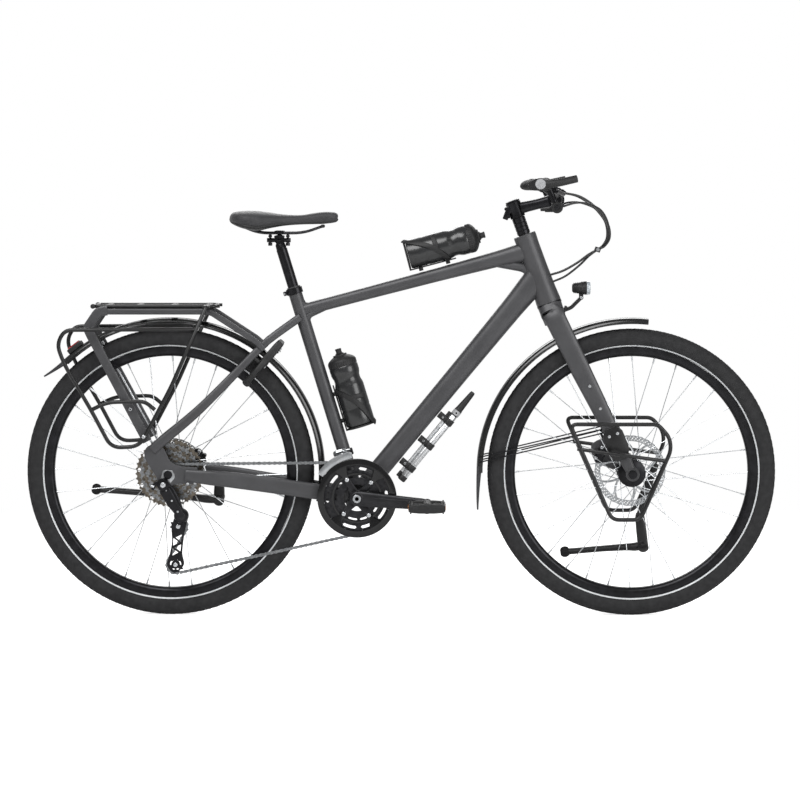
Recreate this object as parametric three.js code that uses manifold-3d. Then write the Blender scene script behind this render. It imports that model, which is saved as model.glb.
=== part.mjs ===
// A touring bicycle with carriers, disc brakes and folding stands, in millimetres.
// +X points forward, +Y to the rider's left and +Z up. The origin is on the ground,
// halfway between the two axles, in the plane that the wheels run in.
import * as THREE from 'three';
import { mergeVertices } from 'three/addons/utils/BufferGeometryUtils.js';
import Module from 'manifold-3d';

const wasm = await Module();
wasm.setup();

const degrees = Math.PI / 180;

// Clearances, the overrun of cutting tools and the distances below which two corners are one.
const fit = { gap: 0.3, running: 1.2, overrun: 5, weld: 0.0005, together: 0.02 };

// Where the axles, the bottom bracket and the steering axis lie.
const layout = {
  wheelRadius: 361,
  wheelbase: 1156,
  bracketReach: 469.5,
  bracketDrop: 60,
  seatTubeLength: 549,
  seatAngle: 73 * degrees,
  headAngle: 70 * degrees,
  forkOffset: 50,
  forkLength: 463,
  rearHubWidth: 142,
  frontHubWidth: 100,
};

// Tyres, rims, spokes and hubs.
const wheel = {
  facets: 32,
  tyreWidth: 50,
  treadWidth: 18,
  shoulderWidth: 40,
  shoulderDrop: 8,
  bellyDrop: 24,
  beadWidth: 26,
  rimRadius: 315,
  rimDepth: 23.5,
  rimWallDepth: 12,
  rimWidth: 28,
  rimBedWidth: 16,
  spokesPerSide: 16,
  spokeCross: 61.875 * degrees,
  spokeRadius: 1.3,
  spokeHeadOffset: 2.9,
  flangeThickness: 9,
  axleRadius: 6,
};
const frontHub = {
  shellRadius: 31,
  shellHalf: 22,
  flangeRadius: 35,
  flangePlace: 24,
  neckRadius: 15,
  rotorSeatRadius: 22,
  rotorPlace: 36,
  spokePhase: 5.625 * degrees,
};
const rearHub = {
  shellRadius: 18,
  flangeRadius: 31,
  flangeRight: 21,
  flangeLeft: 32,
  neckRadius: 15,
  rotorSeatRadius: 22,
  rotorPlace: 54,
  spokePhase: 4.5 * degrees,
};
const rotor = {
  frontRadius: 90,
  rearRadius: 80,
  thickness: 2,
  bandWidth: 15,
  armCount: 5,
  armWidth: 8,
  facets: 20,
};

// The welded frame.
const frame = {
  seatTubeRadius: 17,
  postBore: 27.8,
  postBoreDepth: 270,
  collarRadius: 20.5,
  collarHeight: 16,
  collarRecess: 3,
  bracketShellRadius: 22,
  bracketShellWidth: 73,
  bracketBore: 34,
  headTubeLength: 180,
  headTubeLow: 31,
  headTubeHigh: 28,
  headCupHeight: 8,
  headCupBore: 31,
  headBore: 40,
  topTubeSeatDrop: 63,
  topTubeHeadPlace: 146.6,
  topTubeSeatDepth: 30,
  topTubeHeadDepth: 44,
  topTubeSeatWidth: 28,
  topTubeHeadWidth: 40,
  downTubeHeadPlace: 80,
  downTubeDepth: 50,
  downTubeHeadDepth: 60,
  downTubeWidth: 42,
  downTubeHeadWidth: 48,
  gussetRun: 62,
  stayThickness: 13,
  chainstayDepth: 42,
  chainstayRootDepth: 38,
  seatstayTopDepth: 18,
  seatstayLowDepth: 28,
  dropoutThickness: 8,
  bridgeRadius: 7,
};

// Stations of the stays: shares of the wheel radius forward, to the side and up from the rear axle.
const chainstayShares = [
  [1.265, 0.078, -0.163],
  [1.075, 0.097, -0.137],
  [0.985, 0.108, -0.122],
  [0.499, 0.172, -0.048],
  [0.29, 0.217, -0.022],
  [0.12, 0.216, -0.004],
];
const seatstayShares = [
  [0.905, 0.045, 1.078],
  [0.72, 0.1, 0.945],
  [0.62, 0.118, 0.856],
  [0.222, 0.19, 0.454],
  [-0.06, 0.212, 0.214],
  [-0.108, 0.216, 0.169],
];
const dropoutShares = [
  [0.2, 0.05], [0.2, -0.056], [0.05, -0.062], [0.012, -0.105], [-0.055, -0.1],
  [-0.075, -0.03], [-0.11, 0.03], [-0.16, 0.12], [-0.15, 0.185], [-0.09, 0.21],
  [-0.03, 0.18], [0.02, 0.09], [0.1, 0.058],
];
const hangerShare = [-0.03, -0.065];

// The flat bars behind the seat tube that carry the rack, and the struts that brace them.
const carrier = { beamDepth: 15, beamWidth: 9, strutDepth: 24, strutWidth: 8, crossRadius: 5 };
const carrierBeamShares = [
  [0.657, 0.128, 0.859], [0.609, 0.145, 0.914], [0.294, 0.166, 1.119], [0.235, 0.166, 1.122],
  [-0.435, 0.166, 1.122],
];
const carrierStrutShares = [
  [-0.415, 0.17, 1.128], [-0.475, 0.172, 1.125], [-0.552, 0.175, 1.012], [-0.537, 0.178, 0.975],
  [-0.141, 0.212, 0.23],
];
const carrierCrossShares = [[0.24, 1.122], [-0.41, 1.122]];

// The bottom bracket and the axles.
const bottomBracket = { cupRadius: 21, cupWidth: 5, bore: 26, spindleRadius: 12 };
const axle = { headRadius: 11, headWidth: 7, nutWidth: 6 };

// The black rack: a deck on the carrier beams and a loop down each side for panniers.
const rack = {
  tubeRadius: 5,
  deckThickness: 10,
  deckHalfWidth: 52,
  loopPlace: 95,
  bend: 26,
  footShare: [-0.161, 0.268],
};
const deckShares = { front: 0.325, rear: -0.505, cross: [0.27, 0.03, -0.21, -0.42] };
const loopShares = [
  [0.27, 1.155], [0.028, 0.607], [-0.19, 0.2], [-0.385, 0.19], [-0.515, 0.438], [-0.706, 0.77],
  [-0.752, 0.9], [-0.7, 1], [0.2, 1.006],
];
const archShares = [[-0.518, 0.452], [-0.41, 0.504], [-0.152, 0.511], [-0.083, 0.452]];

// Mudguards, with their stays and the lamp on the rear one.
const guard = {
  clearance: 23,
  thickness: 4,
  width: 52,
  lipDepth: 9,
  rearFrom: -11 * degrees,
  rearTo: 134 * degrees,
  frontFrom: 84 * degrees,
  frontTo: 180 * degrees,
  flapTurn: 10 * degrees,
  frontFlapTurn: 16 * degrees,
  flapOut: 11,
  stayRadius: 2.2,
  stayFootShare: [-0.06, 0.11],
  stayAngle: 118 * degrees,
  tabThickness: 12,
  lampLength: 46,
  lampDepth: 12,
  lampWidth: 34,
};
const rearBridge = { angle: 53.3 * degrees, place: 405, half: 40 };
const lowBridge = { angle: -8.5 * degrees, place: 404, half: 32 };

// Disc brake calipers: a block with a slot for the rotor.
const caliper = {
  length: 52,
  width: 30,
  height: 26,
  slot: 5,
  rearAngle: 24 * degrees,
  frontAngle: 150 * degrees,
};

// The horseshoe lock under the seat stays, centred on a point of the rim's path.
const lock = {
  angle: 49.5 * degrees,
  centre: 337,
  innerRadius: 44,
  outerRadius: 64,
  topHalf: 54,
  topShare: 0.75,
  topReach: 95,
  thickness: 21,
  gapHalfAngle: 38 * degrees,
  pinRadius: 4.2,
  pinBore: 6,
  knobRadius: 4,
  knobReach: 14,
  boltEnd: 4 * degrees,
  boltTo: 34 * degrees,
  boltTurn: 84 * degrees,
  lugPlace: 46,
  lugOut: 22,
  lugReach: 26,
  lugRadius: 5,
};

// The fork: a steerer, a crown and two blades that curve forward to the axle.
const fork = {
  steererRadius: 14.3,
  raceRadius: 30,
  crownDrop: 46,
  crownLength: 54,
  crownWidth: 100,
  bladeThicknesses: [18, 18, 15, 12],
  bladeDepths: [56, 49, 46, 32],
  endRadius: 18,
  tabThickness: 8,
};
const bladeShares = [[-0.53, 0.122, 1.065], [-0.366, 0.128, 0.734], [-0.213, 0.142, 0.432], [0, 0.156, 0]];
const caliperTabShares = [
  [0, -0.03], [-0.16, 0.02], [-0.25, 0.075], [-0.27, 0.17], [-0.2, 0.22], [-0.07, 0.24],
];

// The stem and its spacers, in heights up the steerer and lengths ahead of it.
const stem = {
  spacerRadius: 16.5,
  clampHeight: 40,
  clampFrom: 234,
  clampRadius: 19,
  capThickness: 5,
  extensionWidth: 32,
  extensionDepth: 30,
  barClampWidth: 44,
  barClampRadius: 21,
};

// The handlebar; its bends are shares of its half width ahead of the clamp, sideways and up.
const handlebar = {
  half: 300,
  clampRadius: 15.9,
  clampHalf: 34,
  gripRadius: 11.1,
  height: 243.5,
  ahead: 102.8,
};
const barBendShares = [[0, 0.14, 0], [-0.035, 0.3, 0.075], [-0.1, 0.56, 0.125], [-0.165, 1, 0.128]];
const grip = {
  radius: 15.5,
  fromShare: 0.595,
  wingHalf: 24,
  wingBack: 8,
  hornRadius: 9.5,
};
const hornPoints = [[0, 0, 0], [34, 4, 2], [86, -6, 13]];

// Brake lever brackets on the bar, each with a shifter pod below; places are counted from the
// bar at the bracket: ahead, outwards and up.
const control = {
  placeShare: 0.5,
  clampRadius: 16.5,
  clampWidth: 13,
  armRadius: 8,
  podRadius: 14.5,
  podWidth: 24,
  leverThickness: 8,
  hubRadius: 8,
  pinRadius: 2.6,
  lugThickness: 4,
  triggerThickness: 4,
  triggerLength: 30,
  triggerWidth: 9,
  slotSpace: 10,
};
const leverPivot = { ahead: 34, out: -12, up: -17 };
const podPlace = { ahead: 22, out: 2, up: -52 };
const reservoirSize = { length: 46, width: 20, height: 15, inset: 20 };
const leverShares = { tip: 0.84, ahead: 0.035, knee: 0.35 };

// The carriers beside the front wheel, and the folding leg that one of them holds.
const lowrider = {
  place: 105,
  tubeRadius: 5,
  bend: 18,
  plateThickness: 12,
  platePlaceShare: [-0.115, 0.215],
  platePlace: 67.5,
  plateLength: 52,
  plateHeight: 84,
  sleeveWall: 0.7,
  pegShares: [0.36, 0.6],
};
const lowriderShares = [
  [-0.01, 0.357], [-0.44, 0.357], [-0.15, -0.3], [0.045, -0.3], [0.252, 0.18], [0.24, 0.27],
  [0.161, 0.357], [0.01, 0.357],
];
// The tube's two ends meet in this sleeve.
const lowriderSleeveShares = [[-0.04, 0.357], [0.04, 0.357]];
const lowriderCrossShares = [[-0.39, 0.188], [0.215, 0.105]];
const standBarShares = [[0.197, 0.03], [0.083, -0.33]];

// Folding legs: a pivot, a leg along a direction at rest and a foot.
const stand = {
  legRadius: 8,
  hubRadius: 13,
  hubWidth: 17,
  pinRadius: 4,
  footRadius: 13,
  footWidth: 22,
  cheek: 5,
};
const frontStand = {
  pivotShare: [0.108, -0.548],
  length: 205,
  restShares: [-0.996, 0, -0.087],
  axisShares: [0.0455, -0.8525, -0.521],
};
const rearStand = {
  pivotShare: [0.321, -0.211],
  mountShare: [0.321, -0.085],
  place: 70,
  length: 318,
  restShares: [-0.997, 0, 0.077],
  axisShares: [-0.036, -0.883, -0.468],
};

// The headlight on its bracket ahead of the crown, counted from the crown: ahead and up.
const headlight = {
  pivot: [78, 20],
  bodyLength: 46,
  bodyRadius: 17,
  backRadius: 12,
  rise: 24,
  lugRadius: 5.5,
  lugWidth: 6,
  pinRadius: 2.2,
};

// Cables from the controls into the head tube, held together by a clip.
const cables = { radius: 2.6, sides: 5, clipLength: 12, clipHeight: 14, clipWidth: 30, steps: 6 };
const cableEntry = { height: 72.2, ahead: 34.1 };
// Points ahead of, out from and above the middle of the bar, the last of them at the clip.
const cableRoutes = {
  brake: [[3, -106, 18.5], [5, -98, 18.5], [24, -84, 16], [60, -70, 7], [100, -52, -21],
    [128, -36, -59], [134, -22, -93], [122, -13, -115], [105, -9, -124]],
  shift: [[12, -152, -16], [20, -151, -13], [44, -140, -7], [72, -118, -9], [107, -86, -25],
    [127, -50, -57], [130, -24, -91], [119, -9, -113], [105, -4, -124]],
};
// The way from the clip back to the head tube, as shares of its length and height.
const cableFrameShares = [[1, 1], [0.811, 0.802], [0.595, 0.504], [0.288, 0.174], [0, 0]];
const cableFrameOut = [-6, -7, -8, -8, -7];

const guardStayShare = { fork: [-0.18, 0.288, 0.12], guard: [-1.056, 0.074] };

// Cranks, chainrings and pedals. Places are the distances from the middle plane.
const crank = {
  length: 175,
  pitch: -4.3 * degrees,
  rootPlace: 70,
  endPlace: 82,
  rootDepth: 40,
  endDepth: 30,
  armWidth: 14,
  spiderPlace: 56.5,
  spiderThickness: 4,
  spiderReach: 46,
  spiderWidth: 15,
  boltCircle: 52,
  boltRadius: 5.5,
  pedalAxleRadius: 5,
};
const spiderAngles = [119, 48, -56, -130].map((angle) => angle * degrees);
const rings = {
  bigTeeth: 44,
  pitch: 12.7,
  toothHeight: 3.5,
  smallRadius: 66,
  innerRadius: 47,
  guardRadius: 98,
  guardInner: 84,
  bigPlace: 52,
  smallPlace: 45,
  guardPlace: 60.5,
  thickness: 2.2,
};
const pedal = { place: 136, width: 92, length: 90, height: 26, window: 26, rail: 9, endCap: 8 };

// The cassette: [distance from the middle plane, radius] of each step, outermost first.
const cassetteSteps = {
  places: [66, 64, 61.1, 58.9, 55.5, 52, 47.8, 43.6, 39.4, 35.2, 31, 28.5],
  radii: [22, 19, 25.5, 19, 28.5, 33.5, 38.5, 46, 55.5, 66.5, 84.5],
  bore: 16,
  facets: 12,
};

// The chain: two rows of side plates on rollers, and the sprockets that it runs over.
const chain = {
  plateHeight: 8,
  plateThickness: 1.3,
  halfWidth: 3.6,
  rollerRadius: 3.2,
  cogRadius: 24.5,
  cogPlace: 60,
  pulleyRadius: 22.3,
  arcStep: 26 * degrees,
  rollerStep: 88.9,
};
const mech = {
  pivotShare: [0.089, -0.285],
  guideShare: [0.064, -0.363],
  tensionShare: [0.044, -0.629],
  cagePlateThickness: 2,
  cageHalfGap: 5,
  cageRound: 11,
  pulleyThickness: 2.2,
  pulleyBore: 3.8,
  pinRadius: 3,
  knuckleRadius: 14,
  knuckleWidth: 18,
  linkWidth: 12,
  linkDepth: 26,
  runGap: 9,
};

// The front derailleur: an arched cage round the chain, hung from a clamp on the seat tube.
const frontMech = {
  inner: 101,
  outer: 116,
  from: 97 * degrees,
  to: 148 * degrees,
  plateThickness: 1.6,
  halfGap: 6.4,
  clampPlace: 112,
  clampRadius: 22,
  clampWidth: 16,
};

// The seatpost, the saddle and its rails.
const seat = {
  postRadius: 13.6,
  postInsert: 150,
  postReach: 111,
  clampReach: 123,
  clampBack: 2,
  clampRadius: 12,
  clampWidth: 60,
  yokeWidth: 30,
  yokeThickness: 5,
  railRadius: 3.5,
  railGap: 0.4,
};
// The saddle, in shares of its length from its rear end: half width, top and underside.
const saddle = { length: 269, rear: 123 };
const saddleShares = [
  [0, 0.12, 0.16, 0.09], [0.03, 0.2, 0.185, 0.045], [0.13, 0.283, 0.197, 0], [0.25, 0.285, 0.197, 0],
  [0.36, 0.22, 0.183, 0.03], [0.5, 0.14, 0.164, 0.058], [0.66, 0.098, 0.16, 0.07],
  [0.85, 0.083, 0.185, 0.075],
  [0.96, 0.07, 0.185, 0.085], [1, 0.035, 0.165, 0.1],
];
const railShares = [[0.11, 0.15, 0.06], [0.27, 0.082, -0.008], [0.68, 0.082, -0.008], [0.86, 0.03, 0.055]];

// Drinking bottles, their cages and how far each stands from its tube's middle.
const bottle = { radius: 36.5, height: 183, spout: 8, spoutHeight: 15, facets: 12 };
const bottleShares = [
  [0, 0], [0.92, 0], [1, 0.03], [1, 0.55], [0.9, 0.62], [0.9, 0.68], [1, 0.74], [1, 0.88],
  [0.86, 0.96], [0.5, 1],
];
const cage = { back: 20, thickness: 3.5, band: 16, lip: 6, wall: 2.5, standoff: 6, mouth: 30 };
const cageShares = { band: 0.3, strip: 0.62, mouth: 0.55, base: 0.7, standoffs: [0.12, 0.5] };
const seatBottle = { from: 170, off: 61 };
const topBottle = { from: 296, off: 67 };

// The pump under the down tube, in lengths along the tube from the bottom bracket.
const pump = {
  off: 59,
  from: 99,
  to: 309,
  handleTo: 386,
  barrelRadius: 9.5,
  bore: 6,
  rodRadius: 4.5,
  handleRadius: 10.5,
  capLength: 14,
  rodFrom: 200,
  hoseRadius: 3,
  mounts: [130, 280],
  mountLength: 18,
  mountWidth: 16,
};

const vector = (x, y, z) => new THREE.Vector3(x, y, z);
const sides = [-1, 1];

// Turns a closed geometry into a solid whose faces point outwards.
function solid(geometry) {
  const bare = geometry.clone();
  bare.deleteAttribute('normal');
  bare.deleteAttribute('uv');
  const merged = mergeVertices(bare, fit.weld);
  const corners = Float32Array.from(merged.attributes.position.array);
  const faces = Uint32Array.from(merged.index.array);
  const corner = (i) => new THREE.Vector3().fromArray(corners, 3 * faces[i]);
  let volume = 0;
  for (let i = 0; i < faces.length; i += 3) {
    volume += corner(i).dot(corner(i + 1).cross(corner(i + 2)));
  }
  if (volume < 0) {
    for (let i = 0; i < faces.length; i += 3) {
      [faces[i], faces[i + 1]] = [faces[i + 1], faces[i]];
    }
  }
  return new wasm.Manifold(new wasm.Mesh({ numProp: 3, vertProperties: corners, triVerts: faces }));
}

function join(...parts) {
  return parts.flat().reduce((whole, part) => whole.add(part));
}

function cut(whole, ...tools) {
  return tools.flat().reduce((rest, tool) => rest.subtract(tool), whole);
}

// A solid's surface, with corners that lie together made one and the faces between them left out.
function geometryOf(part) {
  const mesh = part.getMesh();
  const kept = [];
  const places = Array.from({ length: mesh.vertProperties.length / 3 }, (_, i) => {
    const corner = new THREE.Vector3().fromArray(mesh.vertProperties, 3 * i);
    const known = kept.findIndex((other) => other.distanceTo(corner) < fit.together);
    return known < 0 ? kept.push(corner) - 1 : known;
  });
  const faces = [];
  for (let i = 0; i < mesh.triVerts.length; i += 3) {
    const [a, b, c] = [...mesh.triVerts.slice(i, i + 3)].map((corner) => places[corner]);
    if (a !== b && b !== c && c !== a) faces.push(a, b, c);
  }
  const geometry = new THREE.BufferGeometry().setFromPoints(kept);
  geometry.setIndex(faces);
  geometry.computeVertexNormals();
  return geometry;
}

// A skin over rings of points that all have the same count, closed at both ends.
function loft(rings) {
  const count = rings[0].length;
  const points = rings.flat();
  const faces = [];
  for (let r = 0; r + 1 < rings.length; r += 1) {
    for (let i = 0; i < count; i += 1) {
      const a = r * count + i;
      const b = r * count + (i + 1) % count;
      faces.push(a, b, b + count, a, b + count, a + count);
    }
  }
  const last = (rings.length - 1) * count;
  for (let i = 1; i + 1 < count; i += 1) {
    faces.push(0, i + 1, i, last, last + i, last + i + 1);
  }
  const geometry = new THREE.BufferGeometry().setFromPoints(points);
  geometry.setIndex(faces);
  return solid(geometry);
}

// An oval ring round a centre; a power under 1 squares it off.
function oval(centre, across, up, halfAcross, halfUp, count, power = 1) {
  const bend = (value) => Math.sign(value) * Math.abs(value) ** power;
  return Array.from({ length: count }, (_, i) => {
    const angle = 2 * Math.PI * (i + 0.5) / count;
    return centre.clone()
      .addScaledVector(across, halfAcross * bend(Math.cos(angle)))
      .addScaledVector(up, halfUp * bend(Math.sin(angle)));
  });
}

// A bar through stations { at, wide, deep }: wide runs sideways, deep in the bar's own side view.
function bar(stations, count = 8, power = 0.8) {
  const rings = stations.map(({ at, wide, deep }, i) => {
    const before = stations[Math.max(i - 1, 0)].at;
    const after = stations[Math.min(i + 1, stations.length - 1)].at;
    const along = after.clone().sub(before).normalize();
    const up = vector(0, 1, 0).cross(along).normalize();
    const across = along.clone().cross(up);
    return oval(at, across, up, wide / 2, deep / 2, count, power);
  });
  return loft(rings);
}

// A run of straight stretches with rounded corners, sampled closely only where it bends.
class BentRun extends THREE.Curve {
  constructor(corners, bend, bendSteps = 3) {
    super();
    const reachShare = 0.45;
    this.knots = [corners[0]];
    for (let i = 1; i + 1 < corners.length; i += 1) {
      const [before, corner, after] = [corners[i - 1], corners[i], corners[i + 1]];
      const toBefore = corner.distanceTo(before);
      const toAfter = corner.distanceTo(after);
      const reach = Math.min(bend, reachShare * toBefore, reachShare * toAfter);
      const start = corner.clone().lerp(before, reach / toBefore);
      const end = corner.clone().lerp(after, reach / toAfter);
      this.knots.push(...new THREE.QuadraticBezierCurve3(start, corner, end).getPoints(bendSteps));
    }
    this.knots.push(corners[corners.length - 1]);
    this.steps = this.knots.length - 1;
  }

  getPointAt(share) {
    return this.knots[Math.round(share * this.steps)].clone();
  }

  getTangentAt(share) {
    const i = Math.round(share * this.steps);
    const before = this.knots[Math.max(i - 1, 0)];
    const after = this.knots[Math.min(i + 1, this.steps)];
    return after.clone().sub(before).normalize();
  }
}

function roundSection(radius, count) {
  const section = new THREE.Shape();
  for (let i = 0; i < count; i += 1) {
    const angle = 2 * Math.PI * i / count;
    const [x, y] = [radius * Math.cos(angle), radius * Math.sin(angle)];
    if (i === 0) section.moveTo(x, y);
    else section.lineTo(x, y);
  }
  section.closePath();
  return section;
}

// A round rod through corners, which are bent to a radius.
function rod(corners, radius, bend = radius, count = 6, bendSteps = 1) {
  const run = new BentRun(corners, bend, bendSteps);
  const settings = { steps: run.steps, extrudePath: run, bevelEnabled: false };
  return solid(new THREE.ExtrudeGeometry(roundSection(radius, count), settings));
}

// A round or tapered pin from one point to another.
function pin(from, to, radius, count = 12, endRadius = radius) {
  const along = to.clone().sub(from);
  const geometry = new THREE.CylinderGeometry(endRadius, radius, along.length(), count);
  geometry.applyQuaternion(new THREE.Quaternion().setFromUnitVectors(vector(0, 1, 0), along.normalize()));
  geometry.translate(...from.clone().add(to).divideScalar(2).toArray());
  return solid(geometry);
}

// A ring turned about the Y axis from [radius, place along Y] pairs, then moved to its centre.
function turned(profile, centre, facets, phase = 0) {
  const points = profile.map(([radius, y]) => new THREE.Vector2(radius, y));
  const geometry = new THREE.LatheGeometry(points, facets, phase);
  geometry.translate(centre.x, 0, centre.z);
  return solid(geometry);
}

// A flat plate: an outline of [x, z] pairs with its thickness along Y, centred on y.
function plate(outline, thickness, y, holes = []) {
  const shape = new THREE.Shape(outline.map(([x, z]) => new THREE.Vector2(x, z)));
  holes.forEach((hole) => {
    shape.holes.push(new THREE.Path(hole.map(([x, z]) => new THREE.Vector2(x, z))));
  });
  const geometry = new THREE.ExtrudeGeometry(shape, { depth: thickness, bevelEnabled: false });
  geometry.rotateX(Math.PI / 2);
  geometry.translate(0, y + thickness / 2, 0);
  return solid(geometry);
}

// A box with its length along a direction in the side view.
function block(centre, length, width, height, pitch = 0) {
  const geometry = new THREE.BoxGeometry(length, width, height);
  geometry.rotateY(-pitch);
  geometry.translate(centre.x, centre.y, centre.z);
  return solid(geometry);
}

// Points in shares of the wheel radius, counted from an origin.
function placed(origin, [xShare, zShare], y = 0) {
  const size = layout.wheelRadius;
  return vector(origin.x + xShare * size, y, origin.z + zShare * size);
}

function circle(centre, radius, count, from = 0, to = 2 * Math.PI) {
  return Array.from({ length: count }, (_, i) => {
    const angle = from + (to - from) * i / count;
    return [centre.x + radius * Math.cos(angle), centre.z + radius * Math.sin(angle)];
  });
}

const flatOutline = (points) => points.map(({ x, z }) => [x, z]);
const polar = (centre, radius, angle, y = 0) => vector(
  centre.x + radius * Math.cos(angle), y, centre.z + radius * Math.sin(angle));

const bicycle = new THREE.Group();

function add(name, part, finish) {
  const mesh = new THREE.Mesh(geometryOf(part), new THREE.MeshStandardMaterial(finish));
  mesh.name = name;
  bicycle.add(mesh);
}

const finishes = {
  paint: { color: 0x3c3e42, roughness: 0.45, metalness: 0.3 },
  rubber: { color: 0x2b2b2d, roughness: 0.9, metalness: 0 },
  blackMetal: { color: 0x1c1c1e, roughness: 0.45, metalness: 0.6 },
  blackPlastic: { color: 0x222224, roughness: 0.6, metalness: 0 },
  steel: { color: 0xb9bbbe, roughness: 0.3, metalness: 1 },
  darkSteel: { color: 0x8a8175, roughness: 0.35, metalness: 1 },
  bottle: { color: 0x3a3c3f, roughness: 0.4, metalness: 0.1 },
  lens: { color: 0xd8dde0, roughness: 0.1, metalness: 0 },
};

// The places that everything hangs on.
const radius = layout.wheelRadius;
const rearAxle = vector(-layout.wheelbase / 2, 0, radius);
const frontAxle = vector(layout.wheelbase / 2, 0, radius);
const bracket = vector(rearAxle.x + layout.bracketReach, 0, radius - layout.bracketDrop);
const seatUp = vector(-Math.cos(layout.seatAngle), 0, Math.sin(layout.seatAngle));
const seatAhead = vector(Math.sin(layout.seatAngle), 0, Math.cos(layout.seatAngle));
const steerUp = vector(-Math.cos(layout.headAngle), 0, Math.sin(layout.headAngle));
const steerAhead = vector(Math.sin(layout.headAngle), 0, Math.cos(layout.headAngle));
const crown = frontAxle.clone()
  .addScaledVector(steerAhead, -layout.forkOffset)
  .addScaledVector(steerUp, layout.forkLength);
const onSeatTube = (height, ahead = 0, y = 0) => bracket.clone()
  .addScaledVector(seatUp, height).addScaledVector(seatAhead, ahead).setY(y);
const onSteerer = (height, ahead = 0, y = 0) => crown.clone()
  .addScaledVector(steerUp, height).addScaledVector(steerAhead, ahead).setY(y);

// Stations of a bar from shares of the wheel radius, on one side of the bicycle.
function stations(shares, side, wide, deeps) {
  return shares.map(([xShare, yShare, zShare], i) => ({
    at: placed(rearAxle, [xShare, zShare], side * yShare * radius),
    wide,
    deep: Array.isArray(deeps) ? deeps[Math.min(i, deeps.length - 1)] : deeps,
  }));
}

// The stays as they are, or the room that they need with some spare.
function stayBar(shares, side, deeps, spare) {
  return bar(stations(shares, side, frame.stayThickness + 2 * spare, deeps.map((deep) => deep + 2 * spare)));
}
function chainstayBar(side, spare = 0) {
  return stayBar(chainstayShares, side, [frame.chainstayRootDepth, frame.chainstayDepth], spare);
}
function seatstayBar(side, spare = 0) {
  const { seatstayTopDepth, seatstayLowDepth } = frame;
  const middleDepth = (seatstayTopDepth + seatstayLowDepth) / 2;
  return stayBar(seatstayShares, side,
    [seatstayTopDepth, seatstayTopDepth, seatstayTopDepth, middleDepth, seatstayLowDepth], spare);
}

function rearTriangle(side) {
  const chainstay = chainstayBar(side);
  const seatstay = seatstayBar(side);
  const outline = dropoutShares.map((share) => placed(rearAxle, share)).map(({ x, z }) => [x, z]);
  const dropoutPlace = side * (layout.rearHubWidth / 2 + fit.gap + frame.dropoutThickness / 2);
  const dropout = plate(outline, frame.dropoutThickness, dropoutPlace);
  const beam = bar(stations(carrierBeamShares, side, carrier.beamWidth, carrier.beamDepth), 4, 0.01);
  const strut = bar(stations(carrierStrutShares, side, carrier.strutWidth, carrier.strutDepth), 4, 0.5);
  return join(chainstay, seatstay, dropout, beam, strut);
}

// A tube that stands upright in the side view and runs between two widths and depths.
const tube = (from, to, wides, deeps, count = 12) => bar([
  { at: from, wide: wides[0], deep: deeps[0] },
  { at: to, wide: wides[1], deep: deeps[1] },
], count, 0.9);

function crossBar(centre, half, size) {
  return pin(centre.clone().setY(-half), centre.clone().setY(half), size, 6);
}

const seatTop = layout.seatTubeLength;
const headTop = frame.headCupHeight + frame.headTubeLength;
const topTubeSeat = onSeatTube(seatTop - frame.topTubeSeatDrop);
const topTubeHead = onSteerer(frame.topTubeHeadPlace);
const downTubeHead = onSteerer(frame.downTubeHeadPlace);

// The rounded corner between the top tube and the down tube, just behind the head tube.
function headGusset() {
  const alongTop = topTubeSeat.clone().sub(topTubeHead).normalize();
  const alongDown = bracket.clone().sub(downTubeHead).normalize();
  const clear = frame.headTubeLow + frame.gussetRun;
  const start = topTubeHead.clone().addScaledVector(alongTop, clear);
  const end = downTubeHead.clone().addScaledVector(alongDown, clear);
  const corner = topTubeHead.clone().lerp(downTubeHead, 0.5).addScaledVector(alongTop, frame.headTubeLow);
  const curve = new THREE.QuadraticBezierCurve3(start, corner, end);
  const outline = [topTubeHead, ...curve.getPoints(4), downTubeHead];
  return plate(flatOutline(outline), frame.topTubeSeatWidth, 0);
}

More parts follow.
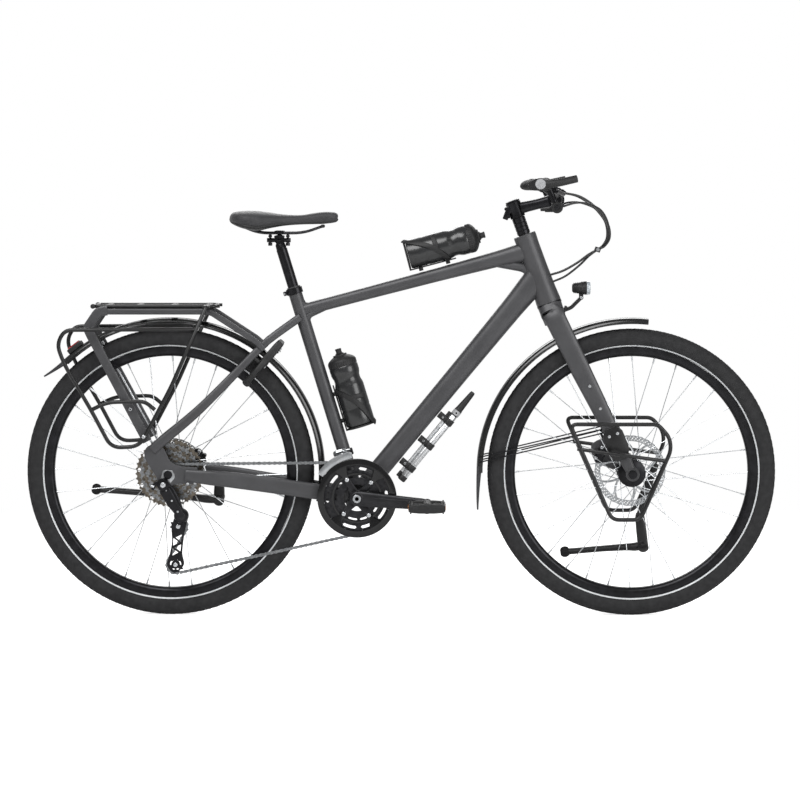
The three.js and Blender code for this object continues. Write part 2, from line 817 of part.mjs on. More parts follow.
function mainFrame() {
  const seatTube = pin(bracket, onSeatTube(seatTop), frame.seatTubeRadius, 16);
  const collarTop = seatTop - frame.collarRecess;
  const collar = pin(onSeatTube(collarTop - frame.collarHeight), onSeatTube(collarTop),
    frame.collarRadius, 16);
  const collarEar = block(onSeatTube(collarTop - frame.collarHeight / 2, -frame.collarRadius),
    frame.collarRecess * 4, frame.collarHeight, frame.collarHeight - frame.collarRecess, 0);
  const topTube = tube(topTubeSeat, topTubeHead, [frame.topTubeSeatWidth, frame.topTubeHeadWidth],
    [frame.topTubeSeatDepth, frame.topTubeHeadDepth]);
  const downTube = tube(bracket, downTubeHead, [frame.downTubeWidth, frame.downTubeHeadWidth],
    [frame.downTubeDepth, frame.downTubeHeadDepth]);
  const headTube = pin(onSteerer(frame.headCupHeight), onSteerer(headTop), frame.headTubeLow, 20,
    frame.headTubeHigh);
  const shellHalf = frame.bracketShellWidth / 2;
  const shell = pin(bracket.clone().setY(-shellHalf), bracket.clone().setY(shellHalf),
    frame.bracketShellRadius, 16);
  const seatBridge = crossBar(polar(rearAxle, rearBridge.place, rearBridge.angle), rearBridge.half,
    frame.bridgeRadius);
  const stayBridge = crossBar(polar(rearAxle, lowBridge.place, lowBridge.angle), lowBridge.half,
    frame.bridgeRadius);
  const carrierCross = carrierCrossShares.map((share) => crossBar(
    placed(rearAxle, share), carrierBeamShares[3][1] * radius, carrier.crossRadius));
  const postBore = pin(onSeatTube(seatTop - frame.postBoreDepth), onSeatTube(seatTop + fit.overrun),
    frame.postBore / 2, 16);
  const bracketBore = pin(bracket.clone().setY(-shellHalf - fit.overrun),
    bracket.clone().setY(shellHalf + fit.overrun), frame.bracketBore / 2, 16);
  const steererBore = pin(onSteerer(-fit.overrun), onSteerer(headTop + fit.overrun),
    frame.headCupBore / 2, 16);
  const headBore = pin(onSteerer(2 * frame.headCupHeight), onSteerer(headTop - frame.headCupHeight),
    frame.headBore / 2, 16);
  const axleBore = pin(rearAxle.clone().setY(-layout.rearHubWidth),
    rearAxle.clone().setY(layout.rearHubWidth), wheel.axleRadius + fit.gap, 12);
  const tubes = join(seatTube, collar, collarEar, topTube, downTube, headTube, shell, headGusset(),
    seatBridge, stayBridge, ...carrierCross, ...sides.map(rearTriangle));
  return cut(tubes, postBore, bracketBore, steererBore, headBore, axleBore);
}
add('main_frame', mainFrame(), finishes.paint);

// The bearing cartridge in the bottom bracket shell, with a cup at each end.
function bottomBracketUnit() {
  const half = frame.bracketShellWidth / 2 + fit.gap;
  const barrel = pin(bracket.clone().setY(-half - bottomBracket.cupWidth),
    bracket.clone().setY(half + bottomBracket.cupWidth), frame.bracketBore / 2 - fit.gap * 2, 16);
  const cups = sides.map((side) => pin(bracket.clone().setY(side * half),
    bracket.clone().setY(side * (half + bottomBracket.cupWidth)), bottomBracket.cupRadius, 16));
  const bore = pin(bracket.clone().setY(-2 * half), bracket.clone().setY(2 * half),
    bottomBracket.bore / 2, 16);
  return cut(join(barrel, ...cups), bore);
}
add('bottom_bracket', bottomBracketUnit(), finishes.blackMetal);

// A through axle with a flat head on the left and a nut on the right.
function throughAxle(centre, half) {
  const stem = pin(centre.clone().setY(-half), centre.clone().setY(half), wheel.axleRadius, 12);
  const head = pin(centre.clone().setY(half), centre.clone().setY(half + axle.headWidth),
    axle.headRadius, 12);
  const nut = pin(centre.clone().setY(-half), centre.clone().setY(-half - axle.nutWidth), axle.headRadius, 6);
  return join(stem, head, nut);
}
const rearAxleHalf = layout.rearHubWidth / 2 + frame.dropoutThickness + 2 * fit.gap;
add('rear_axle', throughAxle(rearAxle, rearAxleHalf), finishes.steel);

// The rack's deck, its side loops with their arches, and a peg to each strut of the carrier.
function rearRack() {
  const beamTop = placed(rearAxle, [0, carrierBeamShares[3][2]]).z + carrier.beamDepth / 2;
  const height = beamTop + fit.gap + rack.deckThickness / 2;
  const deckPoint = (share, y) => vector(rearAxle.x + share * radius, y, height);
  const { front, rear, cross } = deckShares;
  const half = rack.deckHalfWidth;
  const rails = sides.map((side) => block(
    deckPoint((front + rear) / 2, side * half), (front - rear) * radius, rack.deckThickness,
    rack.deckThickness));
  const bars = cross.map((share, i) => block(deckPoint(share, 0), 2 * rack.deckThickness,
    i === 0 ? 2 * (rack.loopPlace + rack.tubeRadius) : 2 * half, rack.deckThickness));
  const ends = [front, rear].map((share) => block(deckPoint(share, 0), rack.deckThickness,
    2 * half + rack.deckThickness, rack.deckThickness));
  const loops = sides.map((side) => {
    const y = side * rack.loopPlace;
    const loop = rod(loopShares.map((share) => placed(rearAxle, share, y)), rack.tubeRadius, rack.bend);
    const arch = rod(archShares.map((share) => placed(rearAxle, share, y)), rack.tubeRadius, rack.bend);
    const foot = placed(rearAxle, rack.footShare, y);
    const strutFace = side * (carrierStrutShares[4][1] * radius + carrier.strutWidth / 2 + fit.running);
    const peg = pin(foot, foot.clone().setY(strutFace + side * fit.running), rack.tubeRadius, 6);
    return join(loop, arch, peg);
  });
  return join(...rails, ...bars, ...ends, ...loops);
}
add('rear_rack', rearRack(), finishes.blackMetal);

const facetShare = 1 / Math.cos(Math.PI / wheel.facets);
const facetPhase = Math.PI / wheel.facets;
// Radii are given to the middle of a facet, so that a flat facet stands on the ground.
const ringRound = (profile, centre) => turned(
  profile.map(([r, y]) => [r * facetShare, y]), centre, wheel.facets, facetPhase);

function tyre(centre) {
  const half = (width) => width / 2;
  const right = [
    [radius, half(wheel.treadWidth)],
    [radius - wheel.shoulderDrop, half(wheel.shoulderWidth)],
    [radius - wheel.bellyDrop, half(wheel.tyreWidth)],
    [wheel.rimRadius + fit.gap, half(wheel.beadWidth)],
  ];
  const left = right.map(([r, y]) => [r, -y]).reverse();
  return ringRound([...right, ...left, right[0]], centre);
}

function rim(centre) {
  const wall = wheel.rimRadius - wheel.rimWallDepth;
  const bed = wheel.rimRadius - wheel.rimDepth;
  const right = [
    [wheel.rimRadius, wheel.rimWidth / 2],
    [wall, wheel.rimWidth / 2],
    [bed, wheel.rimBedWidth / 2],
  ];
  const left = right.map(([r, y]) => [r, -y]).reverse();
  return ringRound([...right, ...left, right[0]], centre);
}

// Spokes of one side of a wheel, every other one leaning forwards.
function spokes(centre, flangeY, flangeRadius, parity, phase) {
  const reach = wheel.rimRadius - wheel.rimDepth - 2 * fit.gap;
  const step = 2 * Math.PI / wheel.spokesPerSide;
  return Array.from({ length: wheel.spokesPerSide }, (_, i) => {
    const lean = (i + parity) % 2 ? -1 : 1;
    const from = polar(centre, flangeRadius - 4 * wheel.spokeRadius, phase + i * step,
      flangeY + lean * wheel.spokeHeadOffset);
    const to = polar(centre, reach, phase + i * step + lean * wheel.spokeCross,
      lean * wheel.spokeRadius * parity);
    return pin(from, to, wheel.spokeRadius, 3);
  });
}

function flange(centre, y, flangeRadius) {
  const half = wheel.flangeThickness / 2;
  return pin(centre.clone().setY(y - half), centre.clone().setY(y + half), flangeRadius, 12);
}

function hub(centre, stages, flanges, phase) {
  const body = stages.map(([from, to, r]) => pin(centre.clone().setY(from), centre.clone().setY(to), r, 12));
  const rounds = flanges.map(({ y, r }) => flange(centre, y, r));
  const laced = flanges.flatMap(({ y, r }, i) => spokes(centre, y, r, i, phase));
  const whole = centre.clone().setY(layout.rearHubWidth);
  const bore = pin(whole, whole.clone().setY(-layout.rearHubWidth), wheel.axleRadius + fit.gap * 2, 12);
  return cut(join(...body, ...rounds, ...laced), bore);
}

function discRotor(centre, y, outer, seat) {
  const band = circle(centre, outer, rotor.facets);
  const hole = circle(centre, outer - rotor.bandWidth, rotor.facets).reverse();
  const ring = plate(band, rotor.thickness, y, [hole]);
  const carrierRing = plate(circle(centre, seat + rotor.armWidth, 10), rotor.thickness, y,
    [circle(centre, seat + 3 * fit.gap, 12).reverse()]);
  const arms = Array.from({ length: rotor.armCount }, (_, i) => {
    const angle = 2 * Math.PI * i / rotor.armCount;
    const [inside, outside] = [seat + rotor.armWidth / 2, outer - rotor.bandWidth / 2];
    return block(polar(centre, (inside + outside) / 2, angle, y), outside - inside, rotor.thickness,
      rotor.armWidth, angle);
  });
  return join(ring, carrierRing, ...arms);
}

const frontHalf = layout.frontHubWidth / 2;
const rearHalf = layout.rearHubWidth / 2;
add('front_tyre', tyre(frontAxle), finishes.rubber);
add('rear_tyre', tyre(rearAxle), finishes.rubber);
add('front_rim', rim(frontAxle), finishes.blackMetal);
add('rear_rim', rim(rearAxle), finishes.blackMetal);
add('front_hub', hub(frontAxle, [
  [-frontHalf, frontHalf, frontHub.neckRadius],
  [-frontHub.shellHalf, frontHub.shellHalf, frontHub.shellRadius],
  [frontHub.shellHalf, frontHub.rotorPlace + rotor.thickness, frontHub.rotorSeatRadius],
], [
  { y: -frontHub.flangePlace, r: frontHub.flangeRadius },
  { y: frontHub.flangePlace, r: frontHub.flangeRadius },
], frontHub.spokePhase), finishes.blackMetal);
add('rear_hub', hub(rearAxle, [
  [-rearHalf, rearHalf, rearHub.neckRadius],
  [-rearHub.flangeRight, rearHub.flangeLeft, rearHub.shellRadius],
  [rearHub.flangeLeft, rearHub.rotorPlace + rotor.thickness, rearHub.rotorSeatRadius],
], [
  { y: -rearHub.flangeRight, r: rearHub.flangeRadius },
  { y: rearHub.flangeLeft, r: rearHub.flangeRadius },
], rearHub.spokePhase), finishes.blackMetal);
add('front_rotor', discRotor(frontAxle, frontHub.rotorPlace, rotor.frontRadius, frontHub.rotorSeatRadius),
  finishes.steel);
add('rear_rotor', discRotor(rearAxle, rearHub.rotorPlace, rotor.rearRadius, rearHub.rotorSeatRadius),
  finishes.steel);
add('front_axle', throughAxle(frontAxle, frontHalf + fork.bladeThicknesses[3] + 2 * fit.gap), finishes.steel);

// A band round the wheel whose edges turn down, with a flap, stays to the axle and a mounting tab.
function guardBand(centre, from, to) {
  const steps = Math.round((to - from) / (12 * degrees));
  const outer = radius + guard.clearance + guard.thickness;
  const [edge, flatHalf] = [guard.width / 2, guard.width / 2 - guard.lipDepth];
  const profile = (angle, skin, reach) => [
    [-edge + skin, outer - guard.lipDepth - reach], [edge - skin, outer - guard.lipDepth - reach],
    [edge - skin, outer - guard.lipDepth], [flatHalf - skin / 2, outer - skin],
    [-flatHalf + skin / 2, outer - skin], [-edge + skin, outer - guard.lipDepth],
  ].map(([y, r]) => polar(centre, r, angle, y));
  const margin = guard.thickness / outer;
  const shell = [];
  const hollow = [];
  for (let i = 0; i <= steps; i += 1) {
    const angle = from + (to - from) * i / steps;
    const spread = i === 0 ? -margin : i === steps ? margin : 0;
    shell.push(profile(angle, 0, guard.thickness / 2));
    hollow.push(profile(angle + spread, guard.thickness / 2, guard.lipDepth));
  }
  return cut(loft(shell), loft(hollow));
}

// A flap that leaves the band at its end and flares out from the wheel.
function guardFlap(centre, from, turn) {
  const inner = radius + guard.clearance + guard.thickness / 2;
  const half = guard.width / 2 - guard.lipDepth / 2;
  const section = (angle, r, wide) => oval(polar(centre, r, angle), vector(0, 1, 0),
    vector(Math.cos(angle), 0, Math.sin(angle)), wide, guard.thickness / 2, 4, 0.01);
  return loft([section(from - turn / 4, inner, half), section(from, inner, half),
    section(from + turn, inner + guard.flapOut, half + guard.lipDepth / 2)]);
}

function guardTab(centre, angle, reachTo) {
  const from = radius + guard.clearance + guard.thickness / 2;
  return block(polar(centre, (from + reachTo) / 2, angle), reachTo - from, guard.tabThickness,
    guard.tabThickness, angle);
}

function rearMudguard() {
  const outer = radius + guard.clearance + guard.thickness;
  const lampAngle = guard.rearTo - guard.lampLength / outer;
  const lamp = block(polar(rearAxle, outer + guard.lampDepth / 2 - guard.thickness / 2, lampAngle),
    guard.lampDepth, guard.lampWidth, guard.lampLength, lampAngle);
  const stays = sides.map((side) => rod([
    placed(rearAxle, guard.stayFootShare, side * (rearHalf - guard.stayRadius)),
    polar(rearAxle, outer - guard.lipDepth, guard.stayAngle, side * guard.width / 2),
  ], guard.stayRadius, guard.stayRadius, 4));
  return join(guardBand(rearAxle, guard.rearFrom, guard.rearTo),
    guardFlap(rearAxle, guard.rearTo, guard.flapTurn), lamp,
    guardTab(rearAxle, rearBridge.angle, rearBridge.place - frame.bridgeRadius - fit.gap),
    guardTab(rearAxle, lowBridge.angle, lowBridge.place - frame.bridgeRadius - fit.gap), ...stays);
}
add('rear_mudguard', rearMudguard(), finishes.blackPlastic);

// A brake caliper that straddles its rotor, against the inner face of the frame or fork end.
function discCaliper(centre, angle, rotorRadius, rotorPlace, endFace, innerFace) {
  const reach = rotorRadius - caliper.height / 4;
  const body = block(polar(centre, reach, angle, (endFace + innerFace) / 2), caliper.height,
    endFace - innerFace, caliper.length, angle);
  const slotReach = caliper.height + fit.overrun;
  const slot = block(polar(centre, rotorRadius + fit.running - slotReach / 2, angle, rotorPlace),
    slotReach, caliper.slot, caliper.length + 2 * fit.overrun, angle);
  return cut(body, slot);
}
add('rear_caliper', discCaliper(rearAxle, caliper.rearAngle, rotor.rearRadius, rearHub.rotorPlace,
  rearHalf, rearHalf - caliper.width), finishes.blackMetal);

// Stations along shares of the wheel radius from any origin, with a width and depth for each.
function shareStations(origin, shares, side, wides, deeps) {
  return shares.map(([xShare, yShare, zShare], i) => ({
    at: placed(origin, [xShare, zShare], side * yShare * radius),
    wide: wides[i],
    deep: deeps[i],
  }));
}
const forkBlade = (side) => bar(
  shareStations(frontAxle, bladeShares, side, fork.bladeThicknesses, fork.bladeDepths));
const aheadPitch = Math.PI / 2 - layout.headAngle;
const stemTop = stem.clampFrom + stem.clampHeight;

function forkPart() {
  const steerer = pin(onSteerer(-fork.crownDrop / 2), onSteerer(stemTop - fit.running),
    fork.steererRadius, 16);
  const race = pin(onSteerer(-fit.running), onSteerer(frame.headCupHeight - fit.gap), fork.raceRadius, 16);
  const crownBlock = block(onSteerer(-fork.crownDrop / 2), fork.crownLength, fork.crownWidth,
    fork.crownDrop, aheadPitch);
  const endThickness = fork.bladeThicknesses[3];
  const ends = sides.map((side) => pin(frontAxle.clone().setY(side * (frontHalf + fit.gap)),
    frontAxle.clone().setY(side * (frontHalf + fit.gap + endThickness)), fork.endRadius, 12));
  const tab = plate(caliperTabShares.map((share) => placed(frontAxle, share)).map(({ x, z }) => [x, z]),
    fork.tabThickness, frontHalf + fit.gap + fork.tabThickness / 2);
  const bore = pin(frontAxle.clone().setY(-2 * frontHalf), frontAxle.clone().setY(2 * frontHalf),
    wheel.axleRadius + fit.gap, 12);
  const hubSpace = pin(frontAxle.clone().setY(-frontHalf - fit.gap),
    frontAxle.clone().setY(frontHalf + fit.gap), rotor.frontRadius, 12);
  return cut(join(steerer, race, crownBlock, ...sides.map(forkBlade), ...ends, tab), bore, hubSpace);
}
add('fork', forkPart(), finishes.paint);
add('front_caliper', discCaliper(frontAxle, caliper.frontAngle, rotor.frontRadius, frontHub.rotorPlace,
  frontHalf, frontHub.rotorPlace - caliper.slot / 2 - rotor.thickness * 2), finishes.blackMetal);

const barCentre = onSteerer(handlebar.height, handlebar.ahead);
const barPoint = ([aheadShare, sideShare, upShare], side) => barCentre.clone().add(vector(
  aheadShare * handlebar.half, side * sideShare * handlebar.half, upShare * handlebar.half));
const barCorners = [
  ...barBendShares.map((share) => barPoint(share, -1)).reverse(),
  ...barBendShares.map((share) => barPoint(share, 1)),
];
const barRod = (spare = 0) => rod(barCorners, handlebar.gripRadius + spare, handlebar.clampHalf, 10);
const clampRod = (half, spare = 0) => pin(barCentre.clone().setY(-half), barCentre.clone().setY(half),
  handlebar.clampRadius + spare, 16);
add('handlebar', join(barRod(), clampRod(handlebar.clampHalf)), finishes.blackMetal);

function stemPart() {
  const spacers = pin(onSteerer(headTop + fit.gap), onSteerer(stem.clampFrom + stem.capThickness),
    stem.spacerRadius, 16);
  const clamp = pin(onSteerer(stem.clampFrom), onSteerer(stemTop + stem.capThickness), stem.clampRadius, 16);
  const section = { wide: stem.extensionWidth, deep: stem.extensionDepth };
  const extension = bar([
    { at: onSteerer(stem.clampFrom + stem.clampHeight / 2, fit.running), ...section },
    { at: barCentre, ...section },
  ], 8);
  const barClamp = pin(barCentre.clone().setY(-stem.barClampWidth / 2),
    barCentre.clone().setY(stem.barClampWidth / 2), stem.barClampRadius, 14);
  const steererBore = pin(onSteerer(headTop - fit.overrun), onSteerer(stemTop - fit.gap),
    fork.steererRadius + fit.gap, 16);
  return cut(join(spacers, clamp, extension, barClamp), steererBore, clampRod(stem.barClampWidth, fit.gap));
}
add('stem', stemPart(), finishes.blackMetal);

// A place on the bar, as a share of its half width.
function onBar(share, side) {
  const after = barBendShares.findIndex((bend) => bend[1] >= share);
  const [a, b] = [barBendShares[after - 1], barBendShares[after]];
  return barPoint(a, side).lerp(barPoint(b, side), (share - a[1]) / (b[1] - a[1]));
}

function gripPart(side) {
  const inner = onBar(grip.fromShare, side);
  const outer = onBar(1, side);
  const along = outer.clone().sub(inner).normalize();
  const up = vector(-0.2, 0, 1).normalize();
  const back = along.clone().cross(up).multiplyScalar(side).normalize();
  const rings = [[0, 0], [0.4, 0], [0.75, 0.85], [1, 1]].map(([share, wing]) => oval(
    inner.clone().lerp(outer, share).addScaledVector(back, grip.wingBack * -wing),
    back, up, grip.radius + wing * (grip.wingHalf - grip.radius), grip.radius, 8));
  const hornRoot = outer.clone().addScaledVector(along, -grip.hornRadius);
  const hornLine = hornPoints.map(
    ([ahead, out, rise]) => hornRoot.clone().add(vector(ahead, side * out, rise)));
  const horn = rod(hornLine, grip.hornRadius, grip.hornRadius * 2, 6);
  const bore = pin(inner.clone().addScaledVector(along, -fit.overrun),
    outer.clone().addScaledVector(along, fit.gap), handlebar.gripRadius + 2 * fit.gap, 10);
  return cut(join(loft(rings), horn), bore, barRod(fit.gap));
}
sides.forEach((side) => {
  add(side < 0 ? 'grip_right' : 'grip_left', gripPart(side), finishes.rubber);
});

// The controls on one side of the bar: a bracket with its pod, a brake lever and a shift trigger.
function controlParts(side) {
  const root = onBar(control.placeShare, side);
  const from = ({ ahead, out, up }) => root.clone().add(vector(ahead, side * out, up));
  const pivot = from(leverPivot);
  const pod = from(podPlace);
  const ahead = pivot.clone().sub(root).setY(0).normalize();
  const axis = vector(-ahead.z, 0, ahead.x);
  const alongAxis = (reach, size, count) => pin(pivot.clone().addScaledVector(axis, -reach),
    pivot.clone().addScaledVector(axis, reach), size, count);
  const alongY = (centre, half, size, count) => pin(centre.clone().setY(centre.y - half),
    centre.clone().setY(centre.y + half), size, count);
  const slotHalf = control.leverThickness / 2 + fit.gap;
  const lugHalf = slotHalf + control.lugThickness;
  const tip = onBar(leverShares.tip, side).add(pivot.clone().sub(root).setY(0));
  const knee = pivot.clone().lerp(tip, leverShares.knee)
    .addScaledVector(ahead, leverShares.ahead * handlebar.half);

  const slot = alongAxis(slotHalf, control.hubRadius + control.slotSpace, 10);
  const fork = cut(join(
    alongY(root, control.clampWidth / 2, control.clampRadius, 10),
    pin(root, pivot, control.armRadius, 6),
    alongAxis(lugHalf, control.hubRadius, 10),
    block(root.clone().lerp(pivot, 0.75).setY(root.y - side * reservoirSize.inset), reservoirSize.width,
      reservoirSize.length, reservoirSize.height, Math.atan2(ahead.z, ahead.x)),
  ), slot);
  const podBody = alongY(pod, control.podWidth / 2, control.podRadius, 10);
  const bracketPart = cut(join(fork, alongAxis(lugHalf - fit.gap, control.pinRadius, 8),
    pin(root, pod, control.armRadius, 6), podBody), barRod(fit.gap));
  const hub = alongAxis(control.leverThickness / 2, control.hubRadius, 10);
  const lever = cut(join(hub, rod([pivot, knee, tip], control.leverThickness / 2, control.hubRadius)),
    alongAxis(lugHalf, control.pinRadius + fit.gap, 8));
  const hingeOff = control.podWidth / 2 + fit.gap + control.triggerThickness / 2;
  const hinge = pod.clone().setY(pod.y - side * hingeOff);
  const trigger = join(
    alongY(hinge, control.triggerThickness / 2, control.podRadius - control.triggerThickness, 10),
    block(hinge.clone().add(vector(-control.triggerLength / 2, 0, -control.podRadius / 2)),
      control.triggerLength, control.triggerThickness, control.triggerWidth, 0),
  );
  return { bracketPart, lever, trigger };
}
sides.forEach((side) => {
  const name = side < 0 ? 'right' : 'left';
  const { bracketPart, lever, trigger } = controlParts(side);
  add(`brake_mount_${name}`, bracketPart, finishes.blackMetal);
  add(`brake_lever_${name}`, lever, finishes.blackMetal);
  add(`shift_trigger_${name}`, trigger, finishes.blackPlastic);
});

// The front mudguard hangs from the crown and is held by a stay from each blade.
function frontMudguard() {
  const under = onSteerer(-fork.crownDrop).sub(frontAxle);
  const outer = radius + guard.clearance + guard.thickness;
  const stays = sides.map((side) => rod([
    placed(frontAxle, guardStayShare.fork, side * guardStayShare.fork[2] * radius),
    placed(frontAxle, guardStayShare.guard, side * guard.width / 2),
  ], guard.stayRadius, guard.stayRadius, 4));
  const tabAngle = Math.atan2(under.z, under.x);
  return join(guardBand(frontAxle, guard.frontFrom, guard.frontTo),
    guardFlap(frontAxle, guard.frontTo, guard.frontFlapTurn),
    guardTab(frontAxle, tabAngle, under.length() - fit.running), ...stays);
}
add('front_mudguard', frontMudguard(), finishes.blackPlastic);

// The headlight tilts on a lug between the cheeks of its bracket.
const lampPivot = crown.clone().add(vector(headlight.pivot[0], 0, headlight.pivot[1]));
function headlightPart() {
  const centre = lampPivot.clone().add(vector(0, 0, headlight.rise));
  const half = headlight.bodyLength / 2;
  const body = pin(centre.clone().add(vector(-half, 0, 0)), centre.clone().add(vector(half, 0, 0)),
    headlight.backRadius, 14, headlight.bodyRadius);
  const lug = pin(lampPivot.clone().setY(-headlight.lugWidth / 2),
    lampPivot.clone().setY(headlight.lugWidth / 2), headlight.lugRadius, 10);
  const neck = block(lampPivot.clone().lerp(centre, 0.5), headlight.lugRadius * 2, headlight.lugWidth,
    headlight.rise);
  const bore = pin(lampPivot.clone().setY(-headlight.lugWidth), lampPivot.clone().setY(headlight.lugWidth),
    headlight.pinRadius + fit.gap * 2, 8);
  return cut(join(body, lug, neck), bore);
}
add('headlight', headlightPart(), finishes.blackPlastic);

function headlightBracket() {
  const cheekFrom = headlight.lugWidth / 2 + fit.gap;
  const cheekTo = cheekFrom + headlight.lugWidth / 2;
  const cheeks = sides.map((side) => pin(lampPivot.clone().setY(side * cheekFrom),
    lampPivot.clone().setY(side * cheekTo), headlight.lugRadius, 10));
  const bolt = pin(lampPivot.clone().setY(-cheekTo), lampPivot.clone().setY(cheekTo), headlight.pinRadius, 8);
  const foot = onSteerer(-fork.crownDrop / 2, fork.crownLength / 2 + fit.gap);
  const arms = sides.map((side) => {
    const y = side * (cheekFrom + cheekTo) / 2;
    return rod([lampPivot.clone().setY(y),
      lampPivot.clone().add(vector(-headlight.rise, 0, -headlight.rise)).setY(y),
      onSteerer(-fork.crownDrop / 2, fork.crownLength / 2 + fork.crownDrop / 3, y),
      onSteerer(-fork.crownDrop / 2, fork.crownLength / 2 + headlight.lugWidth, y)],
    (cheekTo - cheekFrom) / 2, headlight.rise / 2);
  });
  const pad = block(foot.clone().addScaledVector(steerAhead, headlight.lugWidth / 2), headlight.lugWidth,
    fork.crownDrop / 2, fork.crownDrop / 2, aheadPitch);
  return join(...cheeks, bolt, ...arms, pad);
}
add('headlight_bracket', headlightBracket(), finishes.blackMetal);

// A carrier beside the front wheel: a loop, a cross bar and a plate bolted to the fork blade.
function lowriderPart(side) {
  const y = side * lowrider.place;
  const loop = rod(lowriderShares.map((share) => placed(frontAxle, share, y)), lowrider.tubeRadius,
    lowrider.bend);
  const [sleeveFrom, sleeveTo] = lowriderSleeveShares.map((share) => placed(frontAxle, share, y));
  const sleeve = pin(sleeveFrom, sleeveTo, lowrider.tubeRadius + lowrider.sleeveWall, 10);
  const cross = rod(lowriderCrossShares.map((share) => placed(frontAxle, share, y)), lowrider.tubeRadius,
    lowrider.tubeRadius);
  const centre = placed(frontAxle, lowrider.platePlaceShare, side * lowrider.platePlace);
  const plateBody = block(centre, lowrider.plateLength, lowrider.plateThickness, lowrider.plateHeight,
    aheadPitch);
  const [back, front] = lowriderCrossShares.map((share) => placed(frontAxle, share, y));
  const pegs = lowrider.pegShares.map((share) => {
    const end = back.clone().lerp(front, share);
    return pin(end, end.clone().setY(centre.y), lowrider.tubeRadius, 6);
  });
  const parts = [loop, sleeve, cross, plateBody, ...pegs];
  if (side > 0) parts.push(standBracket());
  return join(...parts);
}

// The hinge of a folding leg: a cheek with a pin through the leg's hub, and an arm to its anchor.
function standHinge(pivot, axis, anchor) {
  const inner = stand.hubWidth / 2 + fit.gap;
  const at = (reach) => pivot.clone().addScaledVector(axis, reach);
  return join(
    pin(at(-inner), at(-inner - stand.cheek), stand.hubRadius),
    pin(at(-inner - stand.cheek / 2), at(inner + stand.cheek / 2), stand.pinRadius, 8),
    pin(at(inner), at(inner + stand.cheek), stand.pinRadius * 2, 8),
    pin(at(-inner - stand.cheek * 1.3), anchor, stand.cheek, 8),
  );
}

function standLeg(pivot, axis, rest, length) {
  const at = (reach) => pivot.clone().addScaledVector(axis, reach);
  const hub = pin(at(-stand.hubWidth / 2), at(stand.hubWidth / 2), stand.hubRadius - fit.running, 12);
  const foot = pivot.clone().addScaledVector(rest, length);
  const leg = pin(pivot, foot, stand.legRadius, 8);
  const heel = pin(foot.clone().addScaledVector(rest, -stand.footWidth), foot, stand.legRadius, 8,
    stand.footRadius);
  const bore = pin(at(-stand.hubWidth), at(stand.hubWidth), stand.pinRadius + 2 * fit.gap, 12);
  return cut(join(hub, leg, heel), bore);
}

const frontStandPivot = placed(frontAxle, frontStand.pivotShare, lowrider.place);
const frontStandAxis = vector(...frontStand.axisShares).normalize();
const frontStandRest = vector(...frontStand.restShares).normalize();
function standBracket() {
  const [top, knee] = standBarShares.map((share) => placed(frontAxle, share, lowrider.place));
  return join(standHinge(frontStandPivot, frontStandAxis, knee), pin(knee, top, stand.cheek, 8));
}
sides.forEach((side) => {
  add(side < 0 ? 'lowrider_right' : 'lowrider_left', lowriderPart(side), finishes.blackMetal);
});
add('front_stand_leg', standLeg(frontStandPivot, frontStandAxis, frontStandRest, frontStand.length),
  finishes.blackMetal);

// Cables and hoses from both sides of the bar run through one clip and on to the head tube.
function controlCables() {
  const run = (points, side, steps) => {
    const curve = new THREE.CatmullRomCurve3(
      points.map((at) => at.clone().multiply(vector(1, side, 1))));
    const settings = { steps, extrudePath: curve, bevelEnabled: false };
    return solid(new THREE.ExtrudeGeometry(roundSection(cables.radius, cables.sides), settings));
  };
  const [brakePoints, shiftPoints] = [cableRoutes.brake, cableRoutes.shift].map(
    (route) => route.map((offsets) => barCentre.clone().add(vector(...offsets))));
  const clipAt = brakePoints.at(-1).clone().setY(0);
  const entry = onSteerer(cableEntry.height, cableEntry.ahead);
  const framePoints = cableFrameShares.map(([alongShare, upShare], i) => vector(
    entry.x + alongShare * (clipAt.x - entry.x), cableFrameOut[i],
    entry.z + upShare * (clipAt.z - entry.z)));
  const parts = sides.flatMap((side) => [
    run(brakePoints, -side, cables.steps),
    run(shiftPoints, -side, cables.steps),
    run(framePoints, side, cables.steps / 2),
  ]);
  const clip = block(clipAt, cables.clipLength, cables.clipWidth, cables.clipHeight,
    layout.headAngle);
  return join(clip, ...parts);
}
add('control_cables', controlCables(), finishes.rubber);

const crankEnd = polar(bracket, crank.length, crank.pitch);
const bigRadius = rings.pitch / (2 * Math.sin(Math.PI / rings.bigTeeth));
const bolts = spiderAngles.map((angle) => polar(bracket, crank.boltCircle, angle));
const across = (centre, from, to, size, count, end) => pin(
  centre.clone().setY(from), centre.clone().setY(to), size, count, end);

// A crank arm points from the bottom bracket to its pedal's axle.
function crankArm(side, end) {
  const arm = bar([
    { at: bracket.clone().setY(side * crank.rootPlace), wide: crank.armWidth, deep: crank.rootDepth },
    { at: end.clone().setY(side * crank.endPlace), wide: crank.armWidth, deep: crank.endDepth },
  ]);
  const half = crank.armWidth / 2;
  const boss = across(bracket, side * (crank.rootPlace - half), side * (crank.rootPlace + half),
    crank.rootDepth / 2, 14);
  const eye = across(end, side * (crank.endPlace - half), side * (crank.endPlace + half),
    crank.endDepth / 2, 12);
  const axleEnd = side * (pedal.place + pedal.width / 2 - pedal.endCap);
  const spindle = across(end, side * crank.endPlace, axleEnd, crank.pedalAxleRadius, 10);
  return join(arm, boss, eye, spindle);
}

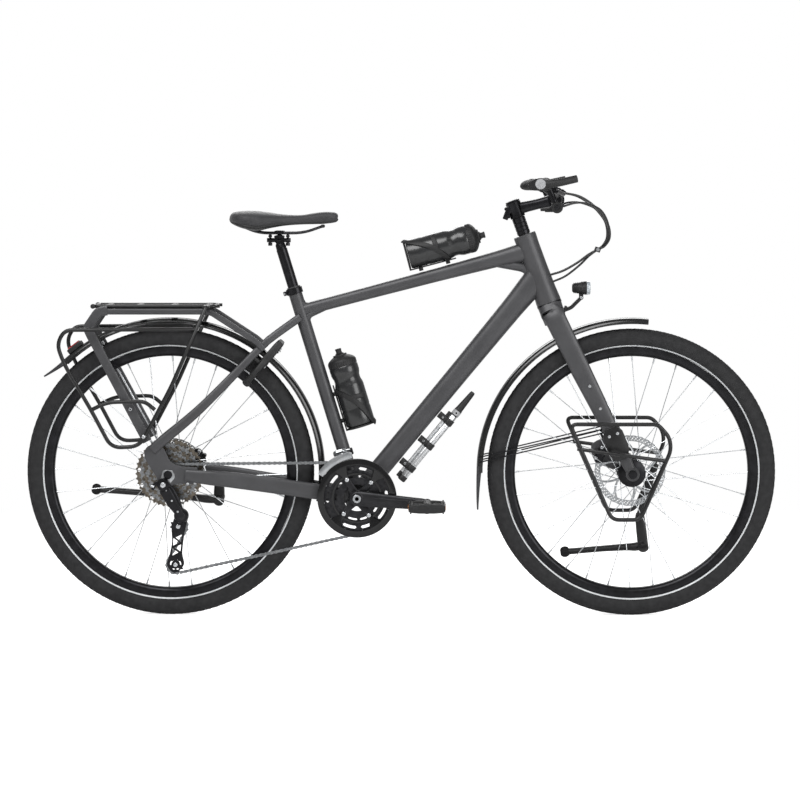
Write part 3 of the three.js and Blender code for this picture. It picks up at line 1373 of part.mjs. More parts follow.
function crankRight() {
  const spindle = across(bracket, -crank.rootPlace, crank.rootPlace + crank.armWidth / 2,
    bottomBracket.spindleRadius, 16);
  const [near, far] = [crank.spiderPlace - crank.spiderThickness / 2, crank.rootPlace];
  const hubBoss = across(bracket, -near, -far, crank.rootDepth / 2, 14);
  const spider = spiderAngles.map((angle) => block(
    polar(bracket, crank.spiderReach / 2, angle, -crank.spiderPlace), crank.spiderReach,
    crank.spiderThickness, crank.spiderWidth, angle));
  return join(crankArm(-1, crankEnd), spindle, hubBoss, ...spider);
}
add('crank_right', crankRight(), finishes.blackMetal);

function crankLeft() {
  const end = polar(bracket, crank.length, crank.pitch + Math.PI);
  const bore = across(bracket, 0, 2 * crank.rootPlace, bottomBracket.spindleRadius + fit.gap * 2, 16);
  return cut(crankArm(1, end), bore);
}
add('crank_left', crankLeft(), finishes.blackMetal);

function ringPlate(place, outline, inner, count) {
  return plate(outline, rings.thickness, -place, [circle(bracket, inner, count).reverse()]);
}

function chainrings() {
  const guardRing = ringPlate(rings.guardPlace, circle(bracket, rings.guardRadius, 24), rings.guardInner, 16);
  const big = ringPlate(rings.bigPlace, circle(bracket, bigRadius + rings.toothHeight, 32),
    rings.innerRadius, 12);
  const small = ringPlate(rings.smallPlace, circle(bracket, rings.smallRadius, 20), rings.innerRadius, 12);
  const reach = rings.guardInner + rings.thickness;
  const arms = spiderAngles.map((angle) => block(
    polar(bracket, (crank.boltCircle + reach) / 2, angle, -rings.guardPlace), reach - crank.boltCircle,
    rings.thickness - fit.gap, crank.boltRadius * 2, angle));
  const pegs = bolts.map((centre) => across(centre, -rings.smallPlace + rings.thickness,
    -rings.guardPlace - rings.thickness, crank.boltRadius, 6));
  return join(guardRing, big, small, ...arms, ...pegs);
}
add('chainrings', chainrings(), finishes.darkSteel);

function pedalPart(side, end) {
  const centre = end.clone().setY(side * pedal.place);
  const body = block(centre, pedal.length, pedal.width, pedal.height);
  const barrel = across(end, side * (pedal.place - pedal.width / 2), side * (pedal.place + pedal.width / 2),
    pedal.rail + crank.pedalAxleRadius, 10);
  const windows = [-1, 1].map((way) => block(
    centre.clone().add(vector(way * (pedal.length / 2 - pedal.rail - pedal.window / 2), 0, 0)),
    pedal.window, pedal.width - 2 * pedal.rail, pedal.height + fit.overrun));
  const bore = across(end, side * (pedal.place - pedal.width), side * (pedal.place + pedal.width),
    crank.pedalAxleRadius + fit.gap * 2, 10);
  return cut(join(cut(body, ...windows), barrel), bore);
}
add('pedal_right', pedalPart(-1, crankEnd), finishes.blackPlastic);
add('pedal_left', pedalPart(1, polar(bracket, crank.length, crank.pitch + Math.PI)), finishes.blackPlastic);

function cassette() {
  const { places, radii, bore, facets } = cassetteSteps;
  const profile = radii.flatMap((r, i) => [[r, -places[i]], [r, -places[i + 1]]]);
  const inner = [[bore, -places[places.length - 1]], [bore, -places[0]]];
  return turned([...profile, ...inner, profile[0]], rearAxle, facets);
}
add('cassette', cassette(), finishes.darkSteel);

// The chain's line: circles that it wraps, each with the side that its centre lies on.
const guideCentre = placed(rearAxle, mech.guideShare);
const tensionCentre = placed(rearAxle, mech.tensionShare);
const mechPivot = placed(rearAxle, mech.pivotShare);
const wraps = {
  ring: { centre: bracket, r: bigRadius, turn: 1 },
  cog: { centre: rearAxle, r: chain.cogRadius, turn: 1 },
  guide: { centre: guideCentre, r: chain.pulleyRadius, turn: -1 },
  tension: { centre: tensionCentre, r: chain.pulleyRadius, turn: 1 },
};

// The heading of the straight run from one circle to the next.
function heading(a, b) {
  const apart = b.centre.clone().sub(a.centre);
  return Math.atan2(apart.z, apart.x) + Math.asin((a.turn * a.r - b.turn * b.r) / apart.length());
}
const contact = (wrap, way, y) => polar(wrap.centre, wrap.r, way - wrap.turn * Math.PI / 2, y);

// Points round a circle from the heading it is entered with to the one it is left with.
function wrapPoints(wrap, enter, leave, y) {
  let sweep = (leave - enter) * wrap.turn;
  while (sweep < 0) sweep += 2 * Math.PI;
  const count = Math.max(2, Math.round(sweep / chain.arcStep));
  return Array.from({ length: count + 1 }, (_, i) => contact(
    wrap, enter + wrap.turn * sweep * i / count, y));
}
const topRun = heading(wraps.ring, wraps.cog);
const dropRun = heading(wraps.cog, wraps.guide);
const crossRun = heading(wraps.guide, wraps.tension);
const lowRun = heading(wraps.tension, wraps.ring);

// Two rows of side plates along a line of points, with rollers across its straight stretches.
function chainPart(points, rollers) {
  const rows = sides.map((side) => {
    const offset = side * (chain.halfWidth - chain.plateThickness / 2);
    return bar(points.map((point) => ({
      at: point.clone().setY(point.y + offset), wide: chain.plateThickness, deep: chain.plateHeight,
    })), 4, 0.01);
  });
  const pins = rollers.map((centre) => across(centre, centre.y - chain.halfWidth + chain.plateThickness / 2,
    centre.y + chain.halfWidth - chain.plateThickness / 2, chain.rollerRadius, 6));
  return join(...rows, ...pins);
}

function rollersAlong(from, to) {
  const span = from.distanceTo(to);
  const count = Math.max(2, Math.floor(span / chain.rollerStep));
  return Array.from({ length: count - 1 }, (_, i) => from.clone().lerp(to, (i + 1) / count));
}

const ringY = -rings.bigPlace;
const cogY = -chain.cogPlace;
const lowStart = contact(wraps.tension, lowRun, cogY);
const lowEnd = contact(wraps.ring, lowRun, ringY);
const lowFrom = lowStart.clone().lerp(lowEnd, mech.runGap / lowStart.distanceTo(lowEnd));
const topStart = contact(wraps.ring, topRun, ringY);
const topEnd = contact(wraps.cog, topRun, cogY);
const dropStart = contact(wraps.cog, dropRun, cogY);
const dropEnd = contact(wraps.guide, dropRun, cogY);
const dropTo = dropStart.clone().lerp(dropEnd, 0.45);
add('chain', chainPart([
  lowFrom,
  ...wrapPoints(wraps.ring, lowRun, topRun, ringY),
  ...wrapPoints(wraps.cog, topRun, dropRun, cogY),
  dropTo,
], [...rollersAlong(lowFrom, lowEnd), ...rollersAlong(topStart, topEnd)]), finishes.steel);

const crossStart = contact(wraps.guide, crossRun, cogY);
const crossEnd = contact(wraps.tension, crossRun, cogY);
add('chain_cage_run', chainPart([
  dropStart.clone().lerp(dropEnd, 0.75),
  ...wrapPoints(wraps.guide, dropRun, crossRun, cogY),
  ...wrapPoints(wraps.tension, crossRun, lowRun, cogY),
], rollersAlong(crossStart, crossEnd)), finishes.steel);

function pulley(centre) {
  const disc = across(centre, cogY - mech.pulleyThickness / 2, cogY + mech.pulleyThickness / 2,
    chain.pulleyRadius - fit.running, 12);
  const sleeve = across(centre, cogY - mech.cageHalfGap + mech.cagePlateThickness / 2 + fit.gap,
    cogY + mech.cageHalfGap - mech.cagePlateThickness / 2 - fit.gap, mech.pulleyBore * 2, 10);
  return cut(join(disc, sleeve), across(centre, 0, 2 * cogY, mech.pulleyBore, 10));
}
add('guide_pulley', pulley(guideCentre), finishes.blackPlastic);
add('tension_pulley', pulley(tensionCentre), finishes.blackPlastic);

function derailleurCage() {
  const outline = (centres) => join(...centres.map(([a, b]) => {
    const along = b.clone().sub(a);
    return [sides.map((side) => {
      const y = cogY + side * mech.cageHalfGap;
      const half = mech.cagePlateThickness / 2;
      return [
        block(a.clone().lerp(b, 0.5).setY(y), along.length(), 2 * half, 1.7 * mech.cageRound,
          Math.atan2(along.z, along.x)),
        across(a, y - half, y + half, mech.cageRound, 8),
        across(b, y - half, y + half, mech.cageRound, 8),
      ];
    })].flat(2);
  }).flat());
  const plates = outline([[mechPivot, guideCentre], [guideCentre, tensionCentre]]);
  const pins = [guideCentre, tensionCentre].map((centre) => across(centre, cogY - mech.cageHalfGap,
    cogY + mech.cageHalfGap, mech.pinRadius, 8));
  return join(plates, ...pins);
}
add('derailleur_cage', derailleurCage(), finishes.blackMetal);

function derailleurBody() {
  const hanger = placed(rearAxle, hangerShare);
  const hangerFace = -(rearHalf + frame.dropoutThickness + 2 * fit.gap);
  const cageFace = cogY - mech.cageHalfGap - mech.cagePlateThickness / 2 - fit.gap;
  const upper = across(hanger, hangerFace, hangerFace - mech.knuckleWidth, mech.knuckleRadius, 14);
  const lower = across(mechPivot, cageFace, cageFace - mech.knuckleWidth, mech.knuckleRadius, 14);
  const section = { wide: mech.linkWidth, deep: mech.linkDepth };
  const link = bar([
    { at: hanger.clone().setY(hangerFace - mech.knuckleWidth / 2), ...section },
    { at: mechPivot.clone().setY(cageFace - mech.knuckleWidth / 2), ...section },
  ]);
  return join(upper, lower, link);
}
add('derailleur_body', derailleurBody(), finishes.blackMetal);

function frontDerailleur() {
  const steps = 4;
  const arc = (reach, from, to) => Array.from({ length: steps + 1 }, (_, i) => {
    const angle = from + (to - from) * i / steps;
    return [bracket.x + reach * Math.cos(angle), bracket.z + reach * Math.sin(angle)];
  });
  const { from, to } = frontMech;
  const outline = [...arc(frontMech.inner, from, to), ...arc(frontMech.outer, to, from)];
  const plates = sides.map(
    (side) => plate(outline, frontMech.plateThickness, ringY + side * frontMech.halfGap));
  const bridge = plate([...arc(frontMech.outer - frontMech.plateThickness, from, from + (to - from) / 3),
    ...arc(frontMech.outer, from + (to - from) / 3, from)], 2 * frontMech.halfGap, ringY);
  const clampAt = onSeatTube(frontMech.clampPlace);
  const half = frontMech.clampWidth / 2;
  const clamp = pin(onSeatTube(frontMech.clampPlace - half), onSeatTube(frontMech.clampPlace + half),
    frontMech.clampRadius, 12);
  const arm = block(clampAt.clone().setY((ringY + frontMech.halfGap) / 2), frontMech.clampWidth * 1.5,
    -ringY - frontMech.halfGap, frontMech.clampWidth);
  const bore = pin(onSeatTube(frontMech.clampPlace - 2 * half), onSeatTube(frontMech.clampPlace + 2 * half),
    frame.seatTubeRadius + fit.gap, 16);
  return cut(join(...plates, bridge, clamp, arm), bore);
}
add('front_derailleur', frontDerailleur(), finishes.steel);

// The seatpost's head holds the rails between a cradle and a yoke.
const postTop = seatTop + seat.postReach;
const clampAt = onSeatTube(seatTop + seat.clampReach, seat.clampBack);
const railHeight = clampAt.z + seat.clampRadius + seat.railRadius + seat.railGap;
const saddleRear = clampAt.x - saddle.rear;
const saddlePoint = (along, side, up) => vector(
  saddleRear + along * saddle.length, side * saddle.length,
  railHeight + (up - railShares[1][2]) * saddle.length);

function seatpost() {
  const post = pin(onSeatTube(seatTop - seat.postInsert), onSeatTube(postTop), seat.postRadius, 16);
  const neck = pin(onSeatTube(postTop), clampAt, seat.postRadius, 12);
  const cradle = across(clampAt, -seat.clampWidth / 2, seat.clampWidth / 2, seat.clampRadius, 12);
  const top = railHeight + seat.railRadius + seat.railGap;
  const core = block(vector(clampAt.x, 0, (clampAt.z + top) / 2), seat.clampRadius * 2, seat.yokeWidth,
    top - clampAt.z);
  const yoke = block(vector(clampAt.x, 0, top + seat.yokeThickness / 2), seat.clampRadius * 2,
    seat.clampWidth, seat.yokeThickness);
  return join(post, neck, cradle, core, yoke);
}
add('seatpost', seatpost(), finishes.blackMetal);

function saddleBody() {
  const rings = saddleShares.map(([along, half, top, base]) => {
    const low = saddlePoint(along, 0, base);
    const high = saddlePoint(along, 0, top);
    const middle = low.clone().lerp(high, 0.5);
    return oval(middle, vector(0, 1, 0), vector(0, 0, 1), half * saddle.length,
      (high.z - low.z) / 2, 12, 0.75);
  });
  return loft(rings);
}

// Two rails joined by a bridge at each end, or the room that they need with some spare.
function saddleRails(spare = 0) {
  const size = seat.railRadius + spare;
  const rails = sides.map((side) => rod(
    railShares.map(([along, out, up]) => saddlePoint(along, side * out, up)), size, seat.railRadius * 4));
  const bridges = [railShares[0], railShares[3]].map(([along, out, up]) => {
    const thick = 1.2 * size;
    const reach = out + thick / saddle.length;
    return pin(saddlePoint(along, -reach, up), saddlePoint(along, reach, up), thick, 6);
  });
  return join(...rails, ...bridges);
}
add('saddle', cut(saddleBody(), saddleRails(fit.gap)), finishes.rubber);
add('saddle_rails', saddleRails(), finishes.steel);

// A frame for things that lie along a tube: its origin, its direction and the way out from it.
const alongSeatTube = (height, off, y = 0) => onSeatTube(height, off, y);
const topTubeWay = topTubeHead.clone().sub(topTubeSeat).normalize();
const topTubeOut = vector(-topTubeWay.z, 0, topTubeWay.x);
const alongTopTube = (reach, off, y = 0) => topTubeSeat.clone()
  .addScaledVector(topTubeWay, reach).addScaledVector(topTubeOut, off).setY(y);
const downTubeWay = downTubeHead.clone().sub(bracket).normalize();
const downTubeOut = vector(downTubeWay.z, 0, -downTubeWay.x);
const alongDownTube = (reach, off, y = 0) => bracket.clone()
  .addScaledVector(downTubeWay, reach).addScaledVector(downTubeOut, off).setY(y);

function bottlePart(place, { from, off }) {
  const profile = bottleShares.map(([r, h]) => [r * bottle.radius, h * bottle.height]);
  const spout = [[bottle.spout, bottle.height], [bottle.spout, bottle.height + bottle.spoutHeight],
    [0, bottle.height + bottle.spoutHeight]];
  const points = [...profile, ...spout].map(([r, h]) => new THREE.Vector2(r, h));
  const geometry = new THREE.LatheGeometry(points, bottle.facets);
  const [low, high] = [place(from, off), place(from + bottle.height, off)];
  geometry.applyQuaternion(new THREE.Quaternion().setFromUnitVectors(
    vector(0, 1, 0), high.clone().sub(low).normalize()));
  geometry.translate(low.x, low.y, low.z);
  return solid(geometry);
}

// A cage: a strip on two standoffs, a band that leaves the front open and a lip under the bottle.
function bottleCage(place, { from, off }, surfaceAt) {
  const inner = bottle.radius + 2 * fit.gap;
  const outer = inner + cage.wall;
  const disc = (a, b, r) => pin(place(a, off), place(b, off), r, bottle.facets);
  const bandFrom = from + bottle.height * cageShares.band;
  const band = disc(bandFrom, bandFrom + cage.band, outer);
  const foot = disc(from - fit.gap - cage.lip, from + cage.lip * 2, outer);
  const stripFrom = from - fit.gap - cage.lip;
  const stripTo = from + bottle.height * cageShares.strip;
  const strip = tubeStrip(place, stripFrom, stripTo, off - outer + cage.wall / 2);
  const space = disc(from - fit.gap, from + bottle.height, inner);
  const mouth = tubeBox(place, bandFrom - fit.overrun, bandFrom + cage.band + fit.overrun,
    off + outer * cageShares.mouth, outer, cage.mouth);
  const hollow = disc(from - fit.gap - cage.lip - fit.overrun, from,
    bottle.radius * cageShares.base);
  const standoffs = cageShares.standoffs.map((share) => {
    const at = from + bottle.height * share;
    return pin(place(at, off - inner - cage.wall / 2), place(at, surfaceAt(at) + fit.gap), cage.standoff, 8);
  });
  return cut(join(cut(join(band, foot), hollow, mouth), strip, ...standoffs), space);
}
function tubeBox(place, from, to, off, deep, wide) {
  const [a, b] = [place(from, off), place(to, off)];
  const way = b.clone().sub(a);
  return block(a.clone().lerp(b, 0.5), way.length(), wide, deep, Math.atan2(way.z, way.x));
}
const tubeStrip = (place, from, to, off) => tubeBox(place, from, to, off, cage.thickness, cage.back);
const topTubeLength = topTubeHead.distanceTo(topTubeSeat);
const topSurface = (reach) => (frame.topTubeSeatDepth
  + (frame.topTubeHeadDepth - frame.topTubeSeatDepth) * reach / topTubeLength) / 2;
add('seat_tube_bottle', bottlePart(alongSeatTube, seatBottle), finishes.bottle);
add('top_tube_bottle', bottlePart(alongTopTube, topBottle), finishes.bottle);
add('seat_tube_bottle_cage', bottleCage(alongSeatTube, seatBottle, () => frame.seatTubeRadius),
  finishes.blackPlastic);
add('top_tube_bottle_cage', bottleCage(alongTopTube, topBottle, topSurface), finishes.blackPlastic);

function pumpBarrel() {
  const at = (reach) => alongDownTube(reach, pump.off);
  const barrel = pin(at(pump.from), at(pump.to), pump.barrelRadius, 10);
  const cap = pin(at(pump.from), at(pump.from + pump.capLength), pump.handleRadius, 10);
  const mounts = pump.mounts.map((reach) => tubeBox(alongDownTube, reach, reach + pump.mountLength,
    pump.off / 2, pump.off, pump.mountWidth));
  const hoseOff = pump.off - pump.barrelRadius - pump.hoseRadius / 2;
  const hose = pin(alongDownTube(pump.from, hoseOff), alongDownTube(pump.to, hoseOff), pump.hoseRadius, 6);
  const bore = pin(at(pump.rodFrom - pump.capLength), at(pump.to + fit.overrun), pump.bore, 12);
  const roomy = (size) => size + 2 * fit.gap;
  const tubeSpace = bar([
    { at: bracket, wide: roomy(frame.downTubeWidth), deep: roomy(frame.downTubeDepth) },
    { at: downTubeHead, wide: roomy(frame.downTubeHeadWidth), deep: roomy(frame.downTubeHeadDepth) },
  ], 12, 0.9);
  return cut(join(barrel, cap, hose, ...mounts), tubeSpace, bore);
}
add('pump_barrel', pumpBarrel(), finishes.steel);

function pumpHandle() {
  const at = (reach) => alongDownTube(reach, pump.off);
  return join(pin(at(pump.rodFrom), at(pump.to + pump.capLength), pump.rodRadius, 10),
    pin(at(pump.to + fit.gap), at(pump.handleTo), pump.handleRadius, 12));
}
add('pump_handle', pumpHandle(), finishes.blackPlastic);

// The horseshoe lock lies in a plane through the rear axle, across the wheel.
const lockOut = vector(Math.cos(lock.angle), 0, Math.sin(lock.angle));
const lockFace = vector(-lockOut.z, 0, lockOut.x);
const lockCentre = rearAxle.clone().addScaledVector(lockOut, lock.centre);
const lockPoint = (y, out, face = 0) => lockCentre.clone()
  .addScaledVector(lockOut, out).addScaledVector(lockFace, face).setY(y);

// A prism across the lock's plane from [sideways, outward] pairs.
function lockPrism(outline, from, to) {
  return loft([from, to].map((face) => outline.map(([y, out]) => lockPoint(y, out, face))));
}
const lockArc = (r, from, to, count) => Array.from({ length: count + 1 }, (_, i) => {
  const angle = from + (to - from) * i / count;
  return [r * Math.cos(angle), r * Math.sin(angle)];
});

// A round bolt bent along the lock's ring.
function lockBolt(from, to, r, count = 8) {
  const steps = Math.ceil((to - from) / (15 * degrees));
  const middle = (lock.innerRadius + lock.outerRadius) / 2;
  const rings = Array.from({ length: steps + 1 }, (_, i) => {
    const angle = from + (to - from) * i / steps;
    const centre = lockPoint(middle * Math.cos(angle), middle * Math.sin(angle));
    const out = lockPoint(Math.cos(angle), Math.sin(angle)).sub(lockCentre).normalize();
    return oval(centre, out, lockFace, r, r, count, 1);
  });
  return loft(rings);
}

function frameLock() {
  const half = lock.thickness / 2;
  const body = lockPrism(lockArc(lock.outerRadius, 0, 2 * Math.PI, 20).slice(0, -1), -half, half);
  const top = lockPrism([
    [-lock.topHalf, 0], [lock.topHalf, 0],
    [lock.topHalf * lock.topShare, lock.topReach], [-lock.topHalf * lock.topShare, lock.topReach],
  ], -half, half);
  const over = half + fit.overrun;
  const hole = lockPrism(lockArc(lock.innerRadius, 0, 2 * Math.PI, 16).slice(0, -1), -over, over);
  const guardHalf = guard.width / 2 + 2 * fit.running;
  const guardReach = radius + guard.clearance + guard.thickness + 2 * fit.running - lock.centre;
  const guardSpace = lockPrism([
    [-guardHalf, 0], [guardHalf, 0], [guardHalf, guardReach], [-guardHalf, guardReach],
  ], -over, over);
  const gapHalf = lock.outerRadius * Math.sin(lock.gapHalfAngle);
  const mouth = lockPrism([
    [-gapHalf, -lock.outerRadius - fit.overrun], [gapHalf, -lock.outerRadius - fit.overrun], [0, 0],
  ], -over, over);
  const down = -90 * degrees;
  const channel = lockBolt(down + lock.gapHalfAngle - lock.boltEnd * 3, lock.boltTo + lock.boltTurn / 8,
    lock.pinBore, 8);
  const socket = lockBolt(down - lock.gapHalfAngle - lock.boltEnd * 3,
    down - lock.gapHalfAngle + lock.boltEnd * 3, lock.pinBore, 8);
  const slotHalf = lock.knobRadius + fit.running / 2;
  const slotArc = lockArc(lock.outerRadius * 2, down + lock.gapHalfAngle - lock.boltEnd * 3,
    lock.boltTo + lock.boltTurn / 12, 6);
  const slot = lockPrism([[0, 0], ...slotArc], -slotHalf, slotHalf);
  const ringMiddle = (lock.innerRadius + lock.outerRadius) / 2;
  const slotInside = lockPrism(lockArc(ringMiddle, 0, 2 * Math.PI, 20).slice(0, -1),
    -slotHalf - fit.gap, slotHalf + fit.gap);
  const lugs = sides.map((side) => {
    const from = lockPoint(side * lock.lugPlace, lock.lugOut, half - fit.gap);
    return pin(from, from.clone().addScaledVector(lockFace, lock.lugReach), lock.lugRadius, 10);
  });
  const staySpace = sides.map((side) => seatstayBar(side, fit.gap));
  const ring = cut(join(body, top), hole, guardSpace, mouth);
  return cut(join(cut(ring, cut(slot, slotInside), channel, socket), ...lugs), ...staySpace);
}
add('frame_lock', frameLock(), finishes.blackPlastic);

function lockShackle() {
  const down = -90 * degrees;
  const bolt = lockBolt(down + lock.gapHalfAngle + lock.boltEnd, lock.boltTo, lock.pinRadius, 6);
  const middle = (lock.innerRadius + lock.outerRadius) / 2;
  const knobAngle = lock.boltTo - lock.boltEnd;
  const at = (r) => lockPoint(r * Math.cos(knobAngle), r * Math.sin(knobAngle));
  return join(bolt, pin(at(middle), at(lock.outerRadius + lock.knobReach), lock.knobRadius - fit.gap, 8));
}
add('lock_shackle', lockShackle(), finishes.steel);

const rearStandPivot = placed(rearAxle, rearStand.pivotShare, rearStand.place);
const rearStandAxis = vector(...rearStand.axisShares).normalize();
const rearStandRest = vector(...rearStand.restShares).normalize();
function rearStandBracket() {
  const mount = placed(rearAxle, rearStand.mountShare, rearStand.place);
  const base = block(mount, stand.hubRadius * 2, stand.hubRadius * 1.2, stand.hubRadius * 2.4);
  const staySpace = chainstayBar(1, fit.gap);
  return cut(join(standHinge(rearStandPivot, rearStandAxis, mount), base), staySpace);
}
add('rear_stand_bracket', rearStandBracket(), finishes.blackMetal);
add('rear_stand_leg', standLeg(rearStandPivot, rearStandAxis, rearStandRest, rearStand.length),
  finishes.blackMetal);

export default bicycle;
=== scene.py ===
import math

import bmesh
import bpy
from mathutils import Matrix, Vector


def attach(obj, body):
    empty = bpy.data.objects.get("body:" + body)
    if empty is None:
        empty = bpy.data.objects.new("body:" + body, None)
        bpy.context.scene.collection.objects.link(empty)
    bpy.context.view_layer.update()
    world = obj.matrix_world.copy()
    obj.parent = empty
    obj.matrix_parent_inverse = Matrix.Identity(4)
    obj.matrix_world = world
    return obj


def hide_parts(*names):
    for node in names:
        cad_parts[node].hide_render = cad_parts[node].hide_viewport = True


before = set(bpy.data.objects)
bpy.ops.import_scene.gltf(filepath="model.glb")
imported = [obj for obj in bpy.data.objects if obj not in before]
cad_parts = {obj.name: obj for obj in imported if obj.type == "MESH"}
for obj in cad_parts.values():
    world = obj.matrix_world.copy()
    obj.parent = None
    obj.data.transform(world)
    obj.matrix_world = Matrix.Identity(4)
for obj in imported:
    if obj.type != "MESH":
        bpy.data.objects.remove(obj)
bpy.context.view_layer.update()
print("frame loaded")

mm = 0.001  # sizes are typed in millimetres
ahead, outward, upward = Vector((1, 0, 0)), Vector((0, 1, 0)), Vector((0, 0, 1))


def linear(hexColour):
    channels = [int(hexColour[i:i + 2], 16) / 255 for i in (1, 3, 5)]
    straight = [c / 12.92 if c <= 0.04045 else ((c + 0.055) / 1.055) ** 2.4 for c in channels]
    return (*straight, 1)


def addNode(tree, kind, settings=None, links=None):
    node = tree.nodes.new(kind)
    for name, value in (settings or {}).items():
        if name in node.inputs:
            node.inputs[name].default_value = value
        else:
            setattr(node, name, value)
    for name, source in (links or {}).items():
        tree.links.new(source, node.inputs[name])
    return node


# A finish: a base shader, two shades that drift into each other, a grain that is felt as bump,
# and a roughness that varies as on a thing that is handled.
def makeFinish(name, look):
    material = bpy.data.materials.new(name)
    material.use_nodes = True
    tree = material.node_tree
    tree.nodes.clear()
    place = addNode(tree, "ShaderNodeTexCoord").outputs["Object"]
    shader = addNode(tree, "ShaderNodeBsdfPrincipled", look["shader"])
    drift = look["drift"]
    cloud = addNode(tree, "ShaderNodeTexNoise",
                    {"Scale": 1 / (drift["size"] * mm), "Detail": drift.get("detail", 3)}, {"Vector": place})
    shades = addNode(tree, "ShaderNodeValToRGB", links={"Fac": cloud.outputs["Fac"]})
    for stop, place2, colour in zip(shades.color_ramp.elements, (0.35, 0.65), drift["shades"]):
        stop.position = place2
        stop.color = linear(colour)
    colour = shades.outputs["Color"]
    if "wear" in look:  # rubbed spots, lighter or darker, in thin flecks
        wear = look["wear"]
        flecks = addNode(tree, "ShaderNodeTexNoise", {"Scale": 1 / (wear["size"] * mm), "Detail": 8,
                                                      "Roughness": 0.7}, {"Vector": place})
        mask = addNode(tree, "ShaderNodeMapRange",
                       {"From Min": wear["from"], "From Max": wear["from"] + 0.08},
                       {"Value": flecks.outputs["Fac"]})
        mixed = addNode(tree, "ShaderNodeMix", {"data_type": "RGBA"})
        mixed.inputs[7].default_value = linear(wear["colour"])
        tree.links.new(mask.outputs["Result"], mixed.inputs[0])
        tree.links.new(colour, mixed.inputs[6])
        colour = mixed.outputs[2]
    tree.links.new(colour, shader.inputs["Base Color"])
    sheen = look["gloss"]
    patches = addNode(tree, "ShaderNodeTexNoise", {"Scale": 1 / (sheen["size"] * mm), "Detail": 4},
                      {"Vector": place})
    spread = addNode(tree, "ShaderNodeMapRange", {"To Min": sheen["rough"][0], "To Max": sheen["rough"][1]},
                     {"Value": patches.outputs["Fac"]})
    tree.links.new(spread.outputs["Result"], shader.inputs["Roughness"])
    height = None
    for grain in look["grains"]:
        source = place
        if "stretch" in grain:
            source = addNode(tree, "ShaderNodeMapping", {"Scale": grain["stretch"]},
                             {"Vector": place}).outputs["Vector"]
        if grain["kind"] == "cells":
            texture = addNode(tree, "ShaderNodeTexVoronoi", {"Scale": 1 / (grain["size"] * mm)},
                              {"Vector": source})
            value = texture.outputs["Distance"]
        else:
            texture = addNode(tree, "ShaderNodeTexNoise", {"Scale": 1 / (grain["size"] * mm), "Detail": 4},
                              {"Vector": source})
            value = texture.outputs["Fac"]
        settings = {"Strength": grain["strength"], "Distance": grain["depth"] * mm}
        links = {"Height": value}
        if height is not None:
            links["Normal"] = height
        height = addNode(tree, "ShaderNodeBump", settings, links).outputs["Normal"]
    tree.links.new(height, shader.inputs["Normal"])
    output = addNode(tree, "ShaderNodeOutputMaterial", links={"Surface": shader.outputs["BSDF"]})
    output.target = "ALL"
    return material


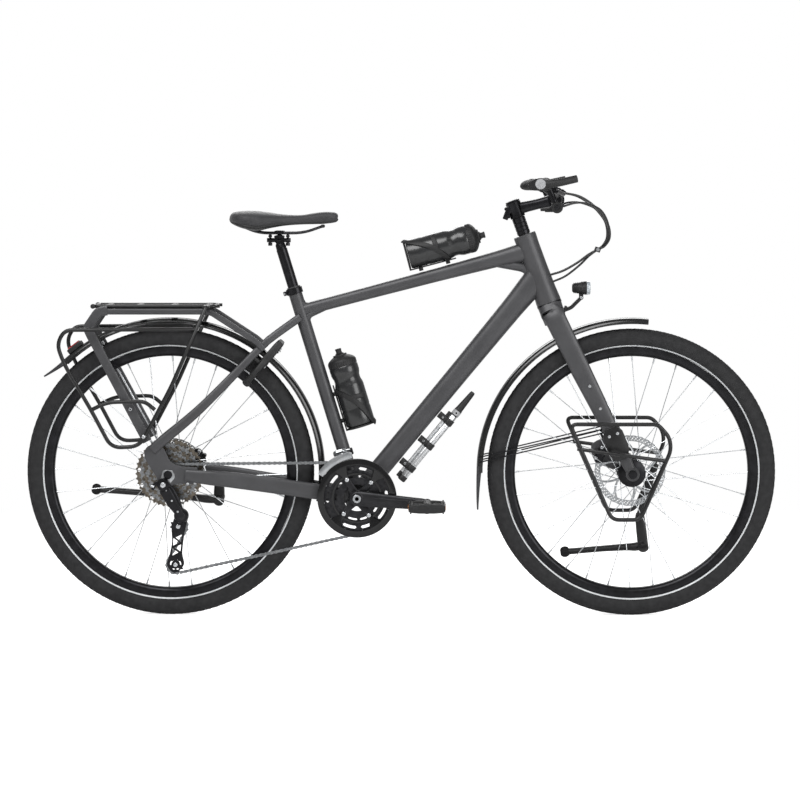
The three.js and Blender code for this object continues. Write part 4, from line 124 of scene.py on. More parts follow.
looks = {
    # powder coat over welded aluminium: satin, with a fine orange peel
    "powderCoat": {
        "shader": {"Metallic": 0.35, "Coat Weight": 0.15, "Coat Roughness": 0.35},
        "drift": {"size": 60, "shades": ("#404042", "#474749")},
        "gloss": {"size": 25, "rough": (0.4, 0.5)},
        "grains": [{"kind": "noise", "size": 1.2, "strength": 0.15, "depth": 0.2}],
    },
    # black anodised aluminium: even, with faint turning marks
    "blackAnodised": {
        "shader": {"Metallic": 0.7},
        "drift": {"size": 18, "shades": ("#1a1a1c", "#242427")},
        "gloss": {"size": 9, "rough": (0.24, 0.36)},
        "grains": [{"kind": "noise", "size": 0.6, "stretch": (1, 6, 1), "strength": 0.12, "depth": 0.1}],
        "wear": {"size": 5, "from": 0.7, "colour": "#3b3b3e"},
    },
    # black powder coat on bent steel or aluminium rod
    "blackCoat": {
        "shader": {"Metallic": 0.1, "Coat Weight": 0.12, "Coat Roughness": 0.3},
        "drift": {"size": 22, "shades": ("#0b0b0c", "#121213")},
        "gloss": {"size": 12, "rough": (0.32, 0.45)},
        "grains": [{"kind": "noise", "size": 0.9, "strength": 0.2, "depth": 0.15}],
        "wear": {"size": 7, "from": 0.72, "colour": "#35353a"},
    },
    # glossy moulded polycarbonate, as on mudguards
    "polycarbonate": {
        "shader": {"Metallic": 0.0, "Coat Weight": 0.35, "Coat Roughness": 0.08},
        "drift": {"size": 30, "shades": ("#0b0b0c", "#101011")},
        "gloss": {"size": 15, "rough": (0.16, 0.26)},
        "grains": [{"kind": "noise", "size": 6, "strength": 0.06, "depth": 0.2}],
        "wear": {"size": 6, "from": 0.74, "colour": "#2c2c2f"},
    },
    # glass filled nylon, matt from a sparked mould
    "mouldedNylon": {
        "shader": {"Metallic": 0.0},
        "drift": {"size": 9, "shades": ("#101011", "#171718")},
        "gloss": {"size": 6, "rough": (0.48, 0.62)},
        "grains": [{"kind": "noise", "size": 0.5, "strength": 0.35, "depth": 0.12}],
    },
    # tyre rubber: dull charcoal, dusty on the tread
    "tyreRubber": {
        "shader": {"Metallic": 0.0, "Specular IOR Level": 0.25},
        "drift": {"size": 14, "shades": ("#242425", "#2c2c2d"), "detail": 6},
        "gloss": {"size": 8, "rough": (0.72, 0.88)},
        "grains": [{"kind": "noise", "size": 0.7, "strength": 0.4, "depth": 0.2},
                   {"kind": "noise", "size": 5, "strength": 0.15, "depth": 0.4}],
    },
    # glass bead tape on the sidewall
    "reflexTape": {
        "shader": {"Metallic": 0.2},
        "drift": {"size": 6, "shades": ("#d6d9dc", "#e7e9ea")},
        "gloss": {"size": 3, "rough": (0.3, 0.45)},
        "grains": [{"kind": "cells", "size": 0.5, "strength": 0.2, "depth": 0.08}],
    },
    # moulded rubber or soft plastic that has greyed in the sun
    "agedRubber": {
        "shader": {"Metallic": 0.0, "Specular IOR Level": 0.35},
        "drift": {"size": 8, "shades": ("#2a2a2c", "#3a3a3d")},
        "gloss": {"size": 6, "rough": (0.5, 0.66)},
        "grains": [{"kind": "noise", "size": 1.1, "strength": 0.3, "depth": 0.2}],
    },
    # soft grip rubber with a fine cross hatch of cells
    "gripRubber": {
        "shader": {"Metallic": 0.0, "Specular IOR Level": 0.3},
        "drift": {"size": 10, "shades": ("#131314", "#1b1b1c")},
        "gloss": {"size": 6, "rough": (0.6, 0.75)},
        "grains": [{"kind": "cells", "size": 1.6, "strength": 0.6, "depth": 0.4}],
    },
    # stainless wire and fittings, drawn and polished
    "stainless": {
        "shader": {"Metallic": 1.0},
        "drift": {"size": 12, "shades": ("#c2c5c8", "#d3d5d7")},
        "gloss": {"size": 5, "rough": (0.2, 0.34)},
        "grains": [{"kind": "noise", "size": 0.5, "strength": 0.12, "depth": 0.06}],
    },
    # ground stainless brake disc
    "groundSteel": {
        "shader": {"Metallic": 1.0, "Anisotropic": 0.4},
        "drift": {"size": 16, "shades": ("#a9acaf", "#bcbec0")},
        "gloss": {"size": 7, "rough": (0.26, 0.42)},
        "grains": [{"kind": "noise", "size": 0.4, "strength": 0.18, "depth": 0.06}],
    },
    # nickel plated chain plates, with oil between them
    "nickelPlate": {
        "shader": {"Metallic": 1.0},
        "drift": {"size": 4, "shades": ("#6f7173", "#9a9c9e")},
        "gloss": {"size": 3, "rough": (0.24, 0.42)},
        "grains": [{"kind": "noise", "size": 0.7, "strength": 0.15, "depth": 0.08}],
        "wear": {"size": 4, "from": 0.62, "colour": "#4c4a47"},
    },
    # sprockets in warm nickel, browned by chain oil; laid on every other sprocket, its darker tone is also
    # painted shade between the sprockets
    "oiledSteelAndShade": {
        "shader": {"Metallic": 1.0},
        "drift": {"size": 7, "shades": ("#5c564e", "#7d766c")},
        "gloss": {"size": 4, "rough": (0.26, 0.44)},
        "grains": [{"kind": "noise", "size": 0.8, "strength": 0.2, "depth": 0.08}],
        "wear": {"size": 5, "from": 0.64, "colour": "#3d3934"},
    },
    # black polycarbonate chain guard, with a little shine
    "glossGuard": {
        "shader": {"Metallic": 0.0, "Coat Weight": 0.3, "Coat Roughness": 0.06, "Specular IOR Level": 0.3},
        "drift": {"size": 24, "shades": ("#0b0b0c", "#101011")},
        "gloss": {"size": 12, "rough": (0.14, 0.24)},
        "grains": [{"kind": "noise", "size": 4, "strength": 0.06, "depth": 0.15}],
        "wear": {"size": 4, "from": 0.73, "colour": "#2b2b2d"},
    },
    # hardened steel ring, blackened, its teeth shining through
    "ringSteel": {
        "shader": {"Metallic": 0.9},
        "drift": {"size": 8, "shades": ("#2c2c2e", "#3a3a3c")},
        "gloss": {"size": 4, "rough": (0.3, 0.45)},
        "grains": [{"kind": "noise", "size": 0.7, "strength": 0.2, "depth": 0.08}],
        "wear": {"size": 5, "from": 0.66, "colour": "#8a8a88"},
    },
    # forged aluminium crank, anodised dark grey
    "crankAlloy": {
        "shader": {"Metallic": 0.75},
        "drift": {"size": 26, "shades": ("#29292b", "#333335")},
        "gloss": {"size": 10, "rough": (0.32, 0.44)},
        "grains": [{"kind": "noise", "size": 0.7, "strength": 0.14, "depth": 0.1}],
        "wear": {"size": 6, "from": 0.7, "colour": "#57575a"},
    },
    # squeezed polyethylene bottle, smoky and waxy
    "bottlePlastic": {
        "shader": {"Metallic": 0.0, "Coat Weight": 0.4, "Coat Roughness": 0.15, "Subsurface Weight": 0.0},
        "drift": {"size": 25, "shades": ("#131415", "#1b1c1e")},
        "gloss": {"size": 14, "rough": (0.24, 0.36)},
        "grains": [{"kind": "noise", "size": 3, "strength": 0.12, "depth": 0.2}],
    },
    # synthetic leather over foam: pebbled, with a soft sheen
    "saddleCover": {
        "shader": {"Metallic": 0.0, "Sheen Weight": 0.15, "Sheen Roughness": 0.5, "Specular IOR Level": 0.4},
        "drift": {"size": 20, "shades": ("#2b2b2d", "#343436")},
        "gloss": {"size": 10, "rough": (0.5, 0.64)},
        "grains": [{"kind": "cells", "size": 1.1, "strength": 0.5, "depth": 0.25},
                   {"kind": "noise", "size": 9, "strength": 0.12, "depth": 0.6}],
    },
    # extruded black sleeve over a hose or cable, slick from handling
    "hoseCover": {
        "shader": {"Metallic": 0.0, "Coat Weight": 0.2, "Coat Roughness": 0.2},
        "drift": {"size": 20, "shades": ("#0e0e0f", "#151516")},
        "gloss": {"size": 8, "rough": (0.34, 0.48)},
        "grains": [{"kind": "noise", "size": 0.8, "strength": 0.15, "depth": 0.1}],
    },
    # blackened steel screws, bright where a key has turned them
    "blackSteel": {
        "shader": {"Metallic": 0.9},
        "drift": {"size": 3, "shades": ("#2b2b2d", "#3e3e40")},
        "gloss": {"size": 2, "rough": (0.28, 0.42)},
        "grains": [{"kind": "noise", "size": 0.5, "strength": 0.15, "depth": 0.06}],
        "wear": {"size": 2.5, "from": 0.62, "colour": "#8c8c8a"},
    },
    # pale grey moulded plastic
    "paleCap": {
        "shader": {"Metallic": 0.0},
        "drift": {"size": 6, "shades": ("#929395", "#a4a5a7")},
        "gloss": {"size": 4, "rough": (0.38, 0.5)},
        "grains": [{"kind": "noise", "size": 0.5, "strength": 0.2, "depth": 0.08}],
    },
    # drawn aluminium tube, clear anodised
    "brushedSilver": {
        "shader": {"Metallic": 0.9, "Anisotropic": 0.3},
        "drift": {"size": 10, "shades": ("#c3c5c7", "#d8d9da")},
        "gloss": {"size": 6, "rough": (0.28, 0.4)},
        "grains": [{"kind": "noise", "size": 0.5, "stretch": (1, 8, 1), "strength": 0.15, "depth": 0.06}],
    },
    # clear lens over a faceted mirror
    "lampLens": {
        "shader": {"Metallic": 0.0, "Coat Weight": 1.0, "Coat Roughness": 0.03},
        "drift": {"size": 4, "shades": ("#8e969b", "#c3cacf")},
        "gloss": {"size": 3, "rough": (0.06, 0.14)},
        "grains": [{"kind": "cells", "size": 3.5, "strength": 0.4, "depth": 0.5}],
    },
    # prismatic amber and red reflectors
    "amberReflector": {
        "shader": {"Metallic": 0.0, "Coat Weight": 1.0, "Coat Roughness": 0.05},
        "drift": {"size": 3, "shades": ("#c96a12", "#e8902a")},
        "gloss": {"size": 3, "rough": (0.15, 0.25)},
        "grains": [{"kind": "cells", "size": 2, "strength": 0.6, "depth": 0.4}],
    },
    "redReflector": {
        "shader": {"Metallic": 0.0, "Coat Weight": 1.0, "Coat Roughness": 0.05},
        "drift": {"size": 3, "shades": ("#8e0f12", "#b41c1e")},
        "gloss": {"size": 3, "rough": (0.15, 0.25)},
        "grains": [{"kind": "cells", "size": 2.2, "strength": 0.6, "depth": 0.4}],
    },
}
finishes = {name: makeFinish(name, look) for name, look in looks.items()}
print("materials made")


# Hands a finished bmesh over: its place is in its mesh, it rides on a body and stands for nodes.
def makePiece(bm, name, finishNames, body, replaces=(), sharpAngle=40):
    mesh = bpy.data.meshes.new(name)
    bm.to_mesh(mesh)
    bm.free()
    return meshPiece(mesh, name, finishNames, body, replaces, sharpAngle)


def meshPiece(mesh, name, finishNames, body, replaces=(), sharpAngle=40):
    for polygon in mesh.polygons:
        polygon.use_smooth = True
    mesh.set_sharp_from_angle(angle=math.radians(sharpAngle))
    names = [finishNames] if isinstance(finishNames, str) else finishNames
    for finishName in names:
        mesh.materials.append(finishes[finishName])
    piece = bpy.data.objects.new(name, mesh)
    bpy.context.scene.collection.objects.link(piece)
    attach(piece, body)
    if replaces:
        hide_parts(*([replaces] if isinstance(replaces, str) else replaces))
    return piece


# The turn that carries the Z axis onto a direction, then moves the origin to a place.
def facing(place, direction, across=None):
    along = direction.normalized()
    if across is None:
        return Matrix.Translation(place) @ along.to_track_quat("Z", "Y").to_matrix().to_4x4()
    side = (across - along * across.dot(along)).normalized()
    up = along.cross(side)
    turn = Matrix((side, up, along)).transposed().to_4x4()
    return Matrix.Translation(place) @ turn


# Adds what was made in a bmesh of its own, with its faces' finish.
def join(bm, part, materialIndex=None):
    if materialIndex is not None:
        for face in part.faces:
            face.material_index = materialIndex
    mesh = bpy.data.meshes.new("part")
    part.to_mesh(mesh)
    part.free()
    bm.from_mesh(mesh)
    bpy.data.meshes.remove(mesh)


# A round form turned from [radius, height] pairs about a line; a closed profile makes a ring.
def addTurned(bm, profile, place, direction, steps=48, closed=False, materialIndex=0):
    part = bmesh.new()
    corners = [part.verts.new((r * mm, 0, height * mm)) for r, height in profile]
    pairs = list(zip(corners, corners[1:])) + ([(corners[-1], corners[0])] if closed else [])
    edges = [part.edges.new(pair) for pair in pairs]
    bmesh.ops.spin(part, geom=corners + edges, cent=(0, 0, 0), axis=(0, 0, 1), angle=2 * math.pi, steps=steps,
                   use_merge=True)
    bmesh.ops.remove_doubles(part, verts=part.verts, dist=0.001 * mm)
    bmesh.ops.recalc_face_normals(part, faces=part.faces)
    bmesh.ops.transform(part, matrix=facing(place, direction), verts=part.verts)
    join(bm, part, materialIndex)


# A pin with eased ends between two places.
def addPin(bm, start, end, radius, endRadius=None, steps=16, ease=0.4, materialIndex=0):
    length = (end - start).length / mm
    endRadius = radius if endRadius is None else endRadius
    ease = min(ease, 0.45 * length, 0.9 * radius, 0.9 * endRadius)
    profile = [(0, 0), (radius - ease, 0), (radius, ease), (endRadius, length - ease),
               (endRadius - ease, length), (0, length)]
    addTurned(bm, profile, start, end - start, steps, materialIndex=materialIndex)


# The middle line of a bent rod: straight stretches with rounded corners.
def bentLine(corners, bend, steps=6):
    line = [corners[0]]
    for before, corner, after in zip(corners, corners[1:], corners[2:]):
        toBefore, toAfter = before - corner, after - corner
        reach = min(bend * mm, 0.48 * toBefore.length, 0.48 * toAfter.length)
        start, end = corner + toBefore.normalized() * reach, corner + toAfter.normalized() * reach
        for step in range(steps + 1):
            share = step / steps
            line.append((1 - share) ** 2 * start + 2 * share * (1 - share) * corner + share ** 2 * end)
    line.append(corners[-1])
    return line


# A smooth line through points.
def smoothLine(points, steps=8):
    padded = [2 * points[0] - points[1]] + list(points) + [2 * points[-1] - points[-2]]
    line = []
    for a, b, c, d in zip(padded, padded[1:], padded[2:], padded[3:]):
        for step in range(steps):
            t = step / steps
            line.append(0.5 * ((2 * b) + (c - a) * t + (2 * a - 5 * b + 4 * c - d) * t ** 2
                               + (3 * b - a - 3 * c + d) * t ** 3))
    line.append(points[-1])
    return line


# A skin drawn along a line: a ring of corners that is carried from place to place and closed at both ends.
# Each station gives its place, its half widths sideways and upwards in mm, and the way sideways.
def addSkin(bm, stations, sides=16, square=1.0, materialIndex=0, closed=False):
    part = bmesh.new()
    ring = bmesh.ops.create_circle(part, cap_ends=False, radius=1, segments=sides)["verts"]
    for corner in ring:
        for axis in (0, 1):
            corner.co[axis] = math.copysign(abs(corner.co[axis]) ** square, corner.co[axis])
    edges = part.edges[:]
    count = len(stations)
    previous = Matrix.Identity(4)
    for i, (place, halfWide, halfUp, sideways) in enumerate(stations):
        if closed:
            way = stations[(i + 1) % count][0] - stations[i - 1][0]
        else:
            way = stations[min(i + 1, count - 1)][0] - stations[max(i - 1, 0)][0]
        shape = facing(place, way, sideways) @ Matrix.Diagonal((halfWide * mm, halfUp * mm, 1, 1))
        if i:
            grown = bmesh.ops.extrude_edge_only(part, edges=edges)["geom"]
            edges = [item for item in grown if isinstance(item, bmesh.types.BMEdge)]
            ring = [item for item in grown if isinstance(item, bmesh.types.BMVert)]
        bmesh.ops.transform(part, matrix=shape @ previous.inverted(), verts=ring)
        previous = shape
    openEdges = [edge for edge in part.edges if edge.is_boundary]
    if closed:
        bmesh.ops.bridge_loops(part, edges=openEdges)
    else:
        bmesh.ops.holes_fill(part, edges=openEdges)
    bmesh.ops.recalc_face_normals(part, faces=part.faces)
    join(bm, part, materialIndex)


# A round rod along a line, its ends eased.
def addRod(bm, line, radius, steps=12, materialIndex=0, ease=0.5, sideways=None):
    side = sideways
    if side is None:
        way = (line[-1] - line[0]).normalized()
        side = outward if abs(way.dot(outward)) < 0.9 else ahead
    first, last = (line[1] - line[0]).normalized(), (line[-1] - line[-2]).normalized()
    ease = min(ease, radius * 0.5)
    stations = [(line[0], radius - ease, radius - ease, side),
                (line[0] + first * ease * mm, radius, radius, side)]
    stations += [(point, radius, radius, side) for point in line[1:-1]]
    stations += [(line[-1] - last * ease * mm, radius, radius, side),
                 (line[-1], radius - ease, radius - ease, side)]
    addSkin(bm, stations, steps, materialIndex=materialIndex)


# A flat plate from an outline of places, with holes, given thickness along a direction on both sides of it.
def addPlate(bm, outline, thickness, direction, holes=(), materialIndex=0, ease=0.0):
    part = bmesh.new()
    edges = []
    for loop in (outline, *holes):
        corners = [part.verts.new(place - direction * (0.5 * thickness * mm)) for place in loop]
        edges += [part.edges.new(pair) for pair in zip(corners, corners[1:] + corners[:1])]
    if holes:
        bmesh.ops.triangle_fill(part, edges=edges, use_beauty=True, normal=direction)
    else:
        bmesh.ops.contextual_create(part, geom=edges)
    grown = bmesh.ops.extrude_face_region(part, geom=part.faces[:], use_keep_orig=True)["geom"]
    moved = [item for item in grown if isinstance(item, bmesh.types.BMVert)]
    bmesh.ops.translate(part, vec=direction * (thickness * mm), verts=moved)
    bmesh.ops.recalc_face_normals(part, faces=part.faces)
    if ease:
        rims = [edge for edge in part.edges if edge.calc_face_angle(0) > math.radians(60)]
        bmesh.ops.bevel(part, geom=rims, offset=ease * mm, segments=2, profile=0.5, affect="EDGES",
                        material=-1)
    join(bm, part, materialIndex)


def addBlock(bm, place, size, turn=None, ease=0.0, materialIndex=0):
    part = bmesh.new()
    bmesh.ops.create_cube(part, size=1)
    shape = Matrix.Translation(place) @ (turn or Matrix.Identity(4)) @ Matrix.Diagonal(
        (size[0] * mm, size[1] * mm, size[2] * mm, 1))
    bmesh.ops.transform(part, matrix=shape, verts=part.verts)
    if ease:
        bmesh.ops.bevel(part, geom=part.edges[:], offset=ease * mm, segments=2, profile=0.5, affect="EDGES",
                        material=-1)
    join(bm, part, materialIndex)


def circlePoints(centre, radius, count, sideA, sideB, fromAngle=0.0, toAngle=2 * math.pi, closed=True):
    last = count if closed else count - 1
    return [centre + (sideA * math.cos(fromAngle + (toAngle - fromAngle) * i / last)
                      + sideB * math.sin(fromAngle + (toAngle - fromAngle) * i / last)) * (radius * mm)
            for i in range(count)]


# Turns in the side view, where a positive pitch lifts the front.
def pitched(angle):
    return Matrix.Rotation(-angle, 4, "Y")


def point(x, y, z):
    return Vector((x, y, z)) * mm


# The places that everything hangs on, in millimetres as in the record's frame.
wheelRadius = 361
rearAxle, frontAxle = point(-578, 0, wheelRadius), point(578, 0, wheelRadius)
bracket = point(-108.5, 0, 301)
seatAngle, headAngle = math.radians(73), math.radians(70)
seatUp = Vector((-math.cos(seatAngle), 0, math.sin(seatAngle)))
seatAhead = Vector((math.sin(seatAngle), 0, math.cos(seatAngle)))
steerUp = Vector((-math.cos(headAngle), 0, math.sin(headAngle)))
steerAhead = Vector((math.sin(headAngle), 0, math.cos(headAngle)))
crown = frontAxle + (steerUp * 463 - steerAhead * 50) * mm


def onSeatTube(height, off=0, y=0):
    place = bracket + (seatUp * height + seatAhead * off) * mm
    place.y = y * mm
    return place


def onSteerer(height, off=0, y=0):
    place = crown + (steerUp * height + steerAhead * off) * mm
    place.y = y * mm
    return place


def byShare(origin, xShare, zShare, y=0):
    return Vector((origin.x + xShare * wheelRadius * mm, y * mm, origin.z + zShare * wheelRadius * mm))


def polar(origin, radius, angle, y=0):
    return Vector((origin.x + radius * mm * math.cos(angle), y * mm,
                   origin.z + radius * mm * math.sin(angle)))


# The camera where the photograph was taken from, a pale floor and soft lamps.
studio = {"camera": (0.073, -7.0, 1.075), "aim": (-0.002, 0, 0.542), "lens": 126,
          "floor": "#f4f4f4", "floorGlow": 0.66, "worldStrength": 0.34, "keyPower": 190, "fillPower": 85,
          "rimPower": 90}
camera = bpy.data.objects.new("camera", bpy.data.cameras.new("camera"))
bpy.context.scene.collection.objects.link(camera)
camera.data.lens = studio["lens"]
camera.data.sensor_width = 36
camera.location = studio["camera"]
camera.rotation_euler = (Vector(studio["aim"]) - camera.location).to_track_quat("-Z", "Y").to_euler()
bpy.context.scene.camera = camera
bpy.context.scene.view_settings.view_transform = "Standard"


def makeFloor():
    bm = bmesh.new()
    bmesh.ops.create_grid(bm, x_segments=1, y_segments=1, size=30)
    mesh = bpy.data.meshes.new("floor")
    bm.to_mesh(mesh)
    bm.free()
    floor = bpy.data.objects.new("floor", mesh)
    bpy.context.scene.collection.objects.link(floor)
    material = bpy.data.materials.new("palePaper")
    material.use_nodes = True
    tree = material.node_tree
    tree.nodes.clear()
    matt = addNode(tree, "ShaderNodeBsdfDiffuse", {"Color": linear(studio["floor"])})
    glow = addNode(tree, "ShaderNodeEmission", {"Color": (1, 1, 1, 1), "Strength": studio["floorGlow"]})
    both = addNode(tree, "ShaderNodeAddShader")
    tree.links.new(matt.outputs["BSDF"], both.inputs[0])
    tree.links.new(glow.outputs["Emission"], both.inputs[1])
    # far from the object the floor is as white as the backdrop, so that no horizon shows
    white = addNode(tree, "ShaderNodeEmission", {"Color": (1, 1, 1, 1), "Strength": 1.0})
    place = addNode(tree, "ShaderNodeTexCoord")
    reach = addNode(tree, "ShaderNodeVectorMath", {"operation": "LENGTH"})
    tree.links.new(place.outputs["Object"], reach.inputs[0])
    fade = addNode(tree, "ShaderNodeMapRange", {"From Min": 1.3, "From Max": 2.6},
                   {"Value": reach.outputs["Value"]})
    shaded = addNode(tree, "ShaderNodeMixShader", links={"Fac": fade.outputs["Result"]})
    tree.links.new(both.outputs["Shader"], shaded.inputs[1])
    tree.links.new(white.outputs["Emission"], shaded.inputs[2])
    ray = addNode(tree, "ShaderNodeLightPath")
    choice = addNode(tree, "ShaderNodeMixShader", links={"Fac": ray.outputs["Is Camera Ray"]})
    tree.links.new(matt.outputs["BSDF"], choice.inputs[1])
    tree.links.new(shaded.outputs["Shader"], choice.inputs[2])
    addNode(tree, "ShaderNodeOutputMaterial", links={"Surface": choice.outputs["Shader"]})
    mesh.materials.append(material)


def makeWorld():
    world = bpy.data.worlds.new("studio")
    bpy.context.scene.world = world
    world.use_nodes = True
    tree = world.node_tree
    tree.nodes.clear()
    ray = addNode(tree, "ShaderNodeLightPath")
    soft = addNode(tree, "ShaderNodeBackground", {"Color": (1, 1, 1, 1), "Strength": studio["worldStrength"]})
    white = addNode(tree, "ShaderNodeBackground", {"Color": (1, 1, 1, 1), "Strength": 1.0})
    choice = addNode(tree, "ShaderNodeMixShader", links={"Fac": ray.outputs["Is Camera Ray"]})
    tree.links.new(soft.outputs["Background"], choice.inputs[1])
    tree.links.new(white.outputs["Background"], choice.inputs[2])
    addNode(tree, "ShaderNodeOutputWorld", links={"Surface": choice.outputs["Shader"]})


def makeLamp(name, place, aim, size, power):
    lamp = bpy.data.objects.new(name, bpy.data.lights.new(name, "AREA"))
    bpy.context.scene.collection.objects.link(lamp)
    lamp.data.shape = "RECTANGLE"
    lamp.data.size, lamp.data.size_y = size
    lamp.data.energy = power
    lamp.location = place
    lamp.rotation_euler = (Vector(aim) - lamp.location).to_track_quat("-Z", "Y").to_euler()


makeFloor()
makeWorld()
makeLamp("key", (-1.5, -3.2, 4.2), (0, 0, 0.5), (4, 2.5), studio["keyPower"])
makeLamp("fill", (3.2, -3.0, 1.8), (0, 0, 0.5), (2.5, 2.5), studio["fillPower"])
makeLamp("back", (0, 3.6, 2.8), (0, 0, 0.6), (4, 2), studio["rimPower"])
print("studio set")


# Hoses and cables. Points are ahead of, out from and above the middle of the bar. The last one is in the
# clip, from where a leg runs on to the head tube.
barCentre = onSteerer(243.5, 102.8)
cordLook = {
    "diameter": 5.2, "clip": (12, 30, 14),
    "brake": ((3, 106, 18.5), (5, 98, 18.5), (24, 84, 16), (60, 70, 7), (100, 52, -21), (128, 36, -59),
              (134, 22, -93), (122, 13, -115), (105, 9, -124)),
    "shift": ((12, 152, -16), (20, 151, -13), (44, 140, -7), (72, 118, -9), (107, 86, -25), (127, 50, -57),
              (130, 24, -91), (119, 9, -113), (105, 4, -124)),
    "legShares": ((0.811, 0.802), (0.595, 0.504), (0.288, 0.174), (0, 0)),
    "brakeLeg": {"entry": (72.2, 25), "out": (8.6, 9, 9, 8)},
    "shiftLeg": {"entry": (54, 25), "out": (3.2, 3, 3, 3.4)},
}


def makeCord(kind, side, name):
    look = cordLook
    route = [barCentre + Vector((reach, side * out, rise)) * mm for reach, out, rise in look[kind]]
    leg = look[kind + "Leg"]
    entry, clipAt = onSteerer(*leg["entry"]), route[-1]
    for (alongShare, upShare), out in zip(look["legShares"], leg["out"]):
        route.append(Vector((entry.x + alongShare * (clipAt.x - entry.x), side * out * mm,
                             entry.z + upShare * (clipAt.z - entry.z))))
    line = smoothLine(route, 5)
    bm = bmesh.new()
    radius = look["diameter"] / 2
    addSkin(bm, [(place, radius, radius, Vector((-0.5, -0.8 * side, 0.33))) for place in line], 12)
    cord = makePiece(bm, name, "hoseCover", "steering_unit", "control_cables", 50)


def makeCableClip():
    bm = bmesh.new()
    place = barCentre + Vector((105, 0, -124)) * mm
    turn = pitched(headAngle)
    addBlock(bm, place, cordLook["clip"], turn, 1.6, 0)
    for side in (-1, 1):
        addPin(bm, place + outward * side * 14 * mm, place + outward * side * 16 * mm, 4.4, steps=14,
               materialIndex=1)
    makePiece(bm, "cableClip", ["mouldedNylon", "stainless"], "steering_unit", "control_cables", 40)


for side, word in ((-1, "Right"), (1, "Left")):
    makeCord("brake", side, "brakeHose" + word)
    makeCord("shift", side, "shiftCable" + word)
makeCableClip()
print("hoses and cables laid")


# The tyre's section from the bead to the crown, and where its reflective band lies.
tyreShape = {"half": [(315.4, 12.8), (316.6, 15.6), (319.9, 18.9), (324, 21.8), (331, 24.2), (338, 24.8),
                      (345, 23.4), (350, 20.8), (354, 17.2), (357, 12.8), (358.6, 8), (358.9, 2.4),
                      (357.8, 1.6)],
             "inside": [(316.8, 11.5), (321, 17), (334, 21.5), (349, 15), (354.6, 0)],
             "steps": 180, "sectors": 60, "stripe": (316.6, 319.9)}


def knobDrop(y):
    return 2.2 * (y / 12.8) ** 2 if abs(y) < 12.8 else 2.2 + (abs(y) - 12.8) * 0.85


# One knob of the tread: a low tapered block on the crown or the shoulder.
def addKnob(bm, centre, angle, y, size, turn):
    out = Vector((math.cos(angle), 0, math.sin(angle)))
    lean = math.atan2(y, 26)
    normal = out * math.cos(lean) + outward * math.sin(lean)
    place = polar(centre, wheelRadius - 0.35 - knobDrop(y), angle, y) - normal * (0.5 * size[2] * mm)
    made = bmesh.ops.create_cube(bm, size=1)["verts"]
    for corner in made:
        taper = 0.8 if corner.co.z > 0 else 1.0
        corner.co = Vector((corner.co.x * size[0] * taper, corner.co.y * size[1] * taper,
                            corner.co.z * size[2])) * mm
    shape = facing(place, normal, outward) @ Matrix.Rotation(turn, 4, "Z")
    bmesh.ops.transform(bm, matrix=shape, verts=made)


def makeTyre(name, centre, body, node):
    bm = bmesh.new()
    half = tyreShape["half"]
    inside = tyreShape["inside"]
    profile = half + [(r, -y) for r, y in reversed(half)] + [(r, -y) for r, y in inside] + inside[-2::-1]
    addTurned(bm, profile, centre, outward, tyreShape["steps"], closed=True)
    low, high = tyreShape["stripe"]
    for face in bm.faces:
        middle = face.calc_center_median() - centre
        if low < math.hypot(middle.x, middle.z) / mm < high and abs(middle.y) > 15 * mm:
            face.material_index = 1
    tread = bmesh.new()
    step = 2 * math.pi / tyreShape["sectors"]
    for side in (-1, 1):
        stagger = 0.25 * (side > 0)
        for part in (0, 0.5):
            addKnob(tread, centre, (part + stagger) * step, side * 5.2, (4.6, 13, 2), side * 0.35)
            addKnob(tread, centre, (part + 0.25 - stagger) * step, side * 11.4, (5, 11, 2), side * -0.3)
            addKnob(tread, centre, (part + 0.1) * step, side * 17.2, (4.4, 9, 1.6), side * 0.2)
    bmesh.ops.spin(tread, geom=tread.verts[:] + tread.edges[:] + tread.faces[:], cent=centre, axis=outward,
                   angle=2 * math.pi - step, steps=tyreShape["sectors"] - 1, use_duplicate=True)
    join(bm, tread, 0)
    return makePiece(bm, name, ["tyreRubber", "reflexTape"], body, node, 35)


# A hollow section rim with a hooked edge, and a spot face for each nipple.
def makeRim(name, centre, body, node):
    bm = bmesh.new()
    half = [(314.6, 11.2), (315, 12.6), (314.8, 13.9), (303, 13.9), (299, 13.3), (294.6, 10.2), (292.2, 7.2),
            (291.6, 4)]
    profile = half + [(r, -y) for r, y in reversed(half)] + [(309.5, -11.4), (308.4, 0), (309.5, 11.4)]
    addTurned(bm, profile, centre, outward, 180, closed=True)
    return makePiece(bm, name, "blackAnodised", body, node, 30)


# Round spokes crossing each other, each with a bent head in its flange and a nipple in the rim.
def addSpokes(bm, centre, flangeY, flangeRadius, parity, phase):
    for i in range(16):
        lean = -1 if (i + parity) % 2 else 1
        angle = phase + i * math.pi / 8
        start = polar(centre, flangeRadius - 5.2, angle, flangeY + lean * 4.2)
        end = polar(centre, 291.5, angle + lean * math.radians(61.875), lean * 1.3 * parity)
        way = (end - start).normalized()
        addPin(bm, start, end - way * 11 * mm, 1.05, steps=8, ease=0.2, materialIndex=1)
        addPin(bm, end - way * 13 * mm, end + way * 0.4 * mm, 1.9, 2.3, steps=8, ease=0.3, materialIndex=1)
        addPin(bm, start - outward * (lean * 6.2 * mm), start + outward * (lean * 0.9 * mm), 1.5, steps=8,
               ease=0.4, materialIndex=1)


def makeHub(name, centre, body, node, profile, flanges, phase):
    bm = bmesh.new()
    addTurned(bm, profile, centre, outward, 64, closed=True)
    for i, (y, r) in enumerate(flanges):
        addSpokes(bm, centre, y, r, i, phase)
    return makePiece(bm, name, ["blackAnodised", "stainless"], body, node, 32)


